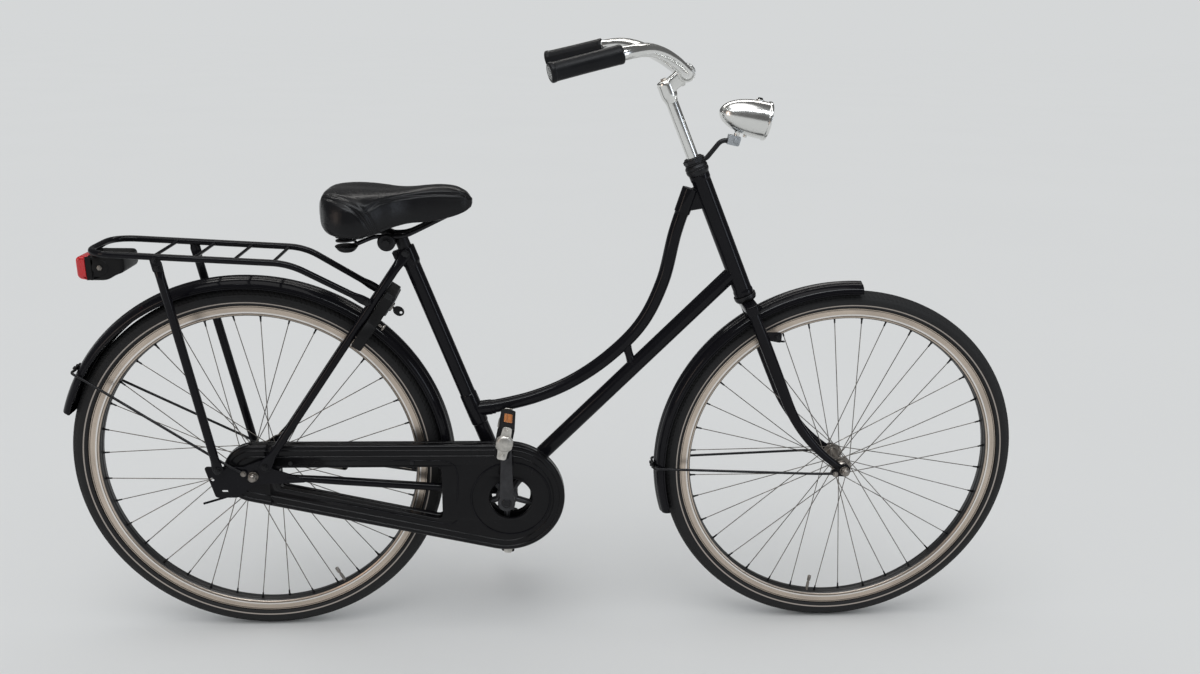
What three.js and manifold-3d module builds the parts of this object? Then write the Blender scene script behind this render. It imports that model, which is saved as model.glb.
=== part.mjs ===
// Step-through city bicycle with a swan-necked frame, a closed chain case, a coaster brake hub,
// a tubular carrier and a ring lock. Millimetres, +X forward, +Y to the rider's left, +Z up.
// The origin lies on the ground, midway between the front and rear ends of the tyres and fender.
import * as THREE from 'three';
import { mergeVertices } from 'three/addons/utils/BufferGeometryUtils.js';
import Module from 'manifold-3d';

const wasm = await Module();
wasm.setup();

// Clearances
const GAP = 0.3;
const OVERRUN = 4;
const LAP = 1;
const HALF_TURN = 180;

// Frame geometry
const WHEELBASE = 1152;
const TYRE_RADIUS = 357;
const CRANK_AHEAD = 482;
const CRANK_DROP = 54;
const SEAT_ANGLE = 69;
const SEAT_TUBE_LENGTH = 524;
const HEAD_ANGLE = 66.5;
const HEAD_TUBE_LENGTH = 250;
const FORK_LENGTH = 405;
const FORK_RAKE = 57;

// Frame tubes
const HEAD_TUBE_RADIUS = 18;
const HEAD_TUBE_BORE = 15;
const SEAT_TUBE_RADIUS = 15;
const SEAT_TUBE_BORE = 13.1;
const SEAT_LUG_RADIUS = 17.5;
const SEAT_LUG_LENGTH = 34;
const TOP_TUBE_RADIUS = 13;
const TOP_TUBE_HEAD_BACK = 25;
const TOP_TUBE_HEAD_FALL = 20;
const TOP_TUBE_SEAT_RISE = 178;
const TOP_LUG_RADIUS = 15;
const TOP_LUG_LENGTH = 44;
const TOP_LUG_WEB = 10;
const DOWN_TUBE_RADIUS = 15;
const DOWN_TUBE_JOINT_RISE = 51;
const LINK_RADIUS = 8;
const SHELL_RADIUS = 21;
const SHELL_BORE = 17.5;
const SHELL_WIDTH = 70;
const CUP_DEPTH = 7;
const CHAINSTAY_RADIUS = 8;
const CHAINSTAY_INSET = 3;
const CHAINSTAY_BEND = 46;
const SEATSTAY_RADIUS = 8;
const SEATSTAY_TOP_HALF = 22;
const KNEE_SHARE = 0.09;
const BRIDGE_RADIUS = 6;
// Swan curve of the top tube: share of the run forward, share of the rise, from seat tube to head
const TOP_TUBE_SHARES = [
  [0, 0], [0.088, 0.011], [0.292, 0.059], [0.473, 0.135], [0.652, 0.256],
  [0.799, 0.407], [0.890, 0.595], [0.941, 0.819], [1, 1],
];
const LINK_FOOT_SHARE = 0.565;
const LINK_TOP_SHARE = 0.555;

// Rear dropouts and hub spacing
const DROPOUT_INNER = 60;
const DROPOUT_THICK = 5;
const DROPOUT_REACH = 92;
const DROPOUT_EYE = 18;
const STAY_EYE_RADIUS = 11;
const STAY_EYE_AHEAD = 24;
const STAY_EYE_RISE = 21;
const STAY_LOW_SHARE = 0.14;
const PLATE_BACK = 91;
const PLATE_RISE = 19;
const PLATE_FALL = 45;
const PLATE_LENGTH = 42;
const PLATE_LEAN = 15;
const PLATE_HOLE = 4;
const PLATE_HOLE_BACK = 78;
const PLATE_HOLE_FALL = 7;
const PLATE_CORNER = 5;
const TIP_CORNER = 3;
const LIP_RADIUS = 2.5;
const LIP_LENGTH = 50;
const LIP_FALL = 58;

// Wheels
const TYRE_HALF = 20;
const TYRE_FLAT = 11.6;
const TYRE_LIP = 1.2;
const TYRE_SEAT_DEPTH = 12.5;
const RIM_UNDER_TREAD = 33;
const RIM_DEPTH = 21.5;
const RIM_RADIUS = TYRE_RADIUS - RIM_UNDER_TREAD;
const TYRE_SEAT_RADIUS = RIM_RADIUS - TYRE_SEAT_DEPTH;
const RIM_INNER_RADIUS = RIM_RADIUS - RIM_DEPTH;
const RIM_HALF = 13.5;
const RIM_WALL = 1.5;
const RIM_SHOULDER = 4.5;
const RIM_WELL = 6.5;
const SPOKE_RADIUS = 0.9;
const SPOKE_SPLAY = 0.95;
const SPOKE_RIM_OFFSET = 3;
const SPOKES = 36;
const CROSS_ANGLE = 60;
const SPOKE_PHASE = 6;
const WHEEL_SEGMENTS = 32;
const REAR_FLANGE_RADIUS = 31;
const REAR_SHELL_RADIUS = 24;
const REAR_FLANGE_LEFT = 32;
const REAR_FLANGE_RIGHT = 26;
const REAR_HUB_LEFT = 40;
const REAR_HUB_RIGHT = 31;
const FLANGE_THICK = 4;
const FRONT_FLANGE_RADIUS = 20;
const FRONT_SHELL_RADIUS = 13;
const FRONT_FLANGE_AT = 33;
const FRONT_HUB_HALF = 44;
const REAR_AXLE_RADIUS = 5;
const FRONT_AXLE_RADIUS = 4.5;
const AXLE_CLEARANCE = 1;
const CONE_RADIUS = 8.5;
const NUT_RADIUS = 9.2;
const NUT_THICK = 9;
const AXLE_STUB = 6;
const BRAKE_CONE_RADIUS = 14;

// Coaster brake arm
const BRAKE_ARM_THICK = 3;
const BRAKE_ARM_AT = 46;
const BRAKE_ARM_LENGTH = 150;
const BRAKE_ARM_FALL = 33;
const BRAKE_ARM_HALF = 7;
const STRAP_THICK = 1.6;
const STRAP_WIDTH = 12;

// Chain drive
const CHAIN_PITCH = 12.7;
const RING_TEETH = 44;
const SPROCKET_TEETH = 19;
const CHAIN_LINE = 45;
const CHAIN_HALF_HEIGHT = 4.2;
const CHAIN_WIDTH = 7;
const RING_THICK = 3;
const SPROCKET_THICK = 2.4;
const TOOTH_DEPTH = 3;
const SPIDER_ARMS = 5;
const SPIDER_HUB = 19;
const SPIDER_RIM = 10;
const SPIDER_ARM_HALF = 5;
const DRIVER_RADIUS = 14;
const DRIVER_OUTER_AT = 52;
const CASE_INNER_AT = 32;
const CASE_OUTER_AT = 59;
const CASE_WALL = 1.5;
const CASE_FRONT_RADIUS = 114;
const CASE_REAR_RADIUS = 60;
const CASE_EYE_RADIUS = 41.5;
const CASE_INNER_EYE = 38;
const CASE_EYE_AHEAD = 8;
const CASE_HOLE_PLAY = 2;
const CASE_NOSE_FRONT = 28;
const CASE_RUN_HEIGHT = 46;
const CASE_LOWER_RUN_HEIGHT = 43;
const WINDOW_BACK = 48;
const WINDOW_FRONT = 356;
const WINDOW_CORNER = 12;
const STAY_CLEARANCE = 1.2;

// Cranks and pedals
const CRANK_LENGTH = 170;
const CRANK_INNER_AT = 64;
const CRANK_OUTER_AT = 80;
const CRANK_HALF_THICK = 6;
const CRANK_WIDE_HALF = 13;
const CRANK_MIDDLE_HALF = 11;
const CRANK_NARROW_HALF = 9.5;
const CRANK_BOSS_RADIUS = 17;
const PEDAL_BOSS_RADIUS = 12;
const CRANK_AXLE_RADIUS = 8.5;
const SPINDLE_RADIUS = 5.5;
const PEDAL_INNER_AT = 86;
const PEDAL_LENGTH = 96;
const PEDAL_WIDTH = 62;
const PEDAL_HEIGHT = 27;
const PEDAL_PLATE = 3;
const TREAD_WIDTH = 21;
const TREAD_INSET = 1;
const TREAD_CORNER = 3;
const PEDAL_CORNER_SHARE = 0.6;
const PEDAL_SLEEVE_RADIUS = 9.5;
const PEDAL_REST_TILT = 101;
const PEDAL_LEFT_TILT = 96;

// Fork and headset
const CROWN_TOP = 12;
const CROWN_THICK = 20;
const CROWN_HALF_DEPTH = 13;
const CROWN_HALF_WIDTH = 54;
const BLADE_TOP_HALF = 42;
const BLADE_TOP_RADIUS = 11;
const BLADE_TIP_RADIUS = 6.5;
const BLADE_STRAIGHT = 193;
const FORK_END_INNER = 50;
const FORK_END_THICK = 5;
const FORK_END_RADIUS = 13;
const STEERER_RADIUS = 12.7;
const STEERER_BORE = 11.4;
const STEERER_STAND = 31;
const CUP_RADIUS = 21.5;
const CUP_TAPER = 2;
const CUP_LIP = 1;
const UPPER_CUP_HEIGHT = 20.5;
const BRACKET_RING_THICK = 3;
const LOCKNUT_TOP = 33;
const LOCKNUT_RADIUS = 19;
const TAB_AHEAD = 38;
const TAB_FALL = 78;
const TAB_THICK = 4;
const TAB_HEIGHT = 14;
const TAB_CORNER = 4;

// Fenders and their wire stays
const FENDER_HALF = 28;
const FENDER_DEPTH = 16;
const FENDER_WALL = 1.6;
const REAR_FENDER_CLEARANCE = 22;
const FRONT_FENDER_CLEARANCE = 18;
const REAR_FENDER_RADIUS = TYRE_RADIUS + REAR_FENDER_CLEARANCE;
const FRONT_FENDER_RADIUS = TYRE_RADIUS + FRONT_FENDER_CLEARANCE;
const REAR_FENDER_FROM = 2;
const REAR_FENDER_TO = 162;
const FRONT_FENDER_FROM = 88;
const FRONT_FENDER_TO = 197;
const FRONT_FENDER_HALF = 27;
const STAY_WIRE_RADIUS = 2.5;
const REAR_STAY_ANGLE = 149;
const FRONT_STAY_ANGLE = 181;
const STAY_END_BACK = 17;
const STAY_END_RISE = 7;
const FRONT_STAY_BACK = 19;
const FRONT_STAY_FALL = 5;
const STAY_CORNER = 12;
const STAY_STRAIGHT_SHARE = 0.11;

// Stem, handlebar and grips
const QUILL_RADIUS = 11.1;
const QUILL_INSERT = 70;
const STEM_RISE = 180;
const STEM_REACH = 41;
const STEM_CLAMP_RADIUS = 17;
const STEM_CLAMP_HALF = 20;
const STEM_HEAD_RADIUS = 15;
const STEM_ARM_RADIUS = 13.5;
const BAR_RADIUS = 11.1;
const BAR_HALF_WIDTH = 275;
const BAR_SWEEP = 247;
const BAR_RISE = 43;
const GRIP_RADIUS = 16;
const GRIP_LENGTH = 120;
const GRIP_END_WALL = 4;
const GRIP_EDGE = 2;
const GRIP_COLLAR = 5;
const GRIP_COLLAR_END = 8;
const GRIP_COLLAR_STEP = 1;
// Handlebar bend: shares of the half width, of the sweep back and of the rise
const BAR_SHARES = [
  [0, 0, 0], [0.09, 0, 0], [0.19, 0.035, 0.12], [0.345, 0.125, 0.49], [0.545, 0.25, 0.84],
  [0.745, 0.385, 1.0], [0.885, 0.535, 0.88],
];
const BAR_END_RISE_SHARE = 0.19;

// Headlamp
const LAMP_LENGTH = 92;
const LAMP_RADIUS = 34;
const LAMP_BEAD = 1.6;
const LAMP_BEAD_LENGTH = 5;
const LAMP_WALL = 1.5;
const LAMP_DIP = 11;
const LAMP_PIVOT_AHEAD = 64;
const LAMP_PIVOT_RISE = 62;
const LAMP_PIVOT_BACK = 41.5;
const LAMP_PIVOT_DROP = 46;
const LAMP_NECK_SHARE = 0.8;
const LAMP_LUG_HALF = 4;
const LAMP_LUG_RADIUS = 7;
const LAMP_PIN_RADIUS = 2.5;
const LAMP_CHEEK = 3;
const LAMP_ARM_RADIUS = 4.5;
const LAMP_ARM_KNEE_BACK = 26;
const YOKE_WALL = 4;
const YOKE_PLAY = 1.5;
// Wedge that the lamp's neck swings through: shares of the lug radius ahead of and above the pivot
const NECK_SWING_SHARES = [[-1.2, 0.2], [1.6, 0.2], [1.9, 3], [-1.9, 3]];
const LENS_DOME = 4;
const LENS_SEAT = 8;
const BUTTON_RADIUS = 5;
const BUTTON_HEIGHT = 5;
const BUTTON_BACK = 24;
const BUTTON_EDGE = 1;
// Bullet shape of the lamp: share of the length from the tail, share of the radius
const LAMP_SHARES = [
  [0, 0], [0.02, 0.24], [0.12, 0.55], [0.34, 0.82], [0.66, 0.96], [1, 1],
];

// Seat post and saddle
const POST_RADIUS = 12.7;
const POST_INSERT = 170;
const POST_STAND = 20;
const PIVOT_BACK = 23;
const BARREL_RADIUS = 10;
const BARREL_HALF = 13.7;
const CLAMP_BOLT_RADIUS = 4.1;
const CLAMP_RADIUS = 16.5;
const CLAMP_OUTER = 30;
const RAIL_RADIUS = 4;
const RAIL_HALF = 22;
const RAIL_OVER_PIVOT = 10.5;
const RAIL_TAIL_DROP = 4;
const RAIL_NOSE_AHEAD = 118;
const RAIL_NOSE_RISE = 52;
const RAIL_BEND_LEAD = 4;
const SADDLE_LENGTH = 266;
const SADDLE_HALF = 106;
const SADDLE_REAR_BACK = 112;
const SADDLE_TOP = 101;
const SPRING_RADIUS = 17;
const SPRING_WIRE = 2.2;
const SPRING_CURLS = 4.5;
const SPRING_HALF = 57;
const SPRING_BACK = 66;
const SPRING_PLATE_RADIUS = 21;
const SPRING_PLATE_THICK = 3;
const CUSHION_BASE = 44;
const SKIRT_WALL = 7;
const HEM_LIFT = 0.5;
// Saddle outline from tail to nose: shares of length, half width, top height, hem height, hollow height
const SADDLE_SHARES = [
  [0.00, 0.46, 0.81, 0.50, 0.530], [0.03, 0.70, 0.935, 0.346, 0.436], [0.10, 0.91, 0.985, 0.255, 0.436],
  [0.20, 1.00, 1.00, 0.219, 0.436], [0.30, 0.96, 0.995, 0.228, 0.436], [0.40, 0.80, 0.982, 0.282, 0.436],
  [0.50, 0.58, 0.970, 0.355, 0.436], [0.60, 0.42, 0.981, 0.395, 0.440], [0.70, 0.33, 1.012, 0.400, 0.486],
  [0.80, 0.285, 1.028, 0.440, 0.531], [0.89, 0.25, 1.005, 0.500, 0.586], [0.96, 0.185, 0.921, 0.570, 0.650],
  [1.00, 0.09, 0.800, 0.640, 0.704],
];
// One side of a section of the saddle: share of the half width, share of the height from hem to crown
const FLANK_SHARES = [
  [0.93, 0], [0.99, 0.16], [1, 0.38], [0.975, 0.6], [0.9, 0.78], [0.74, 0.9], [0.5, 0.97], [0.24, 0.995],
];

// Carrier
const RACK_RADIUS = 6;
const RACK_HALF = 68;
const RACK_BACK = 258;
const RACK_REAR_RISE = 434;
const RACK_BEND_AHEAD = 95;
const RACK_BEND_RISE = 418;
const RACK_FOOT_SHARE = 0.8284;
const RACK_FOOT_BESIDE = 12;
const RACK_FOOT_OVER = 3;
const RACK_CORNER = 46;
const RACK_BEND_CORNER = 48;
const RACK_BEND_END_SHARE = 0.3;
const CROSS_BAR_RADIUS = 3;
const CROSS_BAR_FIRST = 140;
const CROSS_BAR_STEP = 69;
const CROSS_BARS = 4;
const LEG_RADIUS = 8;
const LEG_TOP_HALF = 68;
const LEG_FOOT_HALF = 74;
const LEG_TOP_BACK_RIGHT = 136;
const LEG_TOP_BACK_LEFT = 112;
const LEG_FOOT_BACK_RIGHT = 62;
const LEG_FOOT_BACK_LEFT = 30;
const LEG_FOOT_RISE_RIGHT = 17;
const LEG_FOOT_RISE_LEFT = -5;
const LEG_FLAT_HALF = 2.5;
const LEG_FLAT_LENGTH = 28;
const LEG_BOSS_RADIUS = 7;
const LEG_BOSS_HEAD = 3;
const LEG_EYE_LIP = 2;

// Rear light
const LIGHT_HALF = 38;
const LIGHT_HEIGHT = 46;
const LIGHT_BACK = 289;
const LENS_DEPTH = 23;
const HOUSING_LENGTH = 61;
const LIGHT_DROP = 6;
const LIGHT_CORNER = 7;
const LIGHT_EDGE = 2;
const LIGHT_BOSS_HALF = 12;

// Ring lock on the seat stays
const LOCK_CENTRE = 345;
const LOCK_INNER = 46;
const LOCK_OUTER = 60;
const LOCK_THICK = 21;
const LOCK_STANDOFF = 0.6;
const LOCK_BLOCK_TOP = 100;
const LOCK_BLOCK_HALF = 48;
const LOCK_CORNER = 9;
const LOCK_ARM_DROP_ANGLE = 20;
const LOCK_PLAY = 1;
const CHANNEL_OVERRUN_ANGLE = 8;
const SLOT_LEAD_ANGLE = 6;
const SLOT_TAIL_ANGLE = 5;
const BOLT_RING = 53;
const BOLT_RADIUS = 4.2;
const BOLT_CHANNEL = 5;
const BOLT_ARC = 160;
const BOLT_END_ANGLE = 2;
const LEVER_HALF = 2;
const LEVER_STAND = 12;
const LEVER_BACK_ANGLE = 4;
const LEVER_TRAVEL = 150;
const KEY_OFFSET = 30;
const KEY_RISE = 78;
const KEY_SHAFT_RADIUS = 2.2;
const KEY_SOCKET_RADIUS = 2.8;
const KEY_SHAFT = 14;
const KEY_STAND = 6;
const KEY_BOW_RADIUS = 11;
const KEY_BOW_THICK = 2.6;

// Faces around round pieces
const TUBE_SIDES = 10;
const FINE_SIDES = 16;
const COARSE_SIDES = 6;
const HUB_SIDES = 12;

// Finishes
const finish = (color, roughness, metalness) =>
  new THREE.MeshStandardMaterial({ color, roughness, metalness });
const blackPaint = finish('#101013', 0.22, 0.25);
const caseBlack = finish('#17171a', 0.42, 0.1);
const blackRubber = finish('#1b1b1c', 0.8, 0);
const gripRubber = finish('#18191c', 0.7, 0);
const vinyl = finish('#141416', 0.38, 0);
const chrome = finish('#dcdcd8', 0.12, 1);
const steel = finish('#a39d92', 0.35, 1);
const rimSteel = finish('#b39a82', 0.3, 1);
const darkSteel = finish('#2b2b2d', 0.4, 0.8);
const plastic = finish('#151517', 0.5, 0);
const redLens = finish('#b3121c', 0.15, 0);
const clearLens = finish('#dfe6e8', 0.05, 0);
const lockGrey = finish('#3a3b3d', 0.5, 0.4);

// Basic vectors
const radians = THREE.MathUtils.degToRad;
const at = (x, y, z) => new THREE.Vector3(x, y, z);
const SIDE_AXIS = at(0, 1, 0);
const UP_AXIS = at(0, 0, 1);

// Frame landmarks in side view, measured from the rear wheel's foot
const rearAxle = at(0, 0, TYRE_RADIUS);
const frontAxle = at(WHEELBASE, 0, TYRE_RADIUS);
const crankCentre = at(CRANK_AHEAD, 0, TYRE_RADIUS - CRANK_DROP);
const seatUp = at(-Math.cos(radians(SEAT_ANGLE)), 0, Math.sin(radians(SEAT_ANGLE)));
const seatTop = crankCentre.clone().addScaledVector(seatUp, SEAT_TUBE_LENGTH);
const headUp = at(-Math.cos(radians(HEAD_ANGLE)), 0, Math.sin(radians(HEAD_ANGLE)));
const headForward = at(Math.sin(radians(HEAD_ANGLE)), 0, Math.cos(radians(HEAD_ANGLE)));
const headFoot = frontAxle.clone().addScaledVector(headUp, FORK_LENGTH)
  .addScaledVector(headForward, -FORK_RAKE);
const headTop = headFoot.clone().addScaledVector(headUp, HEAD_TUBE_LENGTH);

const onHead = (rise, forward = 0, side = 0) => headTop.clone().addScaledVector(headUp, rise)
  .addScaledVector(headForward, forward).addScaledVector(SIDE_AXIS, side);
const onFork = (fall, forward = 0, side = 0) => headFoot.clone().addScaledVector(headUp, -fall)
  .addScaledVector(headForward, forward).addScaledVector(SIDE_AXIS, side);
const onSeat = (rise, side = 0) => seatTop.clone().addScaledVector(seatUp, rise)
  .addScaledVector(SIDE_AXIS, side);

// Closed solids for cutting and joining
function solid(geometry) {
  const source = geometry.clone();
  source.deleteAttribute('normal');
  if (source.hasAttribute('uv')) source.deleteAttribute('uv');
  const merged = mergeVertices(source, GAP / 1000);
  const body = new wasm.Manifold(new wasm.Mesh({
    numProp: 3,
    vertProperties: Float32Array.from(merged.attributes.position.array),
    triVerts: Uint32Array.from(merged.index.array),
  }));
  return body;
}

function geometryOf(body) {
  const data = body.getMesh();
  const geometry = new THREE.BufferGeometry();
  geometry.setAttribute('position', new THREE.BufferAttribute(Float32Array.from(data.vertProperties), 3));
  geometry.setIndex(new THREE.BufferAttribute(Uint32Array.from(data.triVerts), 1));
  geometry.computeVertexNormals();
  return geometry;
}

const join = (...geometries) => geometryOf(geometries.map(solid).reduce((sum, item) => sum.add(item)));

function cut(geometry, ...cutters) {
  return geometryOf(cutters.map(solid).reduce((rest, item) => rest.subtract(item), solid(geometry)));
}

function named(name, geometry, material) {
  const mesh = new THREE.Mesh(geometry, material);
  mesh.name = name;
  return mesh;
}

// A polygon round a centre, for sections and holes
function ringPoints(radius, sides, across = radius) {
  const corner = (index) => {
    const angle = (2 * Math.PI * (index + 0.5)) / sides;
    return new THREE.Vector2(radius * Math.cos(angle), across * Math.sin(angle));
  };
  return Array.from({ length: sides }, (_, index) => corner(index));
}

// A route that puts one ring of the tube on each listed point
class RingRoute extends THREE.Curve {
  constructor(points) {
    super();
    this.points = points;
  }

  getPoint(share, target = new THREE.Vector3()) {
    const place = Math.min(Math.max(share, 0), 1) * (this.points.length - 1);
    const index = Math.min(Math.floor(place), this.points.length - 2);
    return target.lerpVectors(this.points[index], this.points[index + 1], place - index);
  }

  getPointAt(share, target) {
    return this.getPoint(share, target);
  }

  getTangentAt(share, target) {
    return this.getTangent(share, target);
  }
}

function tube(points, radius, sides = TUBE_SIDES, bore = 0) {
  const section = new THREE.Shape(ringPoints(radius, sides));
  if (bore > 0) section.holes.push(new THREE.Path(ringPoints(bore, sides)));
  return new THREE.ExtrudeGeometry(section, {
    steps: points.length - 1, extrudePath: new RingRoute(points), bevelEnabled: false,
  });
}

// Rings of points joined into one closed skin, with flat ends or closed round on itself
function skin(rings, loops = false) {
  const count = rings[0].length;
  const positions = rings.flat().flatMap((point) => [point.x, point.y, point.z]);
  const faces = [];
  const spans = loops ? rings.length : rings.length - 1;
  for (let span = 0; span < spans; span += 1) {
    const next = (span + 1) % rings.length;
    for (let index = 0; index < count; index += 1) {
      const after = (index + 1) % count;
      const [a, b] = [span * count + index, span * count + after];
      const [c, d] = [next * count + index, next * count + after];
      faces.push(a, c, b, b, c, d);
    }
  }
  if (!loops) {
    const flatten = (ring) => {
      const centre = ring.reduce((sum, point) => sum.add(point), at(0, 0, 0)).divideScalar(count);
      const across = ring[0].clone().sub(centre).normalize();
      const normal = at(0, 0, 0);
      ring.forEach((point, index) => {
        const [here, there] = [point.clone().sub(centre), ring[(index + 1) % count].clone().sub(centre)];
        normal.add(here.cross(there));
      });
      const upward = normal.normalize().clone().cross(across);
      return ring.map((point) => {
        const offset = point.clone().sub(centre);
        return new THREE.Vector2(offset.dot(across), offset.dot(upward));
      });
    };
    const last = (rings.length - 1) * count;
    THREE.ShapeUtils.triangulateShape(flatten(rings[0]), []).forEach(([a, b, c]) => faces.push(a, b, c));
    THREE.ShapeUtils.triangulateShape(flatten(rings.at(-1)), [])
      .forEach(([a, b, c]) => faces.push(last + a, last + c, last + b));
  }
  const geometry = new THREE.BufferGeometry();
  geometry.setAttribute('position', new THREE.Float32BufferAttribute(positions, 3));
  geometry.setIndex(faces);
  return outward(geometry);
}

// Turns a closed skin right side out
function outward(geometry) {
  const place = geometry.attributes.position;
  const index = geometry.index.array;
  let volume = 0;
  const [a, b, c] = [at(0, 0, 0), at(0, 0, 0), at(0, 0, 0)];
  for (let face = 0; face < index.length; face += 3) {
    a.fromBufferAttribute(place, index[face]);
    b.fromBufferAttribute(place, index[face + 1]);
    c.fromBufferAttribute(place, index[face + 2]);
    volume += a.dot(b.clone().cross(c));
  }
  if (volume < 0) {
    for (let face = 0; face < index.length; face += 3) {
      [index[face + 1], index[face + 2]] = [index[face + 2], index[face + 1]];
    }
  }
  geometry.computeVertexNormals();
  return geometry;
}

// A tube whose oval section changes from point to point
function taperedTube(points, halves, acrosses, side = SIDE_AXIS, sides = TUBE_SIDES) {
  const rings = points.map((point, index) => {
    const before = points[Math.max(index - 1, 0)];
    const after = points[Math.min(index + 1, points.length - 1)];
    const along = after.clone().sub(before).normalize();
    const normal = along.clone().cross(side).normalize();
    const across = normal.clone().cross(along).normalize();
    return ringPoints(halves[index], sides, acrosses[index]).map((corner) => point.clone()
      .addScaledVector(normal, corner.x).addScaledVector(across, corner.y));
  });
  return skin(rings);
}

// A turned piece: its profile is radius and distance along the axis
function turned(profile, foot, direction, segments = FINE_SIDES) {
  const points = profile.map(([radius, along]) => new THREE.Vector2(radius, along));
  const geometry = new THREE.LatheGeometry(points, segments);
  geometry.applyQuaternion(new THREE.Quaternion().setFromUnitVectors(SIDE_AXIS, direction));
  geometry.translate(foot.x, foot.y, foot.z);
  geometry.deleteAttribute('normal');
  geometry.deleteAttribute('uv');
  return outward(mergeVertices(geometry, GAP / 1000));
}

// Radius of a faceted hole whose flats still clear a round piece
const clearOf = (radius, sides) => (radius + GAP) / Math.cos(Math.PI / sides);

const rod = (foot, direction, length, radius, segments = FINE_SIDES) => turned(
  [[0, 0], [radius, 0], [radius, length], [0, length]], foot, direction, segments);

// A rod across the frame, from one side distance to another
const crossRod = (centre, from, to, radius, segments = FINE_SIDES) => rod(
  at(centre.x, Math.min(from, to), centre.z), SIDE_AXIS, Math.abs(to - from), radius, segments);

// A flat outline in side view, given a thickness between two side distances
function plate(shape, from, to, curveSegments = 3) {
  const geometry = new THREE.ExtrudeGeometry(shape, {
    depth: Math.abs(to - from), bevelEnabled: false, curveSegments,
  });
  geometry.rotateX(Math.PI / 2);
  geometry.translate(0, Math.max(from, to), 0);
  return geometry;
}

// An outline whose corners are rounded, from points with their corner radii
function roundedShape(corners) {
  const shape = new THREE.Shape();
  const count = corners.length;
  corners.forEach(([x, y, radius], index) => {
    const here = new THREE.Vector2(x, y);
    const before = new THREE.Vector2(...corners[(index + count - 1) % count].slice(0, 2));
    const after = new THREE.Vector2(...corners[(index + 1) % count].slice(0, 2));
    const entry = here.clone().add(before.sub(here).setLength(radius));
    const exit = here.clone().add(after.sub(here).setLength(radius));
    if (index === 0) shape.moveTo(entry.x, entry.y);
    else shape.lineTo(entry.x, entry.y);
    if (radius > 0) shape.quadraticCurveTo(x, y, exit.x, exit.y);
  });
  shape.closePath();
  return shape;
}

// A polyline in space whose inner corners are rounded by short arcs
function roundedRoute(points, radius, steps = 4) {
  const route = [points[0]];
  for (let index = 1; index < points.length - 1; index += 1) {
    const here = points[index];
    const back = points[index - 1].clone().sub(here);
    const on = points[index + 1].clone().sub(here);
    const turn = (Math.PI - back.angleTo(on)) / 2;
    const trim = Math.min(radius * Math.tan(turn), back.length() / 2, on.length() / 2);
    const bend = new THREE.QuadraticBezierCurve3(
      here.clone().add(back.setLength(trim)), here, here.clone().add(on.setLength(trim)));
    route.push(...bend.getPoints(steps));
  }
  route.push(points.at(-1));
  return route;
}

// Outline round two pulleys, each with its own radius
function beltOutline(rear, rearRadius, front, frontRadius, steps = 20) {
  const run = Math.hypot(front.x - rear.x, front.z - rear.z);
  const slope = Math.atan2(front.z - rear.z, front.x - rear.x);
  const spread = Math.acos((rearRadius - frontRadius) / run);
  const arc = (centre, radius, from, to, count) => Array.from({ length: count + 1 }, (_, index) => {
    const angle = from + ((to - from) * index) / count;
    return new THREE.Vector2(centre.x + radius * Math.cos(angle), centre.z + radius * Math.sin(angle));
  });
  return [
    ...arc(front, frontRadius, slope - spread, slope + spread, steps),
    ...arc(rear, rearRadius, slope + spread, slope + 2 * Math.PI - spread, Math.ceil(steps / 2)),
  ];
}

// Frame tubes
const shellSolid = () => turned([
  [CRANK_AXLE_RADIUS + AXLE_CLEARANCE, -SHELL_WIDTH / 2], [SHELL_RADIUS, -SHELL_WIDTH / 2],
  [SHELL_RADIUS, SHELL_WIDTH / 2], [CRANK_AXLE_RADIUS + AXLE_CLEARANCE, SHELL_WIDTH / 2],
  [CRANK_AXLE_RADIUS + AXLE_CLEARANCE, SHELL_WIDTH / 2 - CUP_DEPTH],
  [SHELL_BORE, SHELL_WIDTH / 2 - CUP_DEPTH], [SHELL_BORE, -SHELL_WIDTH / 2 + CUP_DEPTH],
  [CRANK_AXLE_RADIUS + AXLE_CLEARANCE, -SHELL_WIDTH / 2 + CUP_DEPTH],
  [CRANK_AXLE_RADIUS + AXLE_CLEARANCE, -SHELL_WIDTH / 2],
], crankCentre, SIDE_AXIS, TUBE_SIDES);
const shellCutter = () => crossRod(crankCentre, -SHELL_WIDTH, SHELL_WIDTH,
  clearOf(SHELL_RADIUS, FINE_SIDES));
const headCutter = () => rod(onHead(-HEAD_TUBE_LENGTH - OVERRUN), headUp,
  HEAD_TUBE_LENGTH + 2 * OVERRUN, HEAD_TUBE_RADIUS + GAP);
const seatCutter = () => rod(crankCentre, seatUp, SEAT_TUBE_LENGTH, SEAT_TUBE_RADIUS + GAP);

function headTube() {
  return turned([
    [HEAD_TUBE_BORE, 0], [HEAD_TUBE_RADIUS, 0], [HEAD_TUBE_RADIUS, HEAD_TUBE_LENGTH],
    [HEAD_TUBE_BORE, HEAD_TUBE_LENGTH], [HEAD_TUBE_BORE, 0],
  ], headFoot, headUp);
}

const topTubeSeat = crankCentre.clone().addScaledVector(seatUp, TOP_TUBE_SEAT_RISE);
const topTubeHead = onHead(-TOP_TUBE_HEAD_FALL, -TOP_TUBE_HEAD_BACK);
const topTubeCurve = new THREE.CatmullRomCurve3(TOP_TUBE_SHARES.map(([run, rise]) => at(
  THREE.MathUtils.lerp(topTubeSeat.x, topTubeHead.x, run), 0,
  THREE.MathUtils.lerp(topTubeSeat.z, topTubeHead.z, rise))));
const topTubeRings = 15;

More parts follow.
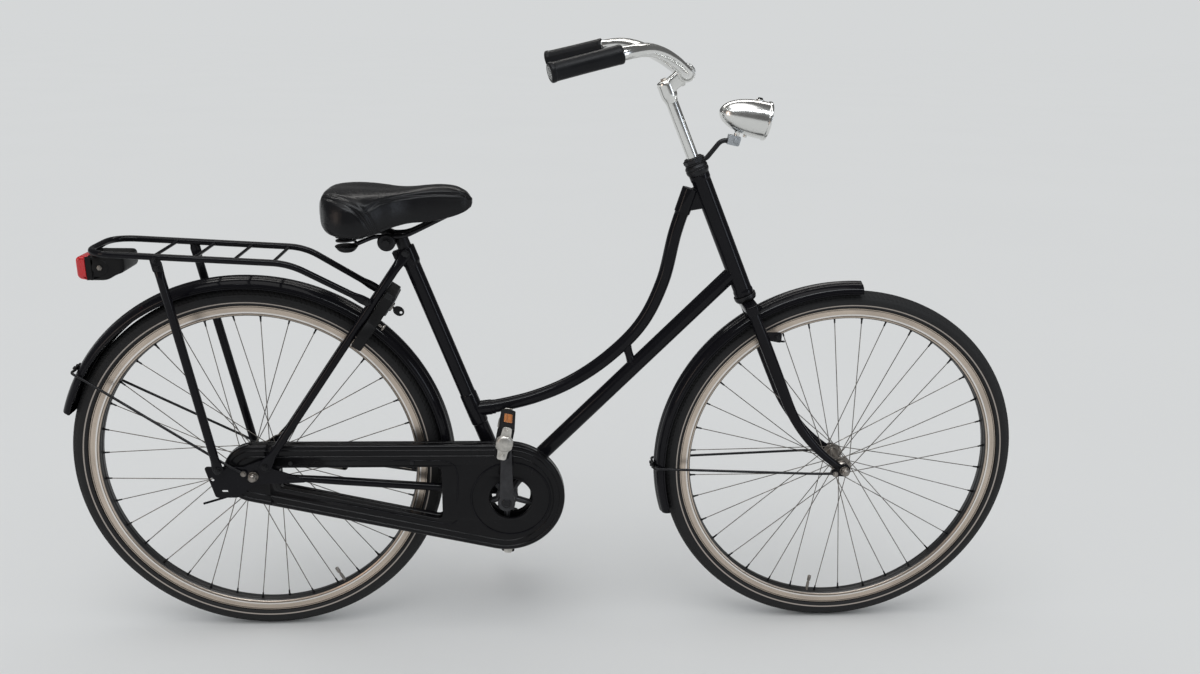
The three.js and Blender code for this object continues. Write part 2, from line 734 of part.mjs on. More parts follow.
function topTube() {
  const run = topTubeCurve.getPoints(topTubeRings);
  const end = run.at(-1);
  const along = end.clone().sub(run.at(-2)).normalize();
  const lug = rod(end.clone().addScaledVector(along, -TOP_LUG_LENGTH), along, TOP_LUG_LENGTH,
    TOP_LUG_RADIUS, TUBE_SIDES);
  const low = end.clone().addScaledVector(along, -TOP_LUG_LENGTH);
  const webShape = new THREE.Shape([end, low, onHead(-TOP_TUBE_HEAD_FALL - TOP_LUG_LENGTH),
    onHead(-TOP_TUBE_HEAD_FALL)].map((point) => new THREE.Vector2(point.x, point.z)));
  const body = join(tube(run, TOP_TUBE_RADIUS), lug, plate(webShape, -TOP_LUG_WEB, TOP_LUG_WEB));
  const seatCollar = rod(topTubeSeat, run[2].clone().sub(run[0]).normalize(),
    SEAT_TUBE_RADIUS + TOP_LUG_RADIUS, TOP_LUG_RADIUS, TUBE_SIDES);
  return cut(join(body, seatCollar), headCutter(), seatCutter());
}

const downTubeHead = headFoot.clone().addScaledVector(headUp, DOWN_TUBE_JOINT_RISE);

function downTube() {
  const foot = crankCentre.clone().lerp(downTubeHead, LINK_FOOT_SHARE);
  const link = tube([foot, topTubeCurve.getPoint(LINK_TOP_SHARE)], LINK_RADIUS, COARSE_SIDES);
  const body = join(tube([crankCentre, downTubeHead], DOWN_TUBE_RADIUS), link);
  return cut(body, headCutter(), shellCutter(), seatCutter(),
    tube(topTubeCurve.getPoints(topTubeRings), TOP_TUBE_RADIUS + GAP));
}

function seatTube() {
  const lugFoot = SEAT_TUBE_LENGTH - SEAT_LUG_LENGTH;
  const outer = turned([
    [0, 0], [SEAT_TUBE_RADIUS, 0], [SEAT_TUBE_RADIUS, lugFoot], [SEAT_LUG_RADIUS, lugFoot + OVERRUN],
    [SEAT_LUG_RADIUS, SEAT_TUBE_LENGTH], [0, SEAT_TUBE_LENGTH],
  ], crankCentre, seatUp);
  const bore = rod(onSeat(-POST_INSERT - OVERRUN), seatUp, POST_INSERT + 2 * OVERRUN, SEAT_TUBE_BORE);
  const inside = crossRod(crankCentre, -SHELL_WIDTH, SHELL_WIDTH, SHELL_BORE + CASE_WALL);
  return join(cut(outer, bore, inside), shellSolid());
}

// Rear stays, each with its end plate
const chainstayRoute = () => roundedRoute([
  at(CRANK_AHEAD - SHELL_RADIUS / 2, -SHELL_RADIUS - GAP, crankCentre.z),
  at(CRANK_AHEAD - 4 * SHELL_RADIUS, -SHELL_WIDTH / 2 + GAP + CHAINSTAY_INSET,
    THREE.MathUtils.lerp(crankCentre.z, rearAxle.z, 4 * SHELL_RADIUS / CRANK_AHEAD)),
  at(DROPOUT_REACH - DROPOUT_EYE - STAY_EYE_RADIUS, -DROPOUT_INNER,
    THREE.MathUtils.lerp(rearAxle.z, crankCentre.z, DROPOUT_REACH / CRANK_AHEAD / 2)),
], CHAINSTAY_BEND);

function dropoutShape(right) {
  const [z, tipZ] = [TYRE_RADIUS, TYRE_RADIUS - CRANK_DROP * (DROPOUT_REACH / CRANK_AHEAD)];
  const front = [
    [DROPOUT_REACH, tipZ - CHAINSTAY_RADIUS, TIP_CORNER],
    [DROPOUT_REACH, tipZ + CHAINSTAY_RADIUS, TIP_CORNER],
    [STAY_EYE_AHEAD + STAY_EYE_RADIUS, z + STAY_EYE_RISE - STAY_EYE_RADIUS / 2, PLATE_CORNER],
    [STAY_EYE_AHEAD + STAY_EYE_RADIUS / 2, z + STAY_EYE_RISE + STAY_EYE_RADIUS, PLATE_CORNER],
    [STAY_EYE_AHEAD - STAY_EYE_RADIUS, z + STAY_EYE_RISE + STAY_EYE_RADIUS, PLATE_CORNER],
  ];
  const lean = Math.tan(radians(PLATE_LEAN));
  const back = right ? [
    [-DROPOUT_EYE, z + PLATE_RISE, PLATE_CORNER], [-PLATE_BACK, z + PLATE_RISE, PLATE_CORNER],
    [-PLATE_BACK + (PLATE_RISE + PLATE_FALL) * lean, z - PLATE_FALL, PLATE_CORNER],
    [-PLATE_BACK + (PLATE_RISE + PLATE_FALL) * lean + PLATE_LENGTH, z - PLATE_FALL, PLATE_CORNER],
    [0, z - DROPOUT_EYE, PLATE_CORNER],
  ] : [
    [-DROPOUT_EYE, z + DROPOUT_EYE / 2, PLATE_CORNER],
    [-LEG_FOOT_BACK_LEFT - LEG_BOSS_RADIUS, z + STAY_END_RISE, PLATE_CORNER],
    [-LEG_FOOT_BACK_LEFT - 2 * LEG_BOSS_RADIUS, z - DROPOUT_EYE, PLATE_CORNER],
    [0, z - DROPOUT_EYE, PLATE_CORNER],
  ];
  return roundedShape([...front, ...back].reverse());
}

function chainstay(side) {
  const right = side < 0;
  const end = plate(dropoutShape(right), side * DROPOUT_INNER, side * (DROPOUT_INNER + DROPOUT_THICK), 2);
  const run = chainstayRoute().map((point) => at(point.x, -side * point.y, point.z));
  const holes = [crossRod(rearAxle, side * (DROPOUT_INNER - OVERRUN),
    side * (DROPOUT_INNER + DROPOUT_THICK + OVERRUN), REAR_AXLE_RADIUS + GAP, COARSE_SIDES)];
  const pieces = [tube(run, CHAINSTAY_RADIUS), end];
  if (right) {
    holes.push(crossRod(at(-PLATE_HOLE_BACK, 0, TYRE_RADIUS - PLATE_HOLE_FALL),
      -DROPOUT_INNER + OVERRUN, -DROPOUT_INNER - DROPOUT_THICK - OVERRUN, PLATE_HOLE, COARSE_SIDES));
    const lipEnd = at(-PLATE_BACK + PLATE_LENGTH, -DROPOUT_INNER - DROPOUT_THICK / 2,
      TYRE_RADIUS - PLATE_FALL + LIP_RADIUS);
    const lipStart = at(lipEnd.x - LIP_LENGTH, lipEnd.y, TYRE_RADIUS - LIP_FALL);
    const lipTop = lipEnd.clone().add(at(PLATE_RISE, 0, PLATE_RISE));
    pieces.push(tube([lipStart, lipEnd, lipTop], LIP_RADIUS, COARSE_SIDES));
  }
  return cut(join(...pieces), shellCutter(), ...holes);
}

const stayFoot = at(STAY_EYE_AHEAD, -DROPOUT_INNER - DROPOUT_THICK - GAP - LEG_FLAT_HALF,
  TYRE_RADIUS + STAY_EYE_RISE);
const stayHead = onSeat(-SEAT_LUG_LENGTH / 4, -SEAT_LUG_RADIUS - GAP - LEG_FLAT_HALF - 2 * GAP);
const stayKnee = stayHead.clone().lerp(stayFoot, KNEE_SHARE).setY(-SEATSTAY_TOP_HALF - STAY_EYE_RADIUS);
const stayLow = stayFoot.clone().lerp(stayKnee, STAY_LOW_SHARE).setY(stayFoot.y);
const stayUp = stayHead.clone().sub(stayFoot).setY(0).normalize();

function seatstay(side) {
  const points = [stayFoot.clone().addScaledVector(stayUp, -STAY_EYE_RADIUS),
    stayFoot.clone().addScaledVector(stayUp, STAY_EYE_RADIUS), stayLow, stayKnee,
    stayHead, stayHead.clone().addScaledVector(stayUp, STAY_EYE_RADIUS / 2)]
    .map((point) => at(point.x, -side * point.y, point.z));
  const r = SEATSTAY_RADIUS;
  const halves = [r, STAY_EYE_RADIUS, r, r, STAY_EYE_RADIUS, r];
  const thicks = [LEG_FLAT_HALF, LEG_FLAT_HALF, r, r, LEG_FLAT_HALF, LEG_FLAT_HALF];
  const stay = taperedTube(points, halves, thicks);
  if (side > 0) return cut(stay, bridgeCutter());
  return join(stay, bridge());
}

// Brake bridge between the seat stays, resting on the crown of the rear fender
const stayForward = at(stayUp.z, 0, -stayUp.x);
const stayOffset = stayFoot.clone().sub(rearAxle).setY(0).dot(stayForward);
const bridgeReach = REAR_FENDER_RADIUS + GAP + BRIDGE_RADIUS;
const bridgeCentre = rearAxle.clone().addScaledVector(stayForward, stayOffset)
  .addScaledVector(stayUp, Math.sqrt(bridgeReach ** 2 - stayOffset ** 2));
const bridgeAngle = THREE.MathUtils.radToDeg(Math.atan2(bridgeCentre.z - rearAxle.z, bridgeCentre.x));
const stayHalfAtBridge = THREE.MathUtils.lerp(-stayLow.y, -stayKnee.y,
  (bridgeCentre.z - stayLow.z) / (stayKnee.z - stayLow.z));
const bridge = () => crossRod(bridgeCentre, -stayHalfAtBridge, stayHalfAtBridge, BRIDGE_RADIUS, TUBE_SIDES);
const bridgeCutter = () => crossRod(bridgeCentre, -stayHalfAtBridge, stayHalfAtBridge + GAP,
  BRIDGE_RADIUS + GAP, TUBE_SIDES);

// Wheels
function tyre(centre) {
  const section = TYRE_RADIUS - TYRE_HALF;
  const arcs = 4;
  const lip = RIM_RADIUS + TYRE_LIP;
  const open = Math.acos((lip - section) / TYRE_HALF);
  const arc = Array.from({ length: arcs + 1 }, (_, index) => {
    const angle = -open + (2 * open * index) / arcs;
    return [section + TYRE_HALF * Math.cos(angle), TYRE_HALF * Math.sin(angle)];
  });
  const profile = [...arc, [lip, TYRE_FLAT], [TYRE_SEAT_RADIUS, TYRE_FLAT],
    [TYRE_SEAT_RADIUS, -TYRE_FLAT], [lip, -TYRE_FLAT], arc[0]];
  return turned(profile, centre, SIDE_AXIS, WHEEL_SEGMENTS);
}

function rim(centre) {
  const [half, wall] = [RIM_HALF, RIM_WALL];
  const profile = [
    [RIM_RADIUS, -half], [RIM_INNER_RADIUS + RIM_SHOULDER, -half], [RIM_INNER_RADIUS, -RIM_WELL],
    [RIM_INNER_RADIUS, RIM_WELL], [RIM_INNER_RADIUS + RIM_SHOULDER, half], [RIM_RADIUS, half],
    [RIM_RADIUS, half - wall], [RIM_INNER_RADIUS + RIM_WELL, half - wall],
    [RIM_INNER_RADIUS + RIM_WELL, -half + wall], [RIM_RADIUS, -half + wall], [RIM_RADIUS, -half],
  ];
  return turned(profile, centre, SIDE_AXIS, WHEEL_SEGMENTS);
}

// Hub shell with its flanges and every spoke laced into it
function lacedHub(centre, size) {
  const shell = turned([
    [size.bore, -size.right], [size.shell, -size.right],
    [size.shell, -size.flangeRight - FLANGE_THICK / 2], [size.flange, -size.flangeRight - FLANGE_THICK / 2],
    [size.flange, -size.flangeRight + FLANGE_THICK / 2], [size.shell, -size.flangeRight + FLANGE_THICK / 2],
    [size.shell, size.flangeLeft - FLANGE_THICK / 2], [size.flange, size.flangeLeft - FLANGE_THICK / 2],
    [size.flange, size.flangeLeft + FLANGE_THICK / 2], [size.shell, size.flangeLeft + FLANGE_THICK / 2],
    [size.shell, size.left], [size.bore, size.left], [size.bore, -size.right],
  ], centre, SIDE_AXIS, HUB_SIDES);
  const perSide = SPOKES / 2;
  const reach = RIM_INNER_RADIUS * Math.cos(Math.PI / WHEEL_SEGMENTS) - GAP;
  const spokes = Array.from({ length: SPOKES }, (_, index) => {
    const left = index % 2;
    const turnShare = Math.floor(index / 2) / perSide + left / SPOKES;
    const lean = (Math.floor(index / 2) % 2) * 2 - 1;
    const rimAngle = 2 * Math.PI * turnShare + radians(SPOKE_PHASE);
    const hubAngle = rimAngle + lean * radians(CROSS_ANGLE);
    const seat = left ? size.flangeLeft : -size.flangeRight;
    const hole = size.flange - FLANGE_THICK / 2;
    const inner = at(centre.x + hole * Math.cos(hubAngle), seat + lean * SPOKE_SPLAY,
      centre.z + hole * Math.sin(hubAngle));
    const outer = at(centre.x + reach * Math.cos(rimAngle),
      (left * 2 - 1) * SPOKE_RIM_OFFSET + lean * SPOKE_SPLAY, centre.z + reach * Math.sin(rimAngle));
    return tube([inner, outer], SPOKE_RADIUS, 3);
  });
  return join(shell, ...spokes);
}

const rearHub = () => lacedHub(rearAxle, {
  bore: REAR_AXLE_RADIUS + AXLE_CLEARANCE, shell: REAR_SHELL_RADIUS, flange: REAR_FLANGE_RADIUS,
  left: REAR_HUB_LEFT, right: REAR_HUB_RIGHT, flangeLeft: REAR_FLANGE_LEFT, flangeRight: REAR_FLANGE_RIGHT,
});
const frontHub = () => lacedHub(frontAxle, {
  bore: FRONT_AXLE_RADIUS + AXLE_CLEARANCE, shell: FRONT_SHELL_RADIUS, flange: FRONT_FLANGE_RADIUS,
  left: FRONT_HUB_HALF, right: FRONT_HUB_HALF, flangeLeft: FRONT_FLANGE_AT, flangeRight: FRONT_FLANGE_AT,
});

// Axle with its cones and end nuts: pairs of side distance and radius, then the nuts
function axle(centre, radius, collars, nuts, half) {
  const pieces = [crossRod(centre, -half, half, radius, COARSE_SIDES)];
  collars.forEach(([from, to, collar]) => pieces.push(crossRod(centre, from, to, collar, TUBE_SIDES)));
  nuts.forEach(([from, to]) => pieces.push(crossRod(centre, from, to, NUT_RADIUS, 6)));
  return join(...pieces);
}

const rearNutSeat = DROPOUT_INNER + DROPOUT_THICK + GAP;
const rearAxleSolid = () => axle(rearAxle, REAR_AXLE_RADIUS, [
  [-DROPOUT_INNER + GAP, -DRIVER_OUTER_AT - 2 * GAP, CONE_RADIUS],
  [REAR_HUB_LEFT + GAP, BRAKE_ARM_AT - GAP, BRAKE_CONE_RADIUS],
  [BRAKE_ARM_AT + BRAKE_ARM_THICK + GAP, DROPOUT_INNER - GAP, CONE_RADIUS],
], [[-rearNutSeat, -rearNutSeat - NUT_THICK], [rearNutSeat, rearNutSeat + NUT_THICK]],
rearNutSeat + NUT_THICK + AXLE_STUB);
const frontNutSeat = FORK_END_INNER + FORK_END_THICK + GAP;
const frontAxleSolid = () => axle(frontAxle, FRONT_AXLE_RADIUS, [
  [FRONT_HUB_HALF + GAP, FORK_END_INNER - GAP, CONE_RADIUS],
  [-FRONT_HUB_HALF - GAP, -FORK_END_INNER + GAP, CONE_RADIUS],
], [[frontNutSeat, frontNutSeat + NUT_THICK], [-frontNutSeat, -frontNutSeat - NUT_THICK]],
frontNutSeat + NUT_THICK + AXLE_STUB);

// Coaster brake arm, strapped to the left chainstay
function brakeArm() {
  const tip = at(BRAKE_ARM_LENGTH, 0, TYRE_RADIUS - BRAKE_ARM_FALL);
  const [from, to] = [BRAKE_ARM_AT, BRAKE_ARM_AT + BRAKE_ARM_THICK];
  const outline = beltOutline(rearAxle, BRAKE_CONE_RADIUS, tip, BRAKE_ARM_HALF, 8);
  const arm = plate(new THREE.Shape(outline), from, to);
  const run = chainstayRoute().map((point) => at(point.x, -point.y, point.z));
  const [a, b] = [run.at(-2), run.at(-1)];
  const direction = a.clone().sub(b).normalize();
  const share = (BRAKE_ARM_LENGTH - b.x) / (a.x - b.x);
  const clip = b.clone().lerp(a, share).addScaledVector(direction, -STRAP_WIDTH / 2);
  const hold = clearOf(CHAINSTAY_RADIUS, TUBE_SIDES);
  const strap = turned([
    [hold, 0], [hold + STRAP_THICK, 0], [hold + STRAP_THICK, STRAP_WIDTH], [hold, STRAP_WIDTH], [hold, 0],
  ], clip, direction, TUBE_SIDES);
  const lug = crossRod(tip, clip.y, to, BRAKE_ARM_HALF - STRAP_THICK, COARSE_SIDES);
  const lift = rod(at(tip.x, clip.y, tip.z), UP_AXIS,
    clip.z - tip.z - hold - GAP, STRAP_WIDTH / 4, COARSE_SIDES);
  const hole = crossRod(rearAxle, from - OVERRUN, to + OVERRUN, REAR_AXLE_RADIUS + GAP, COARSE_SIDES);
  return cut(join(arm, strap, lug, lift), hole);
}

// Chain, chainring and sprocket
const ringRadius = (RING_TEETH * CHAIN_PITCH) / (2 * Math.PI);
const sprocketRadius = (SPROCKET_TEETH * CHAIN_PITCH) / (2 * Math.PI);

function chain() {
  const shape = new THREE.Shape(beltOutline(rearAxle, sprocketRadius + CHAIN_HALF_HEIGHT,
    crankCentre, ringRadius + CHAIN_HALF_HEIGHT, 24));
  shape.holes.push(new THREE.Path(beltOutline(rearAxle, sprocketRadius - CHAIN_HALF_HEIGHT,
    crankCentre, ringRadius - CHAIN_HALF_HEIGHT, 24)));
  return plate(shape, -CHAIN_LINE - CHAIN_WIDTH / 2, -CHAIN_LINE + CHAIN_WIDTH / 2);
}

function toothedShape(centre, radius, teeth) {
  const points = [];
  for (let tooth = 0; tooth < teeth; tooth += 1) {
    [[0.25, 0], [0.75, TOOTH_DEPTH]].forEach(([share, depth]) => {
      const angle = (2 * Math.PI * (tooth + share)) / teeth;
      points.push(new THREE.Vector2(centre.x + (radius - depth) * Math.cos(angle),
        centre.z + (radius - depth) * Math.sin(angle)));
    });
  }
  return new THREE.Shape(points);
}

// Toothed wheels stop short of the chain's inner face, also at its flats
const underChain = (radius) => (radius - CHAIN_HALF_HEIGHT) * Math.cos(Math.PI / 24) - 2 * GAP;

function chainring() {
  const tip = underChain(ringRadius);
  const shape = new THREE.Shape(ringPoints(tip, RING_TEETH).map(
    (corner) => corner.add(new THREE.Vector2(crankCentre.x, crankCentre.z))));
  const [inner, outer] = [SPIDER_HUB, tip - SPIDER_RIM];
  for (let arm = 0; arm < SPIDER_ARMS; arm += 1) {
    const middle = (2 * Math.PI * (arm + 0.25)) / SPIDER_ARMS;
    const half = Math.PI / SPIDER_ARMS;
    const [innerHalf, outerHalf] = [half - SPIDER_ARM_HALF / inner, half - SPIDER_ARM_HALF / outer];
    const window = new THREE.Path();
    window.absarc(crankCentre.x, crankCentre.z, outer, middle + outerHalf, middle - outerHalf, true);
    window.absarc(crankCentre.x, crankCentre.z, inner, middle - innerHalf, middle + innerHalf, false);
    shape.holes.push(window);
  }
  const [from, to] = [-CHAIN_LINE - RING_THICK / 2, -CHAIN_LINE + RING_THICK / 2];
  const sleeve = crossRod(crankCentre, to, -CRANK_INNER_AT + GAP, DRIVER_RADIUS, TUBE_SIDES);
  const bore = crossRod(crankCentre, OVERRUN, -CRANK_OUTER_AT, CRANK_AXLE_RADIUS + GAP, TUBE_SIDES);
  return cut(join(plate(shape, from, to, 3), sleeve), bore);
}

function rearSprocket() {
  const shape = toothedShape(rearAxle, underChain(sprocketRadius), SPROCKET_TEETH);
  const disc = plate(shape, -CHAIN_LINE - SPROCKET_THICK / 2, -CHAIN_LINE + SPROCKET_THICK / 2);
  const driver = crossRod(rearAxle, -REAR_HUB_RIGHT - GAP, -DRIVER_OUTER_AT, DRIVER_RADIUS, TUBE_SIDES);
  const bore = crossRod(rearAxle, OVERRUN, -DROPOUT_INNER, REAR_AXLE_RADIUS + AXLE_CLEARANCE, TUBE_SIDES);
  return cut(join(disc, driver), bore);
}

// Chain case: an outline round both wheels of the drive, with a window for the chainstay
const caseOutline = (inset) => new THREE.Shape(beltOutline(rearAxle, CASE_REAR_RADIUS - inset,
  crankCentre, CASE_FRONT_RADIUS - inset, 20));

function caseWindow(grow) {
  const top = TYRE_RADIUS + CASE_REAR_RADIUS - CASE_RUN_HEIGHT + grow;
  const run = Math.hypot(CRANK_AHEAD, CRANK_DROP);
  const fall = Math.tan(Math.atan2(CRANK_DROP, CRANK_AHEAD)
    + Math.asin((CASE_FRONT_RADIUS - CASE_REAR_RADIUS) / run));
  const floor = (x) => TYRE_RADIUS - CASE_REAR_RADIUS + CASE_LOWER_RUN_HEIGHT - x * fall - grow;
  const [back, front] = [WINDOW_BACK - grow, WINDOW_FRONT + grow];
  return roundedShape([
    [back, floor(back), WINDOW_CORNER / 2], [front, floor(front), WINDOW_CORNER],
    [front, top, WINDOW_CORNER], [back, top, WINDOW_CORNER / 2],
  ]);
}

const caseMiddle = (CASE_INNER_AT + CASE_OUTER_AT) / 2;
const caseBlank = () => cut(plate(caseOutline(0), -CASE_INNER_AT, -CASE_OUTER_AT),
  plate(caseWindow(0), -CASE_INNER_AT + OVERRUN, -CASE_OUTER_AT - OVERRUN));
const caseHollow = (from, to) => cut(plate(caseOutline(CASE_WALL), from, to),
  plate(caseWindow(CASE_WALL), from + OVERRUN, to - OVERRUN));

// A slab that spans the case's height between two distances ahead of the rear axle
function caseSlab(back, front, from, to) {
  const low = crankCentre.z - CASE_FRONT_RADIUS - OVERRUN;
  const high = TYRE_RADIUS + CASE_REAR_RADIUS + OVERRUN;
  return plate(new THREE.Shape([[back, low], [front, low], [front, high], [back, high]]
    .map(([x, z]) => new THREE.Vector2(x, z))), from, to);
}

const caseAhead = CRANK_AHEAD + CASE_FRONT_RADIUS + OVERRUN;
const caseBehind = -CASE_REAR_RADIUS - OVERRUN;

function chainCase(from, to, hollowFrom, hollowTo, eye) {
  const keep = solid(caseSlab(CASE_NOSE_FRONT + GAP, caseAhead, from, to));
  const hollow = solid(caseHollow(hollowFrom, hollowTo));
  const hole = solid(crossRod(crankCentre.clone().add(at(CASE_EYE_AHEAD, 0, 0)), 0, -CRANK_OUTER_AT,
    eye, FINE_SIDES));
  return solid(caseBlank()).intersect(keep).subtract(hollow).subtract(hole);
}

const chainCaseOuter = () => geometryOf(chainCase(-caseMiddle - GAP / 2, -CASE_OUTER_AT - OVERRUN,
  -CASE_INNER_AT, -CASE_OUTER_AT + CASE_WALL, CASE_EYE_RADIUS));

function chainCaseInner() {
  const body = chainCase(-CASE_INNER_AT + OVERRUN, -caseMiddle + GAP / 2,
    -CASE_INNER_AT - CASE_WALL, -CASE_OUTER_AT, CASE_INNER_EYE);
  const run = chainstayRoute();
  const notch = solid(tube([run[0].clone().add(at(SHELL_RADIUS, 0, 0)), ...run],
    CHAINSTAY_RADIUS + STAY_CLEARANCE));
  return geometryOf(body.subtract(notch));
}

function chainCaseNose() {
  const keep = solid(caseSlab(caseBehind, CASE_NOSE_FRONT, 0, -CRANK_OUTER_AT));
  const hollow = solid(caseHollow(-CASE_INNER_AT - CASE_WALL, -CASE_OUTER_AT + CASE_WALL));
  const innerHole = solid(crossRod(rearAxle, 0, -caseMiddle, DRIVER_RADIUS + CASE_HOLE_PLAY, TUBE_SIDES));
  const outerHole = solid(crossRod(rearAxle, -caseMiddle, -CRANK_OUTER_AT,
    CONE_RADIUS + AXLE_CLEARANCE, TUBE_SIDES));
  const shell = solid(caseBlank()).intersect(keep).subtract(hollow);
  return geometryOf(shell.subtract(innerHole).subtract(outerHole));
}

// Cranks, their axle and the pedals
const crankAxle = () => crossRod(crankCentre, -CRANK_OUTER_AT + GAP, CRANK_OUTER_AT - GAP,
  CRANK_AXLE_RADIUS, TUBE_SIDES);

function crank(side) {
  const end = crankCentre.clone().addScaledVector(UP_AXIS, -side * CRANK_LENGTH);
  const middle = side * (CRANK_OUTER_AT - CRANK_HALF_THICK);
  const line = [0, 0.5, 1].map((share) => crankCentre.clone().lerp(end, share).setY(middle));
  const arm = taperedTube(line, [CRANK_WIDE_HALF, CRANK_MIDDLE_HALF, CRANK_NARROW_HALF],
    [CRANK_HALF_THICK, CRANK_HALF_THICK, CRANK_HALF_THICK], SIDE_AXIS, COARSE_SIDES);
  const boss = crossRod(crankCentre, side * CRANK_INNER_AT, side * CRANK_OUTER_AT,
    CRANK_BOSS_RADIUS, TUBE_SIDES);
  const eye = crossRod(end, side * (CRANK_OUTER_AT - 2 * CRANK_HALF_THICK), side * CRANK_OUTER_AT,
    PEDAL_BOSS_RADIUS, TUBE_SIDES);
  const spindleEnd = PEDAL_INNER_AT + PEDAL_LENGTH - PEDAL_PLATE - AXLE_CLEARANCE;
  const spindle = crossRod(end, side * (CRANK_OUTER_AT - LAP), side * spindleEnd,
    SPINDLE_RADIUS, COARSE_SIDES);
  const bore = crossRod(crankCentre, side * (CRANK_INNER_AT - OVERRUN), side * (CRANK_OUTER_AT + OVERRUN),
    CRANK_AXLE_RADIUS + GAP, TUBE_SIDES);
  return cut(join(arm, boss, eye, spindle), bore);
}

function pedal(side, tilt) {
  const centre = crankCentre.clone().addScaledVector(UP_AXIS, -side * CRANK_LENGTH);
  const [near, far] = [side * PEDAL_INNER_AT, side * (PEDAL_INNER_AT + PEDAL_LENGTH)];
  const [w, h] = [PEDAL_WIDTH / 2, PEDAL_HEIGHT / 2];
  const rounded = (from, to, corner) => roundedShape([
    [from, -h, corner], [to, -h, corner], [to, h, corner], [from, h, corner],
  ]);
  const endShape = rounded(-w, w, h * PEDAL_CORNER_SHARE);
  const tread = (from) => rounded(from, from + TREAD_WIDTH, TREAD_CORNER);
  const origin = at(0, 0, 0);
  const pieces = [
    plate(endShape, near, near + side * PEDAL_PLATE, 3), plate(endShape, far, far - side * PEDAL_PLATE, 3),
    plate(tread(-w + TREAD_INSET), near + side * LAP, far - side * LAP, 2),
    plate(tread(w - TREAD_INSET - TREAD_WIDTH), near + side * LAP, far - side * LAP, 2),
    crossRod(origin, near + side * LAP, far - side * LAP, PEDAL_SLEEVE_RADIUS, COARSE_SIDES),
  ];
  const bore = crossRod(origin, near - side * OVERRUN, far - side * PEDAL_PLATE,
    clearOf(SPINDLE_RADIUS, COARSE_SIDES), COARSE_SIDES);
  const body = cut(join(...pieces), bore);
  body.rotateY(radians(tilt));
  body.translate(centre.x, 0, centre.z);
  return body;
}

// Fork, headset and steering column
const crownBottom = CROWN_TOP + CROWN_THICK;

function forkCrown() {
  const [deep, wide] = [CROWN_HALF_DEPTH, CROWN_HALF_WIDTH];
  const outline = roundedShape([
    [-deep, -wide, deep], [deep, -wide, deep], [deep, wide, deep], [-deep, wide, deep],
  ]);
  const crown = new THREE.ExtrudeGeometry(outline, {
    depth: CROWN_THICK, bevelEnabled: false, curveSegments: 5,
  });
  crown.applyMatrix4(new THREE.Matrix4().makeBasis(headForward, SIDE_AXIS, headUp));
  crown.translate(...onFork(crownBottom).toArray());
  const length = HEAD_TUBE_LENGTH + CROWN_TOP + STEERER_STAND;
  const steerer = rod(onFork(CROWN_TOP + LAP), headUp, length + LAP, STEERER_RADIUS, FINE_SIDES);
  const bore = rod(onFork(CROWN_TOP - OVERRUN), headUp, length + OVERRUN + GAP, STEERER_BORE, FINE_SIDES);
  const bossFoot = onFork(crownBottom - GAP);
  const toAxle = frontAxle.clone().sub(bossFoot).normalize();
  const boss = rod(bossFoot, toAxle, CROWN_THICK, BRIDGE_RADIUS, COARSE_SIDES);
  return cut(join(crown, steerer, boss), bore, fenderEnvelope());
}

const crownAngle = THREE.MathUtils.radToDeg(Math.atan2(
  onFork(crownBottom).z - frontAxle.z, onFork(crownBottom).x - frontAxle.x));

// The disc that the crown of the front fender sweeps, grown by the seat gap
const fenderEnvelope = () => crossRod(frontAxle, -FRONT_FENDER_HALF, FRONT_FENDER_HALF,
  clearOf(FRONT_FENDER_RADIUS, 2 * WHEEL_SEGMENTS), 2 * WHEEL_SEGMENTS);

function forkBlade(side) {
  const bendAngle = 2 * Math.atan2(FORK_RAKE, FORK_LENGTH - crownBottom - BLADE_STRAIGHT);
  const bendRadius = (FORK_LENGTH - crownBottom - BLADE_STRAIGHT) / Math.sin(bendAngle);
  const steps = 6;
  const top = crownBottom + GAP;
  const points = [onFork(top, 0, side * BLADE_TOP_HALF)];
  const tipSide = FORK_END_INNER + FORK_END_THICK / 2;
  const start = crownBottom + BLADE_STRAIGHT;
  for (let step = 0; step <= steps; step += 1) {
    const angle = (bendAngle * step) / steps;
    const fall = start + bendRadius * Math.sin(angle);
    const share = (fall - top) / (FORK_LENGTH - top);
    points.push(onFork(fall, bendRadius * (1 - Math.cos(angle)),
      side * THREE.MathUtils.lerp(BLADE_TOP_HALF, tipSide, share)));
  }
  const last = points.length - 1;
  const radii = points.map((_, index) => THREE.MathUtils.lerp(
    BLADE_TOP_RADIUS, BLADE_TIP_RADIUS, index / last));
  const thicks = radii.map((radius, index) => (index > last - 2 ? FORK_END_THICK / 2 : radius));
  const blade = taperedTube(points, radii, thicks, SIDE_AXIS, TUBE_SIDES);
  const [from, to] = [side * FORK_END_INNER, side * (FORK_END_INNER + FORK_END_THICK)];
  const stayEye = frontAxle.clone().add(at(-FRONT_STAY_BACK, 0, -FRONT_STAY_FALL));
  const outline = beltOutline(stayEye, FORK_END_RADIUS / 2, frontAxle, FORK_END_RADIUS, 10);
  const end = plate(new THREE.Shape(outline), from, to);
  const hole = crossRod(frontAxle, from - side * OVERRUN, to + side * OVERRUN,
    FRONT_AXLE_RADIUS + GAP, COARSE_SIDES);
  const pieces = [blade, end];
  if (side < 0) pieces.push(bladeBracket());
  return cut(join(...pieces), hole);
}

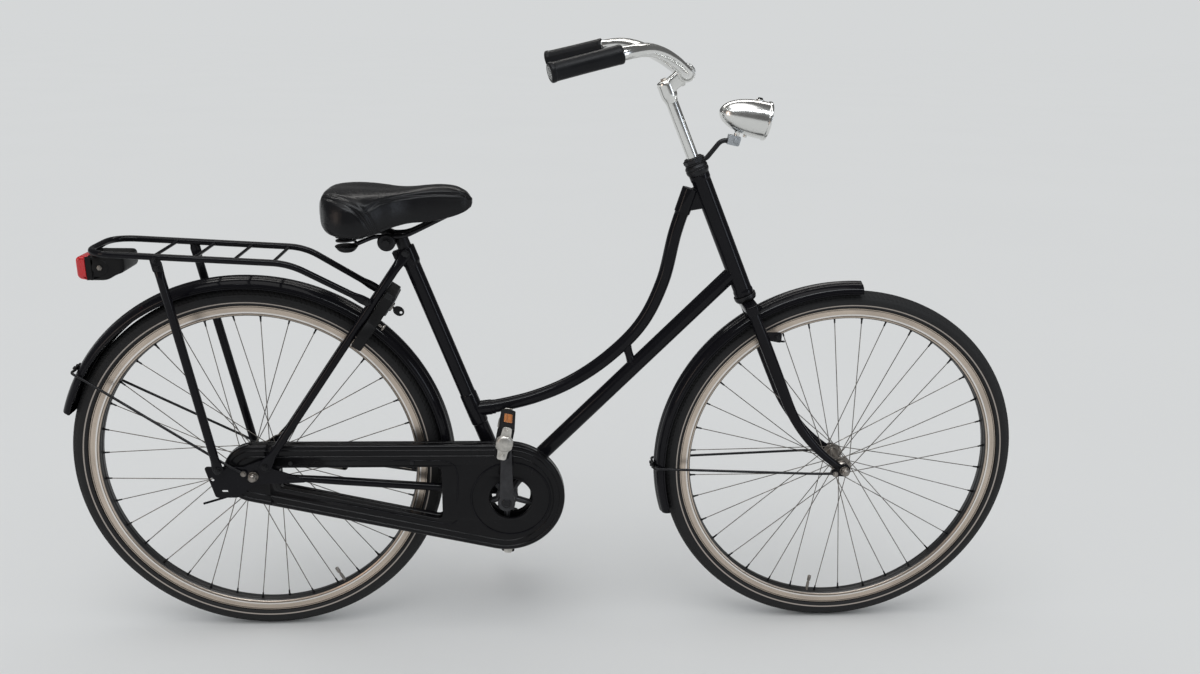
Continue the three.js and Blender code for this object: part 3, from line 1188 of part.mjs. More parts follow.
// Small bracket on the right blade
function bladeBracket() {
  const outline = roundedShape([
    [0, -TAB_HEIGHT / 2, LAP], [TAB_AHEAD, -TAB_HEIGHT, TAB_CORNER],
    [TAB_AHEAD, TAB_HEIGHT / 2, TAB_CORNER], [0, TAB_HEIGHT / 2, LAP],
  ]);
  const tab = new THREE.ExtrudeGeometry(outline, { depth: TAB_THICK, bevelEnabled: false, curveSegments: 3 });
  tab.applyMatrix4(new THREE.Matrix4().makeBasis(at(1, 0, 0), UP_AXIS, at(0, -1, 0)));
  tab.translate(...onFork(TAB_FALL, 0, -BLADE_TOP_HALF + TAB_THICK / 2).toArray());
  return tab;
}

// Ring round the steering column between two heights above the head tube
const headRing = (from, to, radius, hole, segments = FINE_SIDES) => turned([
  [hole, 0], [radius, 0], [radius, to - from], [hole, to - from], [hole, 0],
], onHead(from), headUp, segments);

const headsetLowerCup = () => turned([
  [STEERER_RADIUS + GAP, GAP], [CUP_RADIUS, GAP], [CUP_RADIUS, CROWN_TOP * 0.55],
  [CUP_RADIUS - CUP_TAPER, CROWN_TOP - GAP], [STEERER_RADIUS + GAP, CROWN_TOP - GAP],
  [STEERER_RADIUS + GAP, GAP],
], onFork(0), headUp.clone().negate());

const bracketRingTop = UPPER_CUP_HEIGHT + GAP + BRACKET_RING_THICK;
const headsetUpperCup = () => turned([
  [STEERER_RADIUS + GAP, GAP], [HEAD_TUBE_RADIUS + CUP_LIP, GAP], [CUP_RADIUS, UPPER_CUP_HEIGHT * 0.35],
  [CUP_RADIUS, UPPER_CUP_HEIGHT * 0.75], [HEAD_TUBE_RADIUS, UPPER_CUP_HEIGHT],
  [STEERER_RADIUS + GAP, UPPER_CUP_HEIGHT], [STEERER_RADIUS + GAP, GAP],
], onHead(0), headUp);
const headsetLocknut = () => headRing(bracketRingTop + GAP, LOCKNUT_TOP, LOCKNUT_RADIUS,
  clearOf(STEERER_RADIUS, 8), 8);

// Stem and handlebar
const clampCentre = onHead(STEM_RISE, STEM_REACH);

function stem() {
  const quillLength = QUILL_INSERT + STEM_RISE - STEM_HEAD_RADIUS;
  const quill = rod(onHead(-QUILL_INSERT), headUp, quillLength, QUILL_RADIUS, FINE_SIDES);
  const headCentre = onHead(STEM_RISE - STEM_HEAD_RADIUS);
  const knuckle = rod(headCentre.clone().addScaledVector(headUp, -STEM_HEAD_RADIUS), headUp,
    2 * STEM_HEAD_RADIUS, STEM_HEAD_RADIUS, TUBE_SIDES);
  const arm = tube([headCentre, clampCentre], STEM_ARM_RADIUS, TUBE_SIDES);
  const clamp = crossRod(clampCentre, -STEM_CLAMP_HALF, STEM_CLAMP_HALF, STEM_CLAMP_RADIUS, TUBE_SIDES);
  const bore = crossRod(clampCentre, -STEM_CLAMP_HALF - OVERRUN, STEM_CLAMP_HALF + OVERRUN,
    clearOf(BAR_RADIUS, TUBE_SIDES), TUBE_SIDES);
  return cut(join(quill, knuckle, arm, clamp), bore);
}

const barPoint = (side, [lateral, back, rise]) => at(clampCentre.x - back * BAR_SWEEP,
  side * lateral * BAR_HALF_WIDTH, clampCentre.z + rise * BAR_RISE);
const barEnd = (side) => barPoint(side, [1, 1, BAR_END_RISE_SHARE]);

function barRoute(side) {
  const points = BAR_SHARES.map((shares) => barPoint(side, shares));
  const curve = new THREE.CatmullRomCurve3([...points.slice(1), barEnd(side)]);
  const spans = points.length - 1;
  const rings = 8;
  const bend = Array.from({ length: rings + 1 }, (_, index) => curve.getPoint(
    (index / rings) * ((spans - 1) / spans)));
  return [points[0], ...bend];
}

const gripStart = (side) => barPoint(side, BAR_SHARES.at(-1));
const gripAlong = (side) => barEnd(side).sub(gripStart(side)).normalize();

function handlebar() {
  const stop = (side) => barEnd(side).addScaledVector(gripAlong(side), -GRIP_END_WALL - GAP);
  const right = [...barRoute(-1), stop(-1)];
  const left = [...barRoute(1), stop(1)];
  return tube([...left.reverse(), ...right.slice(1)], BAR_RADIUS, 10);
}

function grip(side) {
  const end = barEnd(side);
  const back = gripAlong(side).negate();
  const hole = clearOf(BAR_RADIUS, TUBE_SIDES);
  return turned([
    [0, 0], [GRIP_RADIUS - GRIP_EDGE, 0], [GRIP_RADIUS, GRIP_EDGE], [GRIP_RADIUS, GRIP_COLLAR],
    [GRIP_RADIUS - GRIP_COLLAR_STEP, GRIP_COLLAR_END], [GRIP_RADIUS - GRIP_COLLAR_STEP, GRIP_LENGTH],
    [hole, GRIP_LENGTH], [hole, GRIP_END_WALL], [0, GRIP_END_WALL],
  ], end, back, TUBE_SIDES);
}

// Headlamp on its bracket
const lampPivot = onHead(0).add(at(LAMP_PIVOT_AHEAD, 0, LAMP_PIVOT_RISE));
const lampForward = at(Math.cos(radians(LAMP_DIP)), 0, -Math.sin(radians(LAMP_DIP)));
const lampUp = at(Math.sin(radians(LAMP_DIP)), 0, Math.cos(radians(LAMP_DIP)));
const lampTail = lampPivot.clone().addScaledVector(lampForward, -LAMP_PIVOT_BACK)
  .addScaledVector(lampUp, LAMP_PIVOT_DROP);
const onLamp = (along, up) => lampTail.clone().addScaledVector(lampForward, along)
  .addScaledVector(lampUp, up);

function lampShell() {
  const outer = LAMP_SHARES.map(([along, radius]) => [radius * LAMP_RADIUS, along * LAMP_LENGTH]);
  const bead = [
    [LAMP_RADIUS + LAMP_BEAD, LAMP_LENGTH - LAMP_BEAD_LENGTH], [LAMP_RADIUS + LAMP_BEAD, LAMP_LENGTH],
  ];
  const inner = LAMP_SHARES.slice(1).reverse().map(([along, radius]) => [radius * LAMP_RADIUS - LAMP_WALL,
    along * LAMP_LENGTH + (along < 1 ? LAMP_WALL : 0)]);
  const rimFoot = [LAMP_RADIUS - GAP, LAMP_LENGTH - LAMP_BEAD_LENGTH];
  const profile = [...outer.slice(0, -1), rimFoot, ...bead, ...inner, [0, 2 * LAMP_WALL]];
  const shell = turned(profile, lampTail, lampForward, HUB_SIDES);
  const lug = crossRod(lampPivot, -LAMP_LUG_HALF, LAMP_LUG_HALF, LAMP_LUG_RADIUS, TUBE_SIDES);
  const neck = rod(lampPivot, lampUp, LAMP_PIVOT_DROP - LAMP_RADIUS * LAMP_NECK_SHARE,
    LAMP_LUG_HALF, COARSE_SIDES);
  const buttonHole = rod(onLamp(LAMP_LENGTH - BUTTON_BACK, 0), lampUp, 2 * LAMP_RADIUS,
    BUTTON_RADIUS + GAP, TUBE_SIDES);
  const pinHole = crossRod(lampPivot, -LAMP_LUG_RADIUS, LAMP_LUG_RADIUS,
    clearOf(LAMP_PIN_RADIUS, COARSE_SIDES), COARSE_SIDES);
  return cut(join(shell, lug, neck), buttonHole, pinHole);
}

function lampLens() {
  const radius = LAMP_RADIUS - LAMP_WALL - 2 * GAP;
  const back = LAMP_LENGTH - LENS_SEAT;
  return turned([
    [0, 0], [radius * 0.97, 0], [radius * 0.995, LENS_SEAT], [radius * 0.7, LENS_SEAT + LENS_DOME * 0.6],
    [radius * 0.35, LENS_SEAT + LENS_DOME * 0.9], [0, LENS_SEAT + LENS_DOME],
  ], onLamp(back, 0), lampForward, HUB_SIDES);
}

const buttonFoot = () => onLamp(LAMP_LENGTH - BUTTON_BACK, LAMP_RADIUS - 2 * LAMP_WALL - GAP);
const lampButton = () => turned([
  [0, 0], [BUTTON_RADIUS, 0], [BUTTON_RADIUS, BUTTON_HEIGHT + LAMP_WALL],
  [BUTTON_RADIUS - BUTTON_EDGE, BUTTON_HEIGHT + 2 * LAMP_WALL], [0, BUTTON_HEIGHT + 2 * LAMP_WALL],
], buttonFoot(), lampUp, TUBE_SIDES);

function lampBracket() {
  const ring = headRing(UPPER_CUP_HEIGHT + GAP, bracketRingTop, LOCKNUT_RADIUS,
    clearOf(STEERER_RADIUS, FINE_SIDES));
  const height = UPPER_CUP_HEIGHT + GAP + BRACKET_RING_THICK / 2;
  const start = onHead(height, LOCKNUT_RADIUS - 2 * LAP);
  const knee = onHead(0).add(at(LAMP_PIVOT_AHEAD - LAMP_ARM_KNEE_BACK, 0, LAMP_PIVOT_RISE));
  const cheekFrom = LAMP_LUG_HALF + 2 * GAP;
  const stop = lampPivot.clone().add(at(-LAMP_LUG_RADIUS, 0, 0));
  const bend = onHead(height, LOCKNUT_RADIUS + LAMP_ARM_RADIUS);
  const arm = tube(roundedRoute([start, bend, knee, stop], LAMP_ARM_RADIUS * 2, 3),
    LAMP_ARM_RADIUS, COARSE_SIDES);
  const yoke = crossRod(lampPivot, -cheekFrom - LAMP_CHEEK, cheekFrom + LAMP_CHEEK,
    LAMP_LUG_RADIUS + YOKE_WALL, TUBE_SIDES);
  const slot = crossRod(lampPivot, -cheekFrom, cheekFrom, LAMP_LUG_RADIUS + YOKE_PLAY, TUBE_SIDES);
  const throat = rod(lampPivot, lampUp, 3 * LAMP_LUG_RADIUS, cheekFrom, TUBE_SIDES);
  const wedge = new THREE.Shape(NECK_SWING_SHARES.map(([ahead, rise]) => new THREE.Vector2(
    lampPivot.x + ahead * LAMP_LUG_RADIUS, lampPivot.z + rise * LAMP_LUG_RADIUS)));
  const swing = plate(wedge, -cheekFrom, cheekFrom);
  const pin = crossRod(lampPivot, -cheekFrom - LAP, cheekFrom + LAP, LAMP_PIN_RADIUS, COARSE_SIDES);
  const column = rod(onHead(0), headUp, LOCKNUT_TOP + OVERRUN, STEERER_RADIUS + GAP);
  const nutRoom = rod(onHead(bracketRingTop + GAP / 2), headUp, 2 * OVERRUN,
    LOCKNUT_RADIUS + GAP, TUBE_SIDES);
  const cupRoom = rod(onHead(UPPER_CUP_HEIGHT - 2 * OVERRUN), headUp, 2 * OVERRUN + GAP / 2,
    CUP_RADIUS + GAP);
  return join(cut(join(arm, yoke), slot, throat, swing, column, nutRoom, cupRoom), ring, pin);
}

// Fender: an arched section swept round the wheel, with a ring of its own at each seat
function fender(centre, radius, half, from, to, steps, seats) {
  const arch = 4;
  const line = (wall) => Array.from({ length: arch + 1 }, (_, index) => {
    const angle = Math.PI * (index / arch);
    return [radius - wall - FENDER_DEPTH * (1 - Math.sin(angle)), -(half - wall) * Math.cos(angle)];
  });
  const outerLine = line(0);
  const innerLine = line(FENDER_WALL).reverse();
  innerLine[0][0] = outerLine.at(-1)[0];
  innerLine.at(-1)[0] = outerLine[0][0];
  const profile = [...outerLine, ...innerLine];
  const even = Array.from({ length: steps + 1 }, (_, index) => THREE.MathUtils.lerp(from, to, index / steps));
  const rings = [...even, ...seats].sort((one, other) => one - other).map((degrees) => {
    const angle = radians(degrees);
    return profile.map(([distance, side]) => at(centre.x + distance * Math.cos(angle), side,
      centre.z + distance * Math.sin(angle)));
  });
  return skin(rings);
}

// Wire stay: from one axle end round the outside of the fender to the other
function fenderStay(centre, radius, half, angle, eye, eyeSide) {
  const direction = at(Math.cos(radians(angle)), 0, Math.sin(radians(angle)));
  const clear = GAP + STAY_WIRE_RADIUS;
  const outer = centre.clone().addScaledVector(direction, radius + clear);
  const flank = centre.clone().addScaledVector(direction, radius - FENDER_DEPTH);
  const side = half + clear;
  const end = centre.clone().add(eye);
  const points = [-1, 1].map((sign) => [
    end.clone().setY(sign * eyeSide), end.clone().lerp(flank, STAY_STRAIGHT_SHARE).setY(sign * eyeSide),
    flank.clone().setY(sign * side), outer.clone().setY(sign * side),
  ]);
  const route = roundedRoute([...points[0], ...points[1].reverse()], STAY_CORNER, 2);
  return tube(route, STAY_WIRE_RADIUS, 6);
}

const rearFenderStay = () => fenderStay(rearAxle, REAR_FENDER_RADIUS, FENDER_HALF, REAR_STAY_ANGLE,
  at(-STAY_END_BACK, 0, STAY_END_RISE), DROPOUT_INNER + DROPOUT_THICK + GAP + STAY_WIRE_RADIUS);
const frontFenderStay = () => fenderStay(frontAxle, FRONT_FENDER_RADIUS, FRONT_FENDER_HALF, FRONT_STAY_ANGLE,
  at(-FRONT_STAY_BACK, 0, -FRONT_STAY_FALL),
  FORK_END_INNER + FORK_END_THICK + GAP + STAY_WIRE_RADIUS);

// Seat post and saddle
const postTop = onSeat(POST_STAND);
const saddlePivot = postTop.clone().add(at(-PIVOT_BACK, 0, -BARREL_RADIUS / 2));
const onSaddle = (ahead, side, rise) => saddlePivot.clone().add(at(ahead, side, rise));

function seatPost() {
  const post = rod(onSeat(-POST_INSERT), seatUp, POST_INSERT + POST_STAND, POST_RADIUS, FINE_SIDES);
  const arm = tube([postTop.clone().addScaledVector(seatUp, -BARREL_RADIUS), saddlePivot],
    BARREL_RADIUS * 0.8, TUBE_SIDES);
  const barrel = crossRod(saddlePivot, -BARREL_HALF, BARREL_HALF, BARREL_RADIUS, TUBE_SIDES);
  const bore = crossRod(saddlePivot, -BARREL_HALF - OVERRUN, BARREL_HALF + OVERRUN,
    clearOf(CLAMP_BOLT_RADIUS, TUBE_SIDES), TUBE_SIDES);
  return cut(join(post, arm, barrel), bore);
}

// The springs stand on plates over the tails of the rails and carry the hollow underside of the cushion
const springFoot = -RAIL_TAIL_DROP + RAIL_RADIUS + SPRING_PLATE_THICK / 2 + GAP;
const springHeight = CUSHION_BASE - springFoot - GAP;

const railRoute = (side) => [
  onSaddle(-SPRING_BACK, side * SPRING_HALF, -RAIL_TAIL_DROP),
  onSaddle(-2 * CLAMP_RADIUS, side * RAIL_HALF * 1.3, RAIL_OVER_PIVOT - RAIL_RADIUS),
  onSaddle(-CLAMP_RADIUS - RAIL_BEND_LEAD, side * RAIL_HALF, RAIL_OVER_PIVOT),
  onSaddle(2 * CLAMP_RADIUS, side * RAIL_HALF, RAIL_OVER_PIVOT),
  onSaddle(RAIL_NOSE_AHEAD, side * RAIL_HALF * 0.55, RAIL_NOSE_RISE),
];

function saddleRails() {
  const route = roundedRoute([...railRoute(-1), ...railRoute(1).reverse()], RAIL_RADIUS * 3, 2);
  const plates = [-1, 1].map((side) => rod(onSaddle(-SPRING_BACK, side * SPRING_HALF, springFoot - GAP),
    UP_AXIS, -SPRING_PLATE_THICK, SPRING_PLATE_RADIUS, TUBE_SIDES));
  return join(tube(route, RAIL_RADIUS, COARSE_SIDES), ...plates);
}

function saddleClamp() {
  const cheeks = [-1, 1].map((side) => crossRod(saddlePivot, side * (BARREL_HALF + GAP),
    side * CLAMP_OUTER, CLAMP_RADIUS, TUBE_SIDES));
  const bolt = crossRod(saddlePivot, -CLAMP_OUTER, CLAMP_OUTER, CLAMP_BOLT_RADIUS, COARSE_SIDES);
  const reach = CLAMP_RADIUS + 2 * RAIL_BEND_LEAD;
  const rails = [-1, 1].map((side) => tube([-reach, reach].map(
    (ahead) => onSaddle(ahead, side * RAIL_HALF, RAIL_OVER_PIVOT)), RAIL_RADIUS + 2 * GAP, TUBE_SIDES));
  return cut(join(...cheeks, bolt), ...rails);
}

// Saddle spring: one unbroken helix with straight ends
function springRoute(side) {
  const steps = 8;
  const count = SPRING_CURLS * steps;
  const lead = 2 * SPRING_WIRE;
  const rise = springHeight - 2 * lead;
  const centre = onSaddle(-SPRING_BACK, side * SPRING_HALF, springFoot);
  const coil = Array.from({ length: count + 1 }, (_, index) => {
    const angle = (2 * Math.PI * index) / steps;
    return centre.clone().add(at(SPRING_RADIUS * Math.cos(angle), SPRING_RADIUS * Math.sin(angle),
      lead + (rise * index) / count));
  });
  const foot = coil[0].clone().setZ(centre.z);
  const head = coil.at(-1).clone().setZ(centre.z + springHeight);
  return [foot, ...coil, head];
}

// Least gap between two turns of a spring, surface to surface
function springSelfGap(route) {
  let least = Infinity;
  route.forEach((one, first) => route.slice(first + 6).forEach((other) => {
    least = Math.min(least, one.distanceTo(other) - 2 * SPRING_WIRE);
  }));
  return least;
}

const saddleSpring = (side) => tube(springRoute(side), SPRING_WIRE, 5);

// Saddle cushion: crowned cross sections with drawn-in sides and a hollow underside
function saddleCover() {
  const rings = SADDLE_SHARES.map(([run, width, top, hem, hollow]) => {
    const x = -SADDLE_REAR_BACK + run * SADDLE_LENGTH;
    const half = width * SADDLE_HALF;
    const crown = top * SADDLE_TOP;
    const low = hem * SADDLE_TOP;
    const ceiling = Math.max(CUSHION_BASE, hollow * SADDLE_TOP);
    const wall = Math.min(SKIRT_WALL, half * 0.45);
    const side = FLANK_SHARES.map(([across, up]) => [across * half, low + up * (crown - low)]);
    const under = [[0.94 * half - wall, low + HEM_LIFT], [0.92 * half - wall, ceiling]];
    const right = [...under.slice().reverse(), ...side];
    const left = right.slice().reverse().map(([across, up]) => [-across, up]);
    return [...right, [0, crown], ...left].map(([across, up]) => onSaddle(x, across, up));
  });
  return skin(rings);
}

// Carrier
const rackFoot = stayLow.clone().lerp(stayKnee, RACK_FOOT_SHARE)
  .add(at(0, -RACK_FOOT_BESIDE, RACK_FOOT_OVER));

function rackFrame() {
  const half = (side) => [
    at(rackFoot.x, -side * rackFoot.y, rackFoot.z),
    at(RACK_BEND_AHEAD, side * RACK_HALF, TYRE_RADIUS + RACK_BEND_RISE),
    at(-RACK_BACK, side * RACK_HALF, TYRE_RADIUS + RACK_REAR_RISE),
  ];
  const [right, left] = [half(-1), half(1)];
  const bendEnd = right[2].clone().lerp(right[1], RACK_BEND_END_SHARE);
  const bend = roundedRoute([right[0], right[1], bendEnd], RACK_BEND_CORNER, 3);
  const loopEnd = bend.at(-1).clone().setY(RACK_HALF);
  const loop = roundedRoute([bend.at(-1), right[2], left[2], loopEnd], RACK_CORNER, 3);
  const back = bend.slice(0, -1).map((point) => at(point.x, -point.y, point.z)).reverse();
  const main = tube([...bend.slice(0, -1), ...loop, ...back], RACK_RADIUS, 8);
  const bars = Array.from({ length: CROSS_BARS }, (_, index) => {
    const x = -CROSS_BAR_FIRST + index * CROSS_BAR_STEP;
    return crossRod(at(x, 0, railHeight(x)), -RACK_HALF, RACK_HALF, CROSS_BAR_RADIUS, 6);
  });
  const stays = [-1, 1].map((side) => stayClearance(side));
  return cut(join(main, ...bars), ...stays);
}

const railHeight = (x) => TYRE_RADIUS + THREE.MathUtils.mapLinear(
  x, RACK_BEND_AHEAD, -RACK_BACK, RACK_BEND_RISE, RACK_REAR_RISE);
const stayClearance = (side) => tube([stayLow, stayKnee].map(
  (point) => at(point.x, -side * point.y, point.z)), SEATSTAY_RADIUS + GAP);

function rackLeg(side) {
  const right = side < 0;
  const topBack = right ? LEG_TOP_BACK_RIGHT : LEG_TOP_BACK_LEFT;
  const footBack = right ? LEG_FOOT_BACK_RIGHT : LEG_FOOT_BACK_LEFT;
  const footRise = right ? LEG_FOOT_RISE_RIGHT : LEG_FOOT_RISE_LEFT;
  const top = at(-topBack, side * LEG_TOP_HALF, railHeight(-topBack));
  const foot = at(-footBack, side * LEG_FOOT_HALF, TYRE_RADIUS + footRise);
  const up = top.clone().sub(foot).normalize();
  top.addScaledVector(up, -CROSS_BAR_RADIUS - GAP);
  const points = [-LEG_BOSS_RADIUS - LEG_EYE_LIP, LEG_FLAT_LENGTH, 2 * LEG_FLAT_LENGTH]
    .map((along) => foot.clone().addScaledVector(up, along)).concat(top);
  const r = LEG_RADIUS;
  const leg = taperedTube(points, [r, r + LEG_EYE_LIP, r, r], [LEG_FLAT_HALF, LEG_FLAT_HALF, r, r]);
  const seat = side * (DROPOUT_INNER + DROPOUT_THICK + GAP);
  const boss = crossRod(foot, seat, side * (LEG_FOOT_HALF + LEG_FLAT_HALF + LEG_BOSS_HEAD),
    LEG_BOSS_RADIUS, COARSE_SIDES);
  const railEnds = [RACK_BEND_AHEAD, -RACK_BACK].map((x) => at(x, side * RACK_HALF, railHeight(x)));
  return cut(join(leg, boss), tube(railEnds, clearOf(RACK_RADIUS, TUBE_SIDES), TUBE_SIDES));
}

// Rear light, hung under the back of the carrier
const lightTop = () => railHeight(-RACK_BACK) - RACK_RADIUS - LIGHT_DROP;

function rearLightHousing() {
  const top = lightTop();
  const back = -LIGHT_BACK + LENS_DEPTH + GAP;
  const front = back + HOUSING_LENGTH;
  const shape = roundedShape([
    [back, top - LIGHT_HEIGHT, LIGHT_EDGE], [back + HOUSING_LENGTH * 0.45, top - LIGHT_HEIGHT, LIGHT_CORNER],
    [front, top - LIGHT_HEIGHT * 0.5, LIGHT_CORNER], [front, top, LIGHT_CORNER], [back, top, LIGHT_EDGE],
  ]);
  const body = plate(shape, -LIGHT_HALF, LIGHT_HALF, 3);
  const boss = rod(at(-RACK_BACK, 0, top - LAP), UP_AXIS, LIGHT_DROP + LAP - GAP * 1.5,
    LIGHT_BOSS_HALF / 2, COARSE_SIDES);
  return join(body, boss);
}

function rearLightLens() {
  const top = lightTop();
  const shape = roundedShape([
    [-LIGHT_BACK, top - LIGHT_HEIGHT + LIGHT_EDGE, LIGHT_CORNER],
    [-LIGHT_BACK + LENS_DEPTH, top - LIGHT_HEIGHT, LIGHT_EDGE],
    [-LIGHT_BACK + LENS_DEPTH, top, LIGHT_EDGE], [-LIGHT_BACK, top - LIGHT_EDGE, LIGHT_CORNER],
  ]);
  return plate(shape, -LIGHT_HALF, LIGHT_HALF, 4);
}

// Ring lock: its plane holds the stay direction and the side axis
const lockBack = SEATSTAY_RADIUS + LOCK_STANDOFF;
const lockBase = rearAxle.clone().addScaledVector(stayUp, LOCK_CENTRE)
  .addScaledVector(stayForward, stayOffset + lockBack);
const lockMatrix = (depth) => new THREE.Matrix4().makeBasis(SIDE_AXIS, stayUp, stayForward)
  .setPosition(lockBase.clone().addScaledVector(stayForward, depth));
const onLock = (side, up, depth) => at(side, up, 0).applyMatrix4(lockMatrix(depth));

function lockPlate(shape, from, to, curveSegments = 12) {
  const geometry = new THREE.ExtrudeGeometry(shape, { depth: to - from, bevelEnabled: false, curveSegments });
  geometry.applyMatrix4(lockMatrix(from));
  return geometry;
}

function arcPoints(radius, from, to, steps) {
  return Array.from({ length: steps + 1 }, (_, index) => {
    const angle = radians(from + ((to - from) * index) / steps);
    return new THREE.Vector2(radius * Math.cos(angle), radius * Math.sin(angle));
  });
}

const sector = (inner, outer, from, to, steps) => new THREE.Shape([
  ...arcPoints(outer, from, to, steps), ...arcPoints(inner, to, from, steps)]);

const boltMiddle = LOCK_THICK / 2;
const leverAngle = () => -LOCK_ARM_DROP_ANGLE + BOLT_END_ANGLE + BOLT_ARC - LEVER_BACK_ANGLE;

function lockBody() {
  const drop = LOCK_ARM_DROP_ANGLE;
  const [half, top] = [LOCK_BLOCK_HALF, LOCK_BLOCK_TOP];
  const block = [
    [half, top - LOCK_CORNER], [half - LOCK_CORNER, top],
    [-half + LOCK_CORNER, top], [-half, top - LOCK_CORNER],
  ].map(([x, y]) => new THREE.Vector2(x, y));
  const shoulder = THREE.MathUtils.radToDeg(Math.acos(LOCK_BLOCK_HALF / LOCK_OUTER));
  const shape = new THREE.Shape([
    ...arcPoints(LOCK_OUTER, -drop, shoulder, 4), ...block,
    ...arcPoints(LOCK_OUTER, HALF_TURN - shoulder, HALF_TURN + drop, 4),
    ...arcPoints(LOCK_INNER, HALF_TURN + drop, -drop, 14),
  ]);
  const body = lockPlate(shape, 0, LOCK_THICK);
  const channel = lockPlate(sector(BOLT_RING - BOLT_CHANNEL, BOLT_RING + BOLT_CHANNEL,
    -drop - CHANNEL_OVERRUN_ANGLE, HALF_TURN + drop + CHANNEL_OVERRUN_ANGLE, 12),
  boltMiddle - BOLT_CHANNEL, boltMiddle + BOLT_CHANNEL);
  const slotEnd = leverAngle();
  const slot = lockPlate(sector(BOLT_RING - LEVER_HALF - LOCK_PLAY, BOLT_RING + LEVER_HALF + LOCK_PLAY,
    slotEnd - LEVER_TRAVEL - SLOT_LEAD_ANGLE, slotEnd + SLOT_TAIL_ANGLE, 8),
  boltMiddle, LOCK_THICK + OVERRUN);
  const keyHole = rod(onLock(-KEY_OFFSET, KEY_RISE, LOCK_THICK - KEY_SHAFT - GAP), stayForward,
    KEY_SHAFT + OVERRUN, KEY_SOCKET_RADIUS, COARSE_SIDES);
  return cut(body, channel, slot, keyHole);
}

function lockBolt() {
  const steps = 14;
  const start = -LOCK_ARM_DROP_ANGLE + BOLT_END_ANGLE;
  const rings = Array.from({ length: steps + 1 }, (_, index) => {
    const angle = radians(start + (BOLT_ARC * index) / steps);
    return onLock(BOLT_RING * Math.cos(angle), BOLT_RING * Math.sin(angle), boltMiddle);
  });
  const lever = radians(leverAngle());
  const leverFoot = onLock(BOLT_RING * Math.cos(lever), BOLT_RING * Math.sin(lever), boltMiddle);
  const stalk = rod(leverFoot, stayForward, boltMiddle + LEVER_STAND, LEVER_HALF, COARSE_SIDES);
  return join(tube(rings, BOLT_RADIUS, 8), stalk);
}

function lockKey() {
  const foot = onLock(-KEY_OFFSET, KEY_RISE, LOCK_THICK - KEY_SHAFT);
  const shaft = rod(foot, stayForward, KEY_SHAFT + KEY_STAND + 2 * LAP, KEY_SHAFT_RADIUS, COARSE_SIDES);
  const bowDepth = LOCK_THICK + KEY_STAND + KEY_BOW_RADIUS * 0.9;
  const bow = rod(onLock(-KEY_OFFSET + KEY_BOW_THICK / 2, KEY_RISE, bowDepth),
    at(0, -1, 0), KEY_BOW_THICK, KEY_BOW_RADIUS, TUBE_SIDES);
  return join(shaft, bow);
}

// Assembly: the frame stands still, the steering, wheels, cranks and saddle are groups of their own
const frame = new THREE.Group();
frame.add(
  named('head_tube', headTube(), blackPaint),
  named('top_tube', topTube(), blackPaint),
  named('down_tube', downTube(), blackPaint),
  named('seat_tube', seatTube(), blackPaint),
  named('chainstay_right', chainstay(-1), blackPaint),
  named('chainstay_left', chainstay(1), blackPaint),
  named('seatstay_right', seatstay(-1), blackPaint),
  named('seatstay_left', seatstay(1), blackPaint),
  named('headset_lower_cup', headsetLowerCup(), darkSteel),
  named('headset_upper_cup', headsetUpperCup(), darkSteel),
  named('chain', chain(), steel),
  named('chain_case_outer', chainCaseOuter(), caseBlack),
  named('chain_case_inner', chainCaseInner(), caseBlack),
  named('chain_case_nose', chainCaseNose(), caseBlack),
  named('rear_axle', rearAxleSolid(), steel),
  named('brake_arm', brakeArm(), steel),
  named('rear_fender', fender(rearAxle, REAR_FENDER_RADIUS, FENDER_HALF, REAR_FENDER_FROM, REAR_FENDER_TO, 16,
    [REAR_STAY_ANGLE, bridgeAngle]), blackPaint),
  named('rear_fender_stay', rearFenderStay(), darkSteel),
  named('rack_frame', rackFrame(), blackPaint),
  named('rack_leg_right', rackLeg(-1), blackPaint),
  named('rack_leg_left', rackLeg(1), blackPaint),
  named('rear_light_housing', rearLightHousing(), plastic),
  named('rear_light_lens', rearLightLens(), redLens),
  named('lock_body', lockBody(), lockGrey),
  named('lock_bolt', lockBolt(), steel),
  named('lock_key', lockKey(), plastic),
);

const rearWheel = new THREE.Group();
rearWheel.add(
  named('rear_tyre', tyre(rearAxle), blackRubber),
  named('rear_rim', rim(rearAxle), rimSteel),
  named('rear_hub', rearHub(), steel),
);

const drive = new THREE.Group();
drive.add(
  named('rear_sprocket', rearSprocket(), steel),
  named('crank_axle', crankAxle(), steel),
  named('chainring', chainring(), darkSteel),
  named('crank_right', crank(-1), darkSteel),
  named('crank_left', crank(1), darkSteel),
  named('pedal_right', pedal(-1, PEDAL_REST_TILT), plastic),
  named('pedal_left', pedal(1, PEDAL_LEFT_TILT), plastic),
);

const steering = new THREE.Group();
steering.add(
  named('fork_crown', forkCrown(), blackPaint),
  named('fork_blade_right', forkBlade(-1), blackPaint),
  named('fork_blade_left', forkBlade(1), blackPaint),
  named('front_fender', fender(frontAxle, FRONT_FENDER_RADIUS, FRONT_FENDER_HALF, FRONT_FENDER_FROM,
    FRONT_FENDER_TO, 12, [FRONT_STAY_ANGLE, crownAngle]), blackPaint),
  named('front_fender_stay', frontFenderStay(), darkSteel),
  named('front_axle', frontAxleSolid(), steel),
  named('headset_locknut', headsetLocknut(), darkSteel),
  named('stem', stem(), chrome),
  named('handlebar', handlebar(), chrome),
  named('grip_right', grip(-1), gripRubber),
  named('grip_left', grip(1), gripRubber),
  named('lamp_bracket', lampBracket(), darkSteel),
  named('lamp_shell', lampShell(), chrome),
  named('lamp_lens', lampLens(), clearLens),
  named('lamp_button', lampButton(), plastic),
);

const frontWheel = new THREE.Group();
frontWheel.add(
  named('front_tyre', tyre(frontAxle), blackRubber),
  named('front_rim', rim(frontAxle), rimSteel),
  named('front_hub', frontHub(), steel),
);

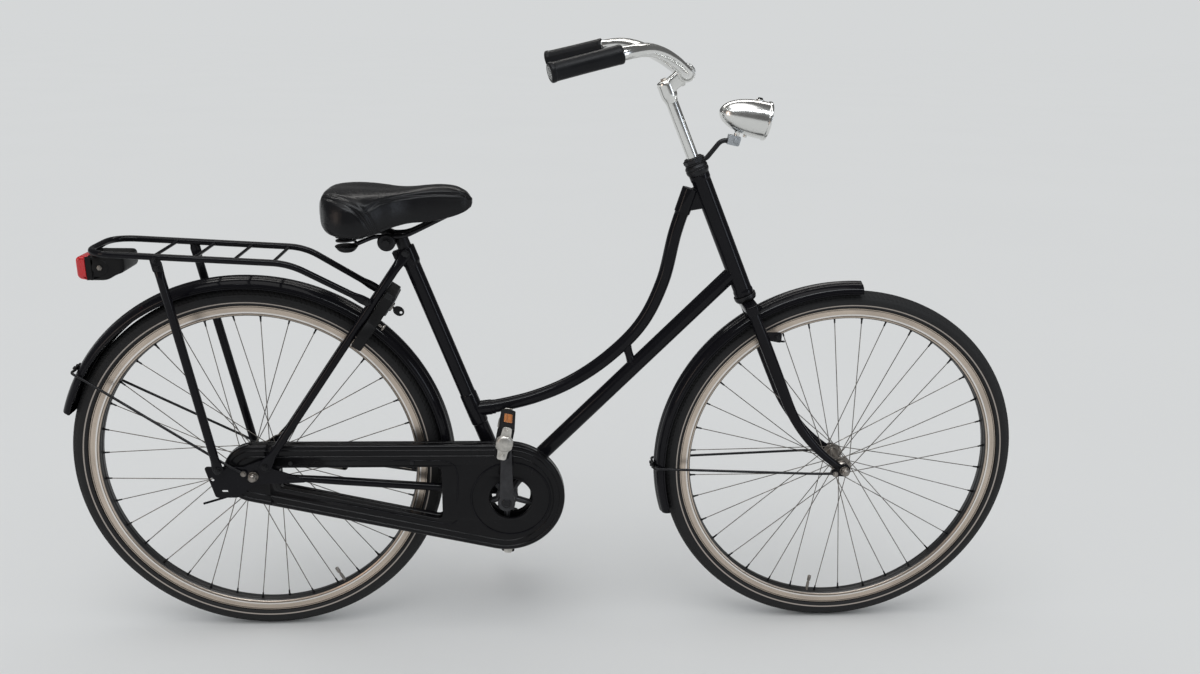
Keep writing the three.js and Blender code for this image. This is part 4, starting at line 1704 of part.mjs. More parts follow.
const saddle = new THREE.Group();
saddle.add(
  named('seat_post', seatPost(), chrome),
  named('saddle_clamp', saddleClamp(), darkSteel),
  named('saddle_rails', saddleRails(), darkSteel),
  named('saddle_spring_right', saddleSpring(-1), darkSteel),
  named('saddle_spring_left', saddleSpring(1), darkSteel),
  named('saddle_cover', saddleCover(), vinyl),
);
console.log('least gap of a saddle spring to itself, mm:', springSelfGap(springRoute(1)).toFixed(2));

// The origin lies midway between the foremost point of the front tyre and the rear fender's tip
const rearmost = Math.max(TYRE_RADIUS, -REAR_FENDER_RADIUS * Math.cos(radians(REAR_FENDER_TO)));
const bicycle = new THREE.Group();
bicycle.position.x = (rearmost - WHEELBASE - TYRE_RADIUS) / 2;
bicycle.add(frame, rearWheel, drive, steering, frontWheel, saddle);

export default bicycle;
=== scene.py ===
"""Step-through city bicycle: smooth surfaces, finishes and stage on the packed frame."""

import math

import bmesh
import bpy
import numpy as np
from bpy.props import FloatProperty, FloatVectorProperty, IntProperty, PointerProperty
from mathutils import Matrix, Vector
from mathutils.geometry import tessellate_polygon


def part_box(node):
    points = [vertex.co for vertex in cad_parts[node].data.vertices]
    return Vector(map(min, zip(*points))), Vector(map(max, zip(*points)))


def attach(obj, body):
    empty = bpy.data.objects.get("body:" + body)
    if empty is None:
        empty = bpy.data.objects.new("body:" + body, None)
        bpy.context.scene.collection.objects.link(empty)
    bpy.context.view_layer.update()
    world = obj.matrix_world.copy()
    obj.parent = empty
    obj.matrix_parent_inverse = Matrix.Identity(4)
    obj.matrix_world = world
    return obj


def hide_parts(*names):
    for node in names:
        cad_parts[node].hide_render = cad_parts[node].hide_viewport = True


bl_info = {
    "name": "Step-through City Bicycle",
    "version": (1, 0, 0),
    "blender": (4, 5, 0),
    "location": "View3D > Sidebar > Bicycle",
    "description": "Builds a step-through city bicycle with chain case, carrier and ring lock",
    "category": "Object",
}

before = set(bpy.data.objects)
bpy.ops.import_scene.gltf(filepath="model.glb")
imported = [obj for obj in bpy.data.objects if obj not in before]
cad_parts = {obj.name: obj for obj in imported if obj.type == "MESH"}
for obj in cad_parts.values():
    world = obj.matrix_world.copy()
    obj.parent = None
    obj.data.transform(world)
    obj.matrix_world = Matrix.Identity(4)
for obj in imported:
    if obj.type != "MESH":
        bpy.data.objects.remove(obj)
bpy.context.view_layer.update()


def centre_of(node):
    """Middle of a node's box, in millimetres."""
    low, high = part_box(node)
    return 500.0 * (np.array(low) + np.array(high))


REAR = centre_of("rear_rim")
FRONT = centre_of("front_rim")
CRANK = centre_of("crank_axle")
SIDE = np.array([0.0, 1.0, 0.0])
UP = np.array([0.0, 0.0, 1.0])
AHEAD = np.array([1.0, 0.0, 0.0])


def at(ahead, side, rise):
    """Point at millimetres ahead of the rear axle, to the left, and above the ground."""
    return np.array([REAR[0] + ahead, side, rise], float)


def lean(degrees):
    """Unit vector that points up and back along a tube standing at this angle."""
    angle = math.radians(degrees)
    return np.array([-math.cos(angle), 0.0, math.sin(angle)])


# Directions and lengths in millimetres that more than one piece shares

SEAT_UP = lean(69.0)
HEAD_UP = lean(66.5)
HEAD_AHEAD = np.array([HEAD_UP[2], 0.0, -HEAD_UP[0]])
FORK_LENGTH = 405.0
RAKE = 57.0
HEAD_FOOT = FRONT + FORK_LENGTH * HEAD_UP - RAKE * HEAD_AHEAD
HEAD_LENGTH = 250.0
HEAD_TOP = HEAD_FOOT + HEAD_LENGTH * HEAD_UP
SEAT_LENGTH = 524.0
SEAT_TOP = CRANK + SEAT_LENGTH * SEAT_UP
CRANK_REACH = 170.0
REAR_CROWN = 379.0
REAR_FENDER_HALF = 28.0
FRONT_CROWN = 375.0
FRONT_FENDER_HALF = 27.0
SIDES = ((-1, "right"), (1, "left"))


def on_head(rise, ahead=0.0):
    """Point before or behind the head tube's line, from its upper end."""
    return HEAD_TOP + rise * HEAD_UP + ahead * HEAD_AHEAD


def on_fork(fall, ahead=0.0, side=0.0):
    """Point beside the steering axis, below the head tube."""
    return HEAD_FOOT - fall * HEAD_UP + ahead * HEAD_AHEAD + side * SIDE


# Curves and outlines

def unit(vectors):
    """Vectors divided by their own lengths."""
    vectors = np.asarray(vectors, float)
    return vectors / np.maximum(np.linalg.norm(vectors, axis=-1, keepdims=True), 1e-12)


def mirror(points):
    """The same points on the other side of the bicycle."""
    return np.asarray(points, float) * np.array([1.0, -1.0, 1.0])


def circle(count, radius=1.0, other=None, start=0.0):
    """Ellipse: radius times the cosine and other radius times the sine of even angles."""
    angle = start + np.arange(count) * (2 * np.pi / count)
    return np.stack([radius * np.cos(angle), (other or radius) * np.sin(angle)], 1)


def fade(share):
    """Smooth step: three times the square less two times the cube, held between 0 and 1."""
    share = np.clip(share, 0.0, 1.0)
    return share * share * (3 - 2 * share)


def bell(distance, width):
    """Bell curve: e to the power of minus the square of the distance over the width."""
    return np.exp(-(distance / width) ** 2)


def distances(path):
    """Length walked along a path at each of its points."""
    steps = np.linalg.norm(np.diff(path, axis=0), axis=1)
    return np.concatenate([[0.0], np.cumsum(steps)])


def picked(values, walked, places):
    """Rows of values, known at the lengths walked, taken at other places between them."""
    return np.stack([np.interp(places, walked, column) for column in np.asarray(values, float).T], 1)


def spaced(path, count):
    """The same path with its points an even distance apart."""
    walked = distances(path)
    return picked(path, walked, np.linspace(0, walked[-1], count))


def spline(points, count):
    """Centripetal Catmull-Rom curve: cubic spans whose end slopes follow the square root of the gaps."""
    points = np.asarray(points, float)
    held = np.vstack([2 * points[0] - points[1], points, 2 * points[-1] - points[-2]])
    place = np.linspace(0, len(points) - 1, count)
    span = np.minimum(place.astype(int), len(points) - 2)
    share = (place - span)[:, None]
    a, b, c, d = held[span], held[span + 1], held[span + 2], held[span + 3]
    gap = [np.sqrt(np.linalg.norm(two - one, axis=1))[:, None] for one, two in ((a, b), (b, c), (c, d))]
    enter = gap[1] * ((b - a) / gap[0] - (c - a) / (gap[0] + gap[1]) + (c - b) / gap[1])
    leave = gap[1] * ((c - b) / gap[1] - (d - b) / (gap[1] + gap[2]) + (d - c) / gap[2])
    return (b + enter * share + (3 * (c - b) - 2 * enter - leave) * share ** 2
            + (2 * (b - c) + enter + leave) * share ** 3)


def soften(points, cut, steps=5, closed=True):
    """Rounded corners: each becomes a parabola between two points that lie the cut away from it."""
    points = np.asarray(points, float)
    before = np.roll(points, 1, 0) - points
    after = np.roll(points, -1, 0) - points
    near = np.minimum(np.linalg.norm(before, axis=1), np.linalg.norm(after, axis=1))
    trim = np.minimum(np.broadcast_to(np.asarray(cut, float), len(points)), 0.499 * near)
    if not closed:
        trim = trim.copy()
        trim[[0, -1]] = 0.0
    share = np.linspace(0, 1, steps + 1)[None, :, None]
    entry = (points + unit(before) * trim[:, None])[:, None]
    leave = (points + unit(after) * trim[:, None])[:, None]
    curve = (1 - share) ** 2 * entry + 2 * share * (1 - share) * points[:, None] + share ** 2 * leave
    curve = curve.reshape(-1, points.shape[1])
    follow = np.roll(curve, -1, 0) if closed else np.vstack([curve[1:], curve[-1:] + 1])
    return curve[np.linalg.norm(follow - curve, axis=1) > 1e-5]


def box_outline(half_wide, half_high, cut):
    """Rectangle with rounded corners round the origin."""
    corners = np.array([[-1, -1], [1, -1], [1, 1], [-1, 1]]) * np.array([half_wide, half_high])
    return soften(corners, cut)


def belt(rear, rear_radius, front, front_radius, inset=0.0, steps=72):
    """Outline of a belt round two pulleys: two arcs joined by their outer tangents, in side view."""
    gap = front - rear
    run = math.hypot(gap[0], gap[2])
    slope = math.atan2(gap[2], gap[0])
    spread = math.acos((rear_radius - front_radius) / run)
    one = np.linspace(slope - spread, slope + spread, steps)
    two = np.linspace(slope + spread, slope + 2 * np.pi - spread, steps // 2)
    ahead = np.stack([front[0] + (front_radius - inset) * np.cos(one),
                      front[2] + (front_radius - inset) * np.sin(one)], 1)
    back = np.stack([rear[0] + (rear_radius - inset) * np.cos(two),
                     rear[2] + (rear_radius - inset) * np.sin(two)], 1)
    upper = np.linspace(ahead[-1], back[0], 26)[1:-1]
    lower = np.linspace(back[-1], ahead[0], 26)[1:-1]
    return np.vstack([ahead, upper, back, lower])


def winding(outline, left=True):
    """The outline turned so that it runs to the left, or to the right, round its inside."""
    x, y = outline.T
    area = np.sum(x * np.roll(y, -1) - np.roll(x, -1) * y)
    return outline if (area > 0) == left else outline[::-1]


def inset(outline, distance):
    """Outline moved to its left by a distance: each point goes along the sum of its two edge normals."""
    edge = unit(np.roll(outline, -1, 0) - outline)
    normal = np.stack([-edge[:, 1], edge[:, 0]], 1)
    both = normal + np.roll(normal, 1, 0)
    reach = np.maximum(np.sum(both * both, axis=1, keepdims=True) / 2, 0.5)
    return outline + distance * both / reach


# Surfaces: a shape is its points and a list of face blocks

def grid_faces(rows, columns, around=True, along=False):
    """Quads of a grid of points, closed around each row and, where asked, from the last row to the first."""
    row = np.arange(rows if along else rows - 1)[:, None]
    column = np.arange(columns if around else columns - 1)[None, :]
    after, beside = (row + 1) % rows, (column + 1) % columns
    corners = [row * columns + column, row * columns + beside, after * columns + beside,
               after * columns + column]
    return np.stack([np.broadcast_to(c, (row.size, column.size)) for c in corners], -1).reshape(-1, 4)


def skin(rows, along=False):
    """Closed skin over rows of points: a ring of rows, or a row of rows with flat ends."""
    count, columns = rows.shape[:2]
    blocks = [grid_faces(count, columns, True, along)]
    if not along:
        last = (count - 1) * columns
        blocks += [np.arange(columns)[None, ::-1], last + np.arange(columns)[None]]
    return rows.reshape(-1, 3), blocks


def together(*shapes):
    """Several shapes as one."""
    points, blocks, first = [], [], 0
    for shape in shapes:
        points.append(shape[0])
        blocks += [block + first for block in shape[1]]
        first += len(shape[0])
    return np.concatenate(points), blocks


def sweep(path, section, up=SIDE, scale=None, closed=False):
    """A section carried along a path: path point + first coordinate x normal + second x side vector. The
    side vector is the path's direction crossed with the guide, and the normal is square to both."""
    path = np.asarray(path, float)
    if closed:
        along = unit(np.roll(path, -1, 0) - np.roll(path, 1, 0))
    else:
        along = unit(np.gradient(path, axis=0))
    side = unit(np.cross(along, np.broadcast_to(np.asarray(up, float), path.shape)))
    normal = np.cross(side, along)
    size = np.ones((len(path), 2)) if scale is None else np.asarray(scale, float)
    size = np.stack([size, size], 1) if size.ndim == 1 else size
    rows = (path[:, None] + normal[:, None] * (section[None, :, :1] * size[:, None, :1])
            + side[:, None] * (section[None, :, 1:] * size[:, None, 1:]))
    return skin(rows, along=closed)


def tube(path, radius, sides=24, up=SIDE, edge=0.6):
    """Round tube along a path, its two rims rounded by a quarter circle of the edge radius."""
    path = np.asarray(path, float)
    walked = distances(path)
    radius = np.broadcast_to(np.asarray(radius, float), len(path))
    turn = np.linspace(0, np.pi / 2, 5)
    start_at = np.concatenate([[0.0], edge * (1 - np.cos(turn))])
    start_r = np.concatenate([[0.0], -edge + edge * np.sin(turn)])
    inner = (walked > edge * 1.01) & (walked < walked[-1] - edge * 1.01)
    places = np.concatenate([start_at, walked[inner], walked[-1] - start_at[::-1]])
    shrink = np.concatenate([start_r, np.zeros(inner.sum()), start_r[::-1]])
    centre = picked(path, walked, places)
    thick = np.interp(places, walked, radius) + shrink
    thick[[0, -1]] = 0.75 * thick[[1, -2]]
    direction = unit(np.gradient(path, axis=0))
    along = unit(picked(direction, walked, places))
    side = unit(np.cross(along, np.broadcast_to(np.asarray(up, float), centre.shape)))
    normal = np.cross(side, along)
    ring = circle(sides)
    rows = centre[:, None] + thick[:, None, None] * (
        normal[:, None] * ring[None, :, :1] + side[:, None] * ring[None, :, 1:])
    return skin(rows)


def rods(starts, ends, radius, end_radius=None, sides=8):
    """Many straight rods at once: each a prism between its two points."""
    starts, ends = np.atleast_2d(starts).astype(float), np.atleast_2d(ends).astype(float)
    along = unit(ends - starts)
    guide = np.where(np.abs(along[:, 2:]) > 0.9, AHEAD, UP)
    side = unit(np.cross(along, guide))
    normal = np.cross(side, along)
    ring = circle(sides)
    spread = normal[:, None] * ring[None, :, :1] + side[:, None] * ring[None, :, 1:]
    low = starts[:, None] + radius * spread
    high = ends[:, None] + (end_radius or radius) * spread
    points = np.stack([low, high], 1).reshape(-1, 3)
    first = (np.arange(len(starts)) * 2 * sides)[:, None, None]
    faces = (grid_faces(2, sides)[None] + first).reshape(-1, 4)
    ends_low = np.arange(sides)[None, ::-1] + first[:, 0]
    return points, [faces, ends_low, ends_low[:, ::-1] + sides]


def lathe(profile, foot, axis, sides=48, loop=False):
    """Turned shape: each profile point is a radius and a distance along the axis, spun round it."""
    profile = np.asarray(profile, float)
    axis = unit(axis)
    guide = AHEAD if abs(axis[0]) < 0.9 else UP
    one = unit(np.cross(axis, guide))
    two = np.cross(axis, one)
    ring = circle(sides)
    spread = ring[:, :1] * one + ring[:, 1:] * two
    rows = foot + spread[:, None] * profile[None, :, :1] + axis * profile[None, :, 1:]
    return rows.reshape(-1, 3), [grid_faces(sides, len(profile), loop, True)]


def washer(inner, outer, low, high, cut=0.5):
    """Closed profile of a ring with rounded edges."""
    return soften([[inner, low], [outer, low], [outer, high], [inner, high]], cut, 3)


def turned(profile, cut, steps, foot, axis, sides=48):
    """Turned shape with softened corners: a ring where its profile stays off the axis, else a solid."""
    off_axis = profile[0][0] > 0
    return lathe(soften(profile, cut, steps, closed=off_axis), foot, axis, sides, loop=off_axis)


def spacer(inner, outer, low, high, cut, foot, axis, sides):
    """Ring with rounded edges, put round an axis."""
    return lathe(washer(inner, outer, low, high, cut), foot, axis, sides, loop=True)


def knob(radius, length, cut=0.8, dome=0.0):
    """Open profile of a disc or stud on its axis, with rounded edges and a crown."""
    return soften([[0, 0], [radius, 0], [radius, length], [0, length + dome]],
                  [0, cut, cut, 0], 4, closed=False)


def placed(local, origin, x, y, z):
    """Local points put at an origin along three axes."""
    local = np.asarray(local, float)
    return origin + local[..., :1] * x + local[..., 1:2] * y + local[..., 2:3] * z


SIDE_VIEW = (np.zeros(3), AHEAD, UP, SIDE)


SUPPORT = 0.35


def rims(low, high, edge):
    """Levels and insets of a plate's rim: a support line, a quarter circle, the wall, and back."""
    turn = np.linspace(0, np.pi / 2, 5)
    inward = edge * (1 - np.sin(turn))
    level = edge * (1 - np.cos(turn))
    return (np.concatenate([[low], low + level, (high - level)[::-1], [high]]),
            np.concatenate([[edge + SUPPORT], inward, inward[::-1], [edge + SUPPORT]]))


def faced(loops):
    """Triangles that fill the area between an outer loop and its holes."""
    flat = [[Vector((x, y, 0)) for x, y in loop.tolist()] for loop in loops]
    return np.array(tessellate_polygon(flat), int).reshape(-1, 3)


def slab(outline, low, high, edge=0.8, holes=(), axes=None):
    """Flat plate: its outline and holes stand between two levels, with their rims rounded over.
    Without other axes the outline is drawn in side view, and the levels lie to the left."""
    loops = [winding(np.asarray(outline, float))] + [winding(np.asarray(h, float), False) for h in holes]
    levels, insets = rims(low, high, min(edge, 0.49 * (high - low)))
    shapes, top, bottom, first = [], [], [], 0
    for loop in loops:
        rows = np.stack([np.column_stack([inset(loop, i), np.full(len(loop), z)])
                         for i, z in zip(insets, levels)])
        shapes.append((rows.reshape(-1, 3), [grid_faces(len(rows), len(loop))]))
        bottom.append(first + np.arange(len(loop)))
        top.append(first + (len(rows) - 1) * len(loop) + np.arange(len(loop)))
        first += rows.shape[0] * rows.shape[1]
    points, blocks = together(*shapes)
    fill = faced([points[ids][:, :2] for ids in top])
    blocks += [np.concatenate(top)[fill], np.concatenate(bottom)[fill][:, ::-1]]
    return placed(points, *(axes or SIDE_VIEW)), blocks


def hexagon(across, turn=0.0):
    """Outline of a nut that measures so much across its flats."""
    return circle(6, across / math.sqrt(3), start=turn)


def bolt(spot, direction, across=10.0, height=5.0, stud=0.0):
    """Hexagon nut or bolt head with a washer under it and, where asked, a stud through it."""
    direction = unit(direction)
    one = unit(np.cross(direction, UP if abs(direction[2]) < 0.9 else AHEAD))
    axes = (np.asarray(spot, float), one, np.cross(direction, one), direction)
    parts = [slab(hexagon(across), 1.0, 1.0 + height, 0.7, axes=axes),
             lathe(knob(0.72 * across, 1.2, 0.3), spot, direction, 24)]
    if stud:
        parts.append(lathe(knob(0.28 * across, 1.0 + height + stud, 0.6), spot, direction, 16))
    return together(*parts)


# Pieces

def finish_object(name, shape, body, finish, replaces=(), sharp=36.0):
    """Mesh object from a shape in millimetres: doubles merged, faces turned outwards, sharp edges marked."""
    points, blocks = shape
    mesh = bpy.data.meshes.new(name)
    mesh.from_pydata((points / 1000).tolist(), [], [face for block in blocks for face in block.tolist()])
    work = bmesh.new()
    work.from_mesh(mesh)
    bmesh.ops.remove_doubles(work, verts=work.verts, dist=2e-6)
    bmesh.ops.recalc_face_normals(work, faces=work.faces)
    work.to_mesh(mesh)
    work.free()
    mesh.shade_smooth()
    mesh.set_sharp_from_angle(angle=math.radians(sharp))
    piece = bpy.data.objects.new(name, mesh)
    bpy.context.scene.collection.objects.link(piece)
    mesh.materials.append(material(finish))
    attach(piece, body)
    if replaces:
        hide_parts(*replaces)
    return piece


def enamelled(name, shape, body, *nodes):
    """A piece in gloss black enamel."""
    return finish_object(name, shape, body, "black_enamel", nodes)


def blackened(name, shape, body, *nodes):
    """A piece of blackened steel."""
    return finish_object(name, shape, body, "dark_steel", nodes)


def plated(name, shape, body, *nodes):
    """A piece of plated steel."""
    return finish_object(name, shape, body, "nut_steel", nodes)


def chromed(name, shape, body, *nodes):
    """A piece in bright chrome."""
    return finish_object(name, shape, body, "bright_chrome", nodes)


# Finishes

class Finish:
    """A node material built from a few plain steps."""

    def __init__(self, name):
        self.material = bpy.data.materials.new(name)
        self.material.use_nodes = True
        self.tree = self.material.node_tree
        self.shader = self.tree.nodes["Principled BSDF"]
        self.where = self.tree.nodes.new("ShaderNodeTexCoord").outputs["Object"]

    def node(self, kind, **values):
        """Adds a node, sets its settings and its input values by name, and returns it."""
        made = self.tree.nodes.new(kind)
        for key, value in values.items():
            if hasattr(made, key):
                setattr(made, key, value)
            else:
                self.put(made.inputs[key], value)
        return made

    def put(self, socket, value):
        """Links an output to a socket, or sets the socket's own value."""
        if isinstance(value, bpy.types.NodeSocket):
            self.tree.links.new(value, socket)
        else:
            socket.default_value = value

    def sums(self, operation, one, two=0.0):
        """Arithmetic on one or two values."""
        made = self.node("ShaderNodeMath", operation=operation)
        self.put(made.inputs[0], one)
        self.put(made.inputs[1], two)
        return made.outputs[0]

    def plus(self, one, two):
        """Two values added."""
        return self.sums("ADD", one, two)

    def less(self, one, two):
        """The first value without the second."""
        return self.sums("SUBTRACT", one, two)

    def times(self, one, two):
        """Two values multiplied."""
        return self.sums("MULTIPLY", one, two)

    def noise(self, scale, detail=3.0, rough=0.5, where=None):
        """Noise between 0 and 1."""
        return self.node("ShaderNodeTexNoise", Vector=where or self.where, Scale=scale, Detail=detail,
                         Roughness=rough).outputs["Fac"]

    def ranged(self, value, low, high, from_low=0.3, from_high=0.7):
        """A value carried from one range to another and held there."""
        made = self.node("ShaderNodeMapRange")
        for key, number in zip(("Value", "From Min", "From Max", "To Min", "To Max"),
                               (value, from_low, from_high, low, high)):
            self.put(made.inputs[key], number)
        return made.outputs[0]

    def mixed(self, share, one, two):
        """Two colours mixed by a share."""
        made = self.node("ShaderNodeMix", data_type="RGBA")
        for index, value in ((0, share), (6, one), (7, two)):
            self.put(made.inputs[index], value)
        return made.outputs[2]

    def tones(self, share, color, dark, pale):
        """A colour that goes from a darker to a paler tone with a share."""
        return self.mixed(share, shade(color, dark), shade(color, pale))

    def bump(self, height, distance, strength=1.0, under=None):
        """Bumps of a height field, on top of earlier bumps."""
        made = self.node("ShaderNodeBump", Height=height, Distance=distance, Strength=strength)
        if under:
            self.put(made.inputs["Normal"], under)
        return made.outputs[0]

    def around(self, centre):
        """Distance from a wheel's axle line, angle round it and distance across it, in metres."""
        moved = self.node("ShaderNodeMapping", Vector=self.where)
        moved.inputs["Location"].default_value = [-value / 1000 for value in centre]
        split = self.node("ShaderNodeSeparateXYZ", Vector=moved.outputs[0])
        x, y, z = split.outputs
        square = self.plus(self.times(x, x), self.times(z, z))
        return self.sums("SQRT", square), self.sums("ARCTAN2", z, x), y

    def band(self, value, low, high, soft):
        """1 where a value lies between two limits, with soft edges."""
        rise = self.ranged(value, 0.0, 1.0, low - soft, low + soft)
        fall = self.ranged(value, 1.0, 0.0, high - soft, high + soft)
        return self.times(rise, fall)

    def done(self, **sockets):
        """Sets the shader's sockets and returns the material."""
        for key, value in sockets.items():
            self.put(self.shader.inputs[key.replace("_", " ")], value)
        return self.material


def shade(color, factor):
    """The colour made lighter or darker."""
    return [min(1.0, channel * factor) for channel in color[:3]] + [1.0]


def gloss_enamel(name, color):
    """Stove enamel: faint flow marks, fine dust specks, a polish that varies in patches, a clear coat."""
    f = Finish(name)
    patch = f.noise(9.0, 4.0)
    speck = f.ranged(f.noise(900.0, 2.0), 0.0, 1.0, 0.66, 0.74)
    dust = f.times(speck, f.ranged(patch, 0.0, 0.5))
    color_out = f.mixed(dust, f.tones(patch, color, 0.8, 1.5), (0.09, 0.085, 0.08, 1))
    rough = f.plus(f.ranged(patch, 0.16, 0.27), f.times(dust, 0.3))
    flow = f.bump(f.noise(260.0, 1.0), 0.0004, 0.12)
    return f.done(Base_Color=color_out, Roughness=rough, Normal=flow, Coat_Weight=0.2, Coat_Roughness=0.06,
                  Specular_IOR_Level=0.04)


def case_enamel(name, color):
    """Pressed sheet in satin black: fine grain, handling marks and dull patches, with a thin clear coat."""
    f = Finish(name)
    patch = f.noise(14.0, 5.0)
    marks = f.noise(60.0, 4.0, 0.7)
    color_out = f.tones(patch, color, 0.8, 1.6)
    rough = f.ranged(f.plus(f.times(patch, 0.5), f.times(marks, 0.5)), 0.18, 0.3)
    grain = f.bump(f.noise(1500.0, 2.0), 0.0002, 0.03)
    return f.done(Base_Color=color_out, Roughness=rough, Normal=grain, Specular_IOR_Level=0.1,
                  Coat_Weight=0.12, Coat_Roughness=0.08)


def tyre_rubber(name, color, centre):
    """Tyre rubber: a pale line near the rim, fine ribs on the flank, and angled cuts on the crown that are
    painted a little darker as painted shade.
    """
    f = Finish(name)
    radius, angle, across = f.around(centre)
    line = f.band(radius, 0.3305, 0.3327, 0.0003)
    patch = f.noise(22.0, 4.0)
    rubber = f.tones(patch, color, 0.75, 1.7)
    ring = f.ranged(f.sums("SINE", f.times(radius, 3800.0)), 0.0, 1.0, -0.6, 0.6)
    flank = f.times(ring, f.band(radius, 0.333, 0.3435, 0.0005))
    side = f.sums("ABSOLUTE", across)
    cuts = f.sums("SINE", f.plus(f.times(angle, 230.0), f.times(side, 620.0)))
    tread = f.times(f.ranged(cuts, 0.0, 1.0, 0.35, 0.75), f.ranged(radius, 0.0, 1.0, 0.3455, 0.3475))
    height = f.less(f.times(flank, 0.35), tread)
    bumps = f.bump(height, 0.0012, 0.8, f.bump(f.noise(700.0), 0.0003, 0.3))
    # The cuts on the crown are painted a little darker than the rubber: painted shade in them.
    color_out = f.mixed(line, f.mixed(f.times(tread, 0.5), rubber, (0.012, 0.012, 0.012, 1)),
                        (0.42, 0.37, 0.33, 1))
    return f.done(Base_Color=color_out, Roughness=f.ranged(patch, 0.62, 0.82), Normal=bumps,
                  Specular_IOR_Level=0.3)


def rim_metal(name, color, centre):
    """Rolled rim: brushed bronze side walls with fine turned lines, two grooves painted dark as painted
    shade, and a black bed between the spokes.
    """
    f = Finish(name)
    radius, angle, across = f.around(centre)
    side = f.sums("ABSOLUTE", across)
    bed = f.ranged(side, 1.0, 0.0, 0.0112, 0.0122)
    lines = f.noise(1.0, 2.0, 0.6, f.node("ShaderNodeCombineXYZ", X=f.times(radius, 2600.0),
                                          Y=f.times(angle, 1.5)).outputs[0])
    cloud = f.noise(11.0, 4.0)
    metal = f.tones(f.ranged(lines, 0.0, 1.0), color, 0.55, 1.15)
    metal = f.mixed(f.ranged(cloud, 0.0, 0.45), metal, shade(color, 0.45))
    groove = f.plus(f.band(radius, 0.3214, 0.3224, 0.0002), f.band(radius, 0.3078, 0.3088, 0.0002))
    pale = f.band(radius, 0.3096, 0.3122, 0.0006)
    metal = f.mixed(f.times(pale, 0.7), metal, shade(color, 1.9))
    # The two grooves are painted almost black: painted shade in them, on top of their dent in the bump.
    metal = f.mixed(groove, metal, (0.03, 0.026, 0.022, 1))
    color_out = f.mixed(bed, metal, (0.012, 0.012, 0.013, 1))
    plate = f.less(1.0, bed)
    rough = f.plus(f.ranged(lines, 0.24, 0.4), f.times(bed, 0.05))
    bumps = f.bump(f.less(f.times(lines, 0.2), groove), 0.0003, 0.5)
    return f.done(Base_Color=color_out, Metallic=f.times(plate, 0.9), Roughness=rough, Normal=bumps)


def bright_chrome(name, color):
    """Chrome plate: mirror bright, with faint haze in patches, fine scratches and pin specks."""
    f = Finish(name)
    haze = f.noise(16.0, 5.0, 0.6)
    scratch = f.noise(90.0, 3.0, 0.7,
                      f.node("ShaderNodeMapping", Vector=f.where, Scale=(1.0, 6.0, 9.0)).outputs[0])
    speck = f.ranged(f.noise(1100.0, 1.0), 0.0, 1.0, 0.72, 0.78)
    color_out = f.mixed(f.times(speck, 0.6), f.tones(haze, color, 0.86, 1.05),
                        (0.3, 0.25, 0.2, 1))
    rough = f.plus(f.ranged(haze, 0.11, 0.2), f.times(scratch, 0.08))
    return f.done(Base_Color=color_out, Metallic=1.0, Roughness=rough, Normal=f.bump(scratch, 0.0001, 0.04))


def plain_steel(name, color, low=0.3, high=0.5, metal=0.95):
    """Steel: drawn or plated, with dull spots, tarnish and small scratches."""
    f = Finish(name)
    tarnish = f.noise(55.0, 5.0, 0.65)
    fine = f.noise(800.0, 2.0)
    color_out = f.tones(f.ranged(tarnish, 0.0, 1.0), color, 0.6, 1.2)
    rough = f.plus(f.ranged(tarnish, high, low), f.times(fine, 0.08))
    return f.done(Base_Color=color_out, Metallic=metal, Roughness=rough, Normal=f.bump(fine, 0.0002, 0.2))


def grained_vinyl(name, color):
    """Upholstery vinyl: small raised cells with creases between them, and a polish that wears shiny."""
    f = Finish(name)
    worn = f.noise(18.0, 4.0)
    cells = f.node("ShaderNodeTexVoronoi", Vector=f.where, Scale=620.0,
                   feature="DISTANCE_TO_EDGE").outputs["Distance"]
    crease = f.ranged(cells, 0.0, 1.0, 0.0, 0.14)
    color_out = f.tones(worn, color, 0.8, 1.5)
    rough = f.less(f.ranged(worn, 0.2, 0.32), f.times(crease, 0.04))
    bumps = f.bump(crease, 0.0002, 0.25, f.bump(f.noise(40.0, 1.5), 0.0006, 0.08))
    return f.done(Base_Color=color_out, Roughness=rough, Normal=bumps, Specular_IOR_Level=0.2)


def moulded(name, color, low=0.35, high=0.55, grain=1200.0):
    """Moulded plastic or rubber: fine grain, a slightly uneven polish and paler patches."""
    f = Finish(name)
    patch = f.noise(30.0, 4.0)
    color_out = f.tones(patch, color, 0.75, 1.45)
    return f.done(Base_Color=color_out, Roughness=f.ranged(patch, low, high),
                  Normal=f.bump(f.noise(grain, 2.0), 0.0003, 0.25), Specular_IOR_Level=0.16)


def lens_plastic(name, color, cells, glow=0.0, through=0.0):
    """Lens: clear or tinted plastic over a pattern of small square prisms."""
    f = Finish(name)
    split = f.node("ShaderNodeSeparateXYZ", Vector=f.where)
    waves = [f.sums("SINE", f.times(axis, cells)) for axis in split.outputs]
    prism = f.plus(f.sums("ABSOLUTE", waves[1]), f.sums("ABSOLUTE", waves[2]))
    patch = f.noise(40.0)
    color_out = f.tones(f.ranged(prism, 0.0, 1.0, 0.2, 1.6), color, 0.45, 1.25)
    made = f.done(Base_Color=color_out, Roughness=f.ranged(patch, 0.08, 0.18),
                  Normal=f.bump(prism, 0.0005, 0.3), Transmission_Weight=through, Coat_Weight=0.6,
                  Coat_Roughness=0.04)
    if glow:
        f.done(Emission_Color=color_out, Emission_Strength=glow)
    return made


def floor_paint(name, color):
    """Plain pale floor with a very faint cloud in its colour."""
    f = Finish(name)
    cloud = f.noise(0.8, 3.0)
    return f.done(Base_Color=f.tones(cloud, color, 0.985, 1.01), Roughness=0.85,
                  Specular_IOR_Level=0.0)


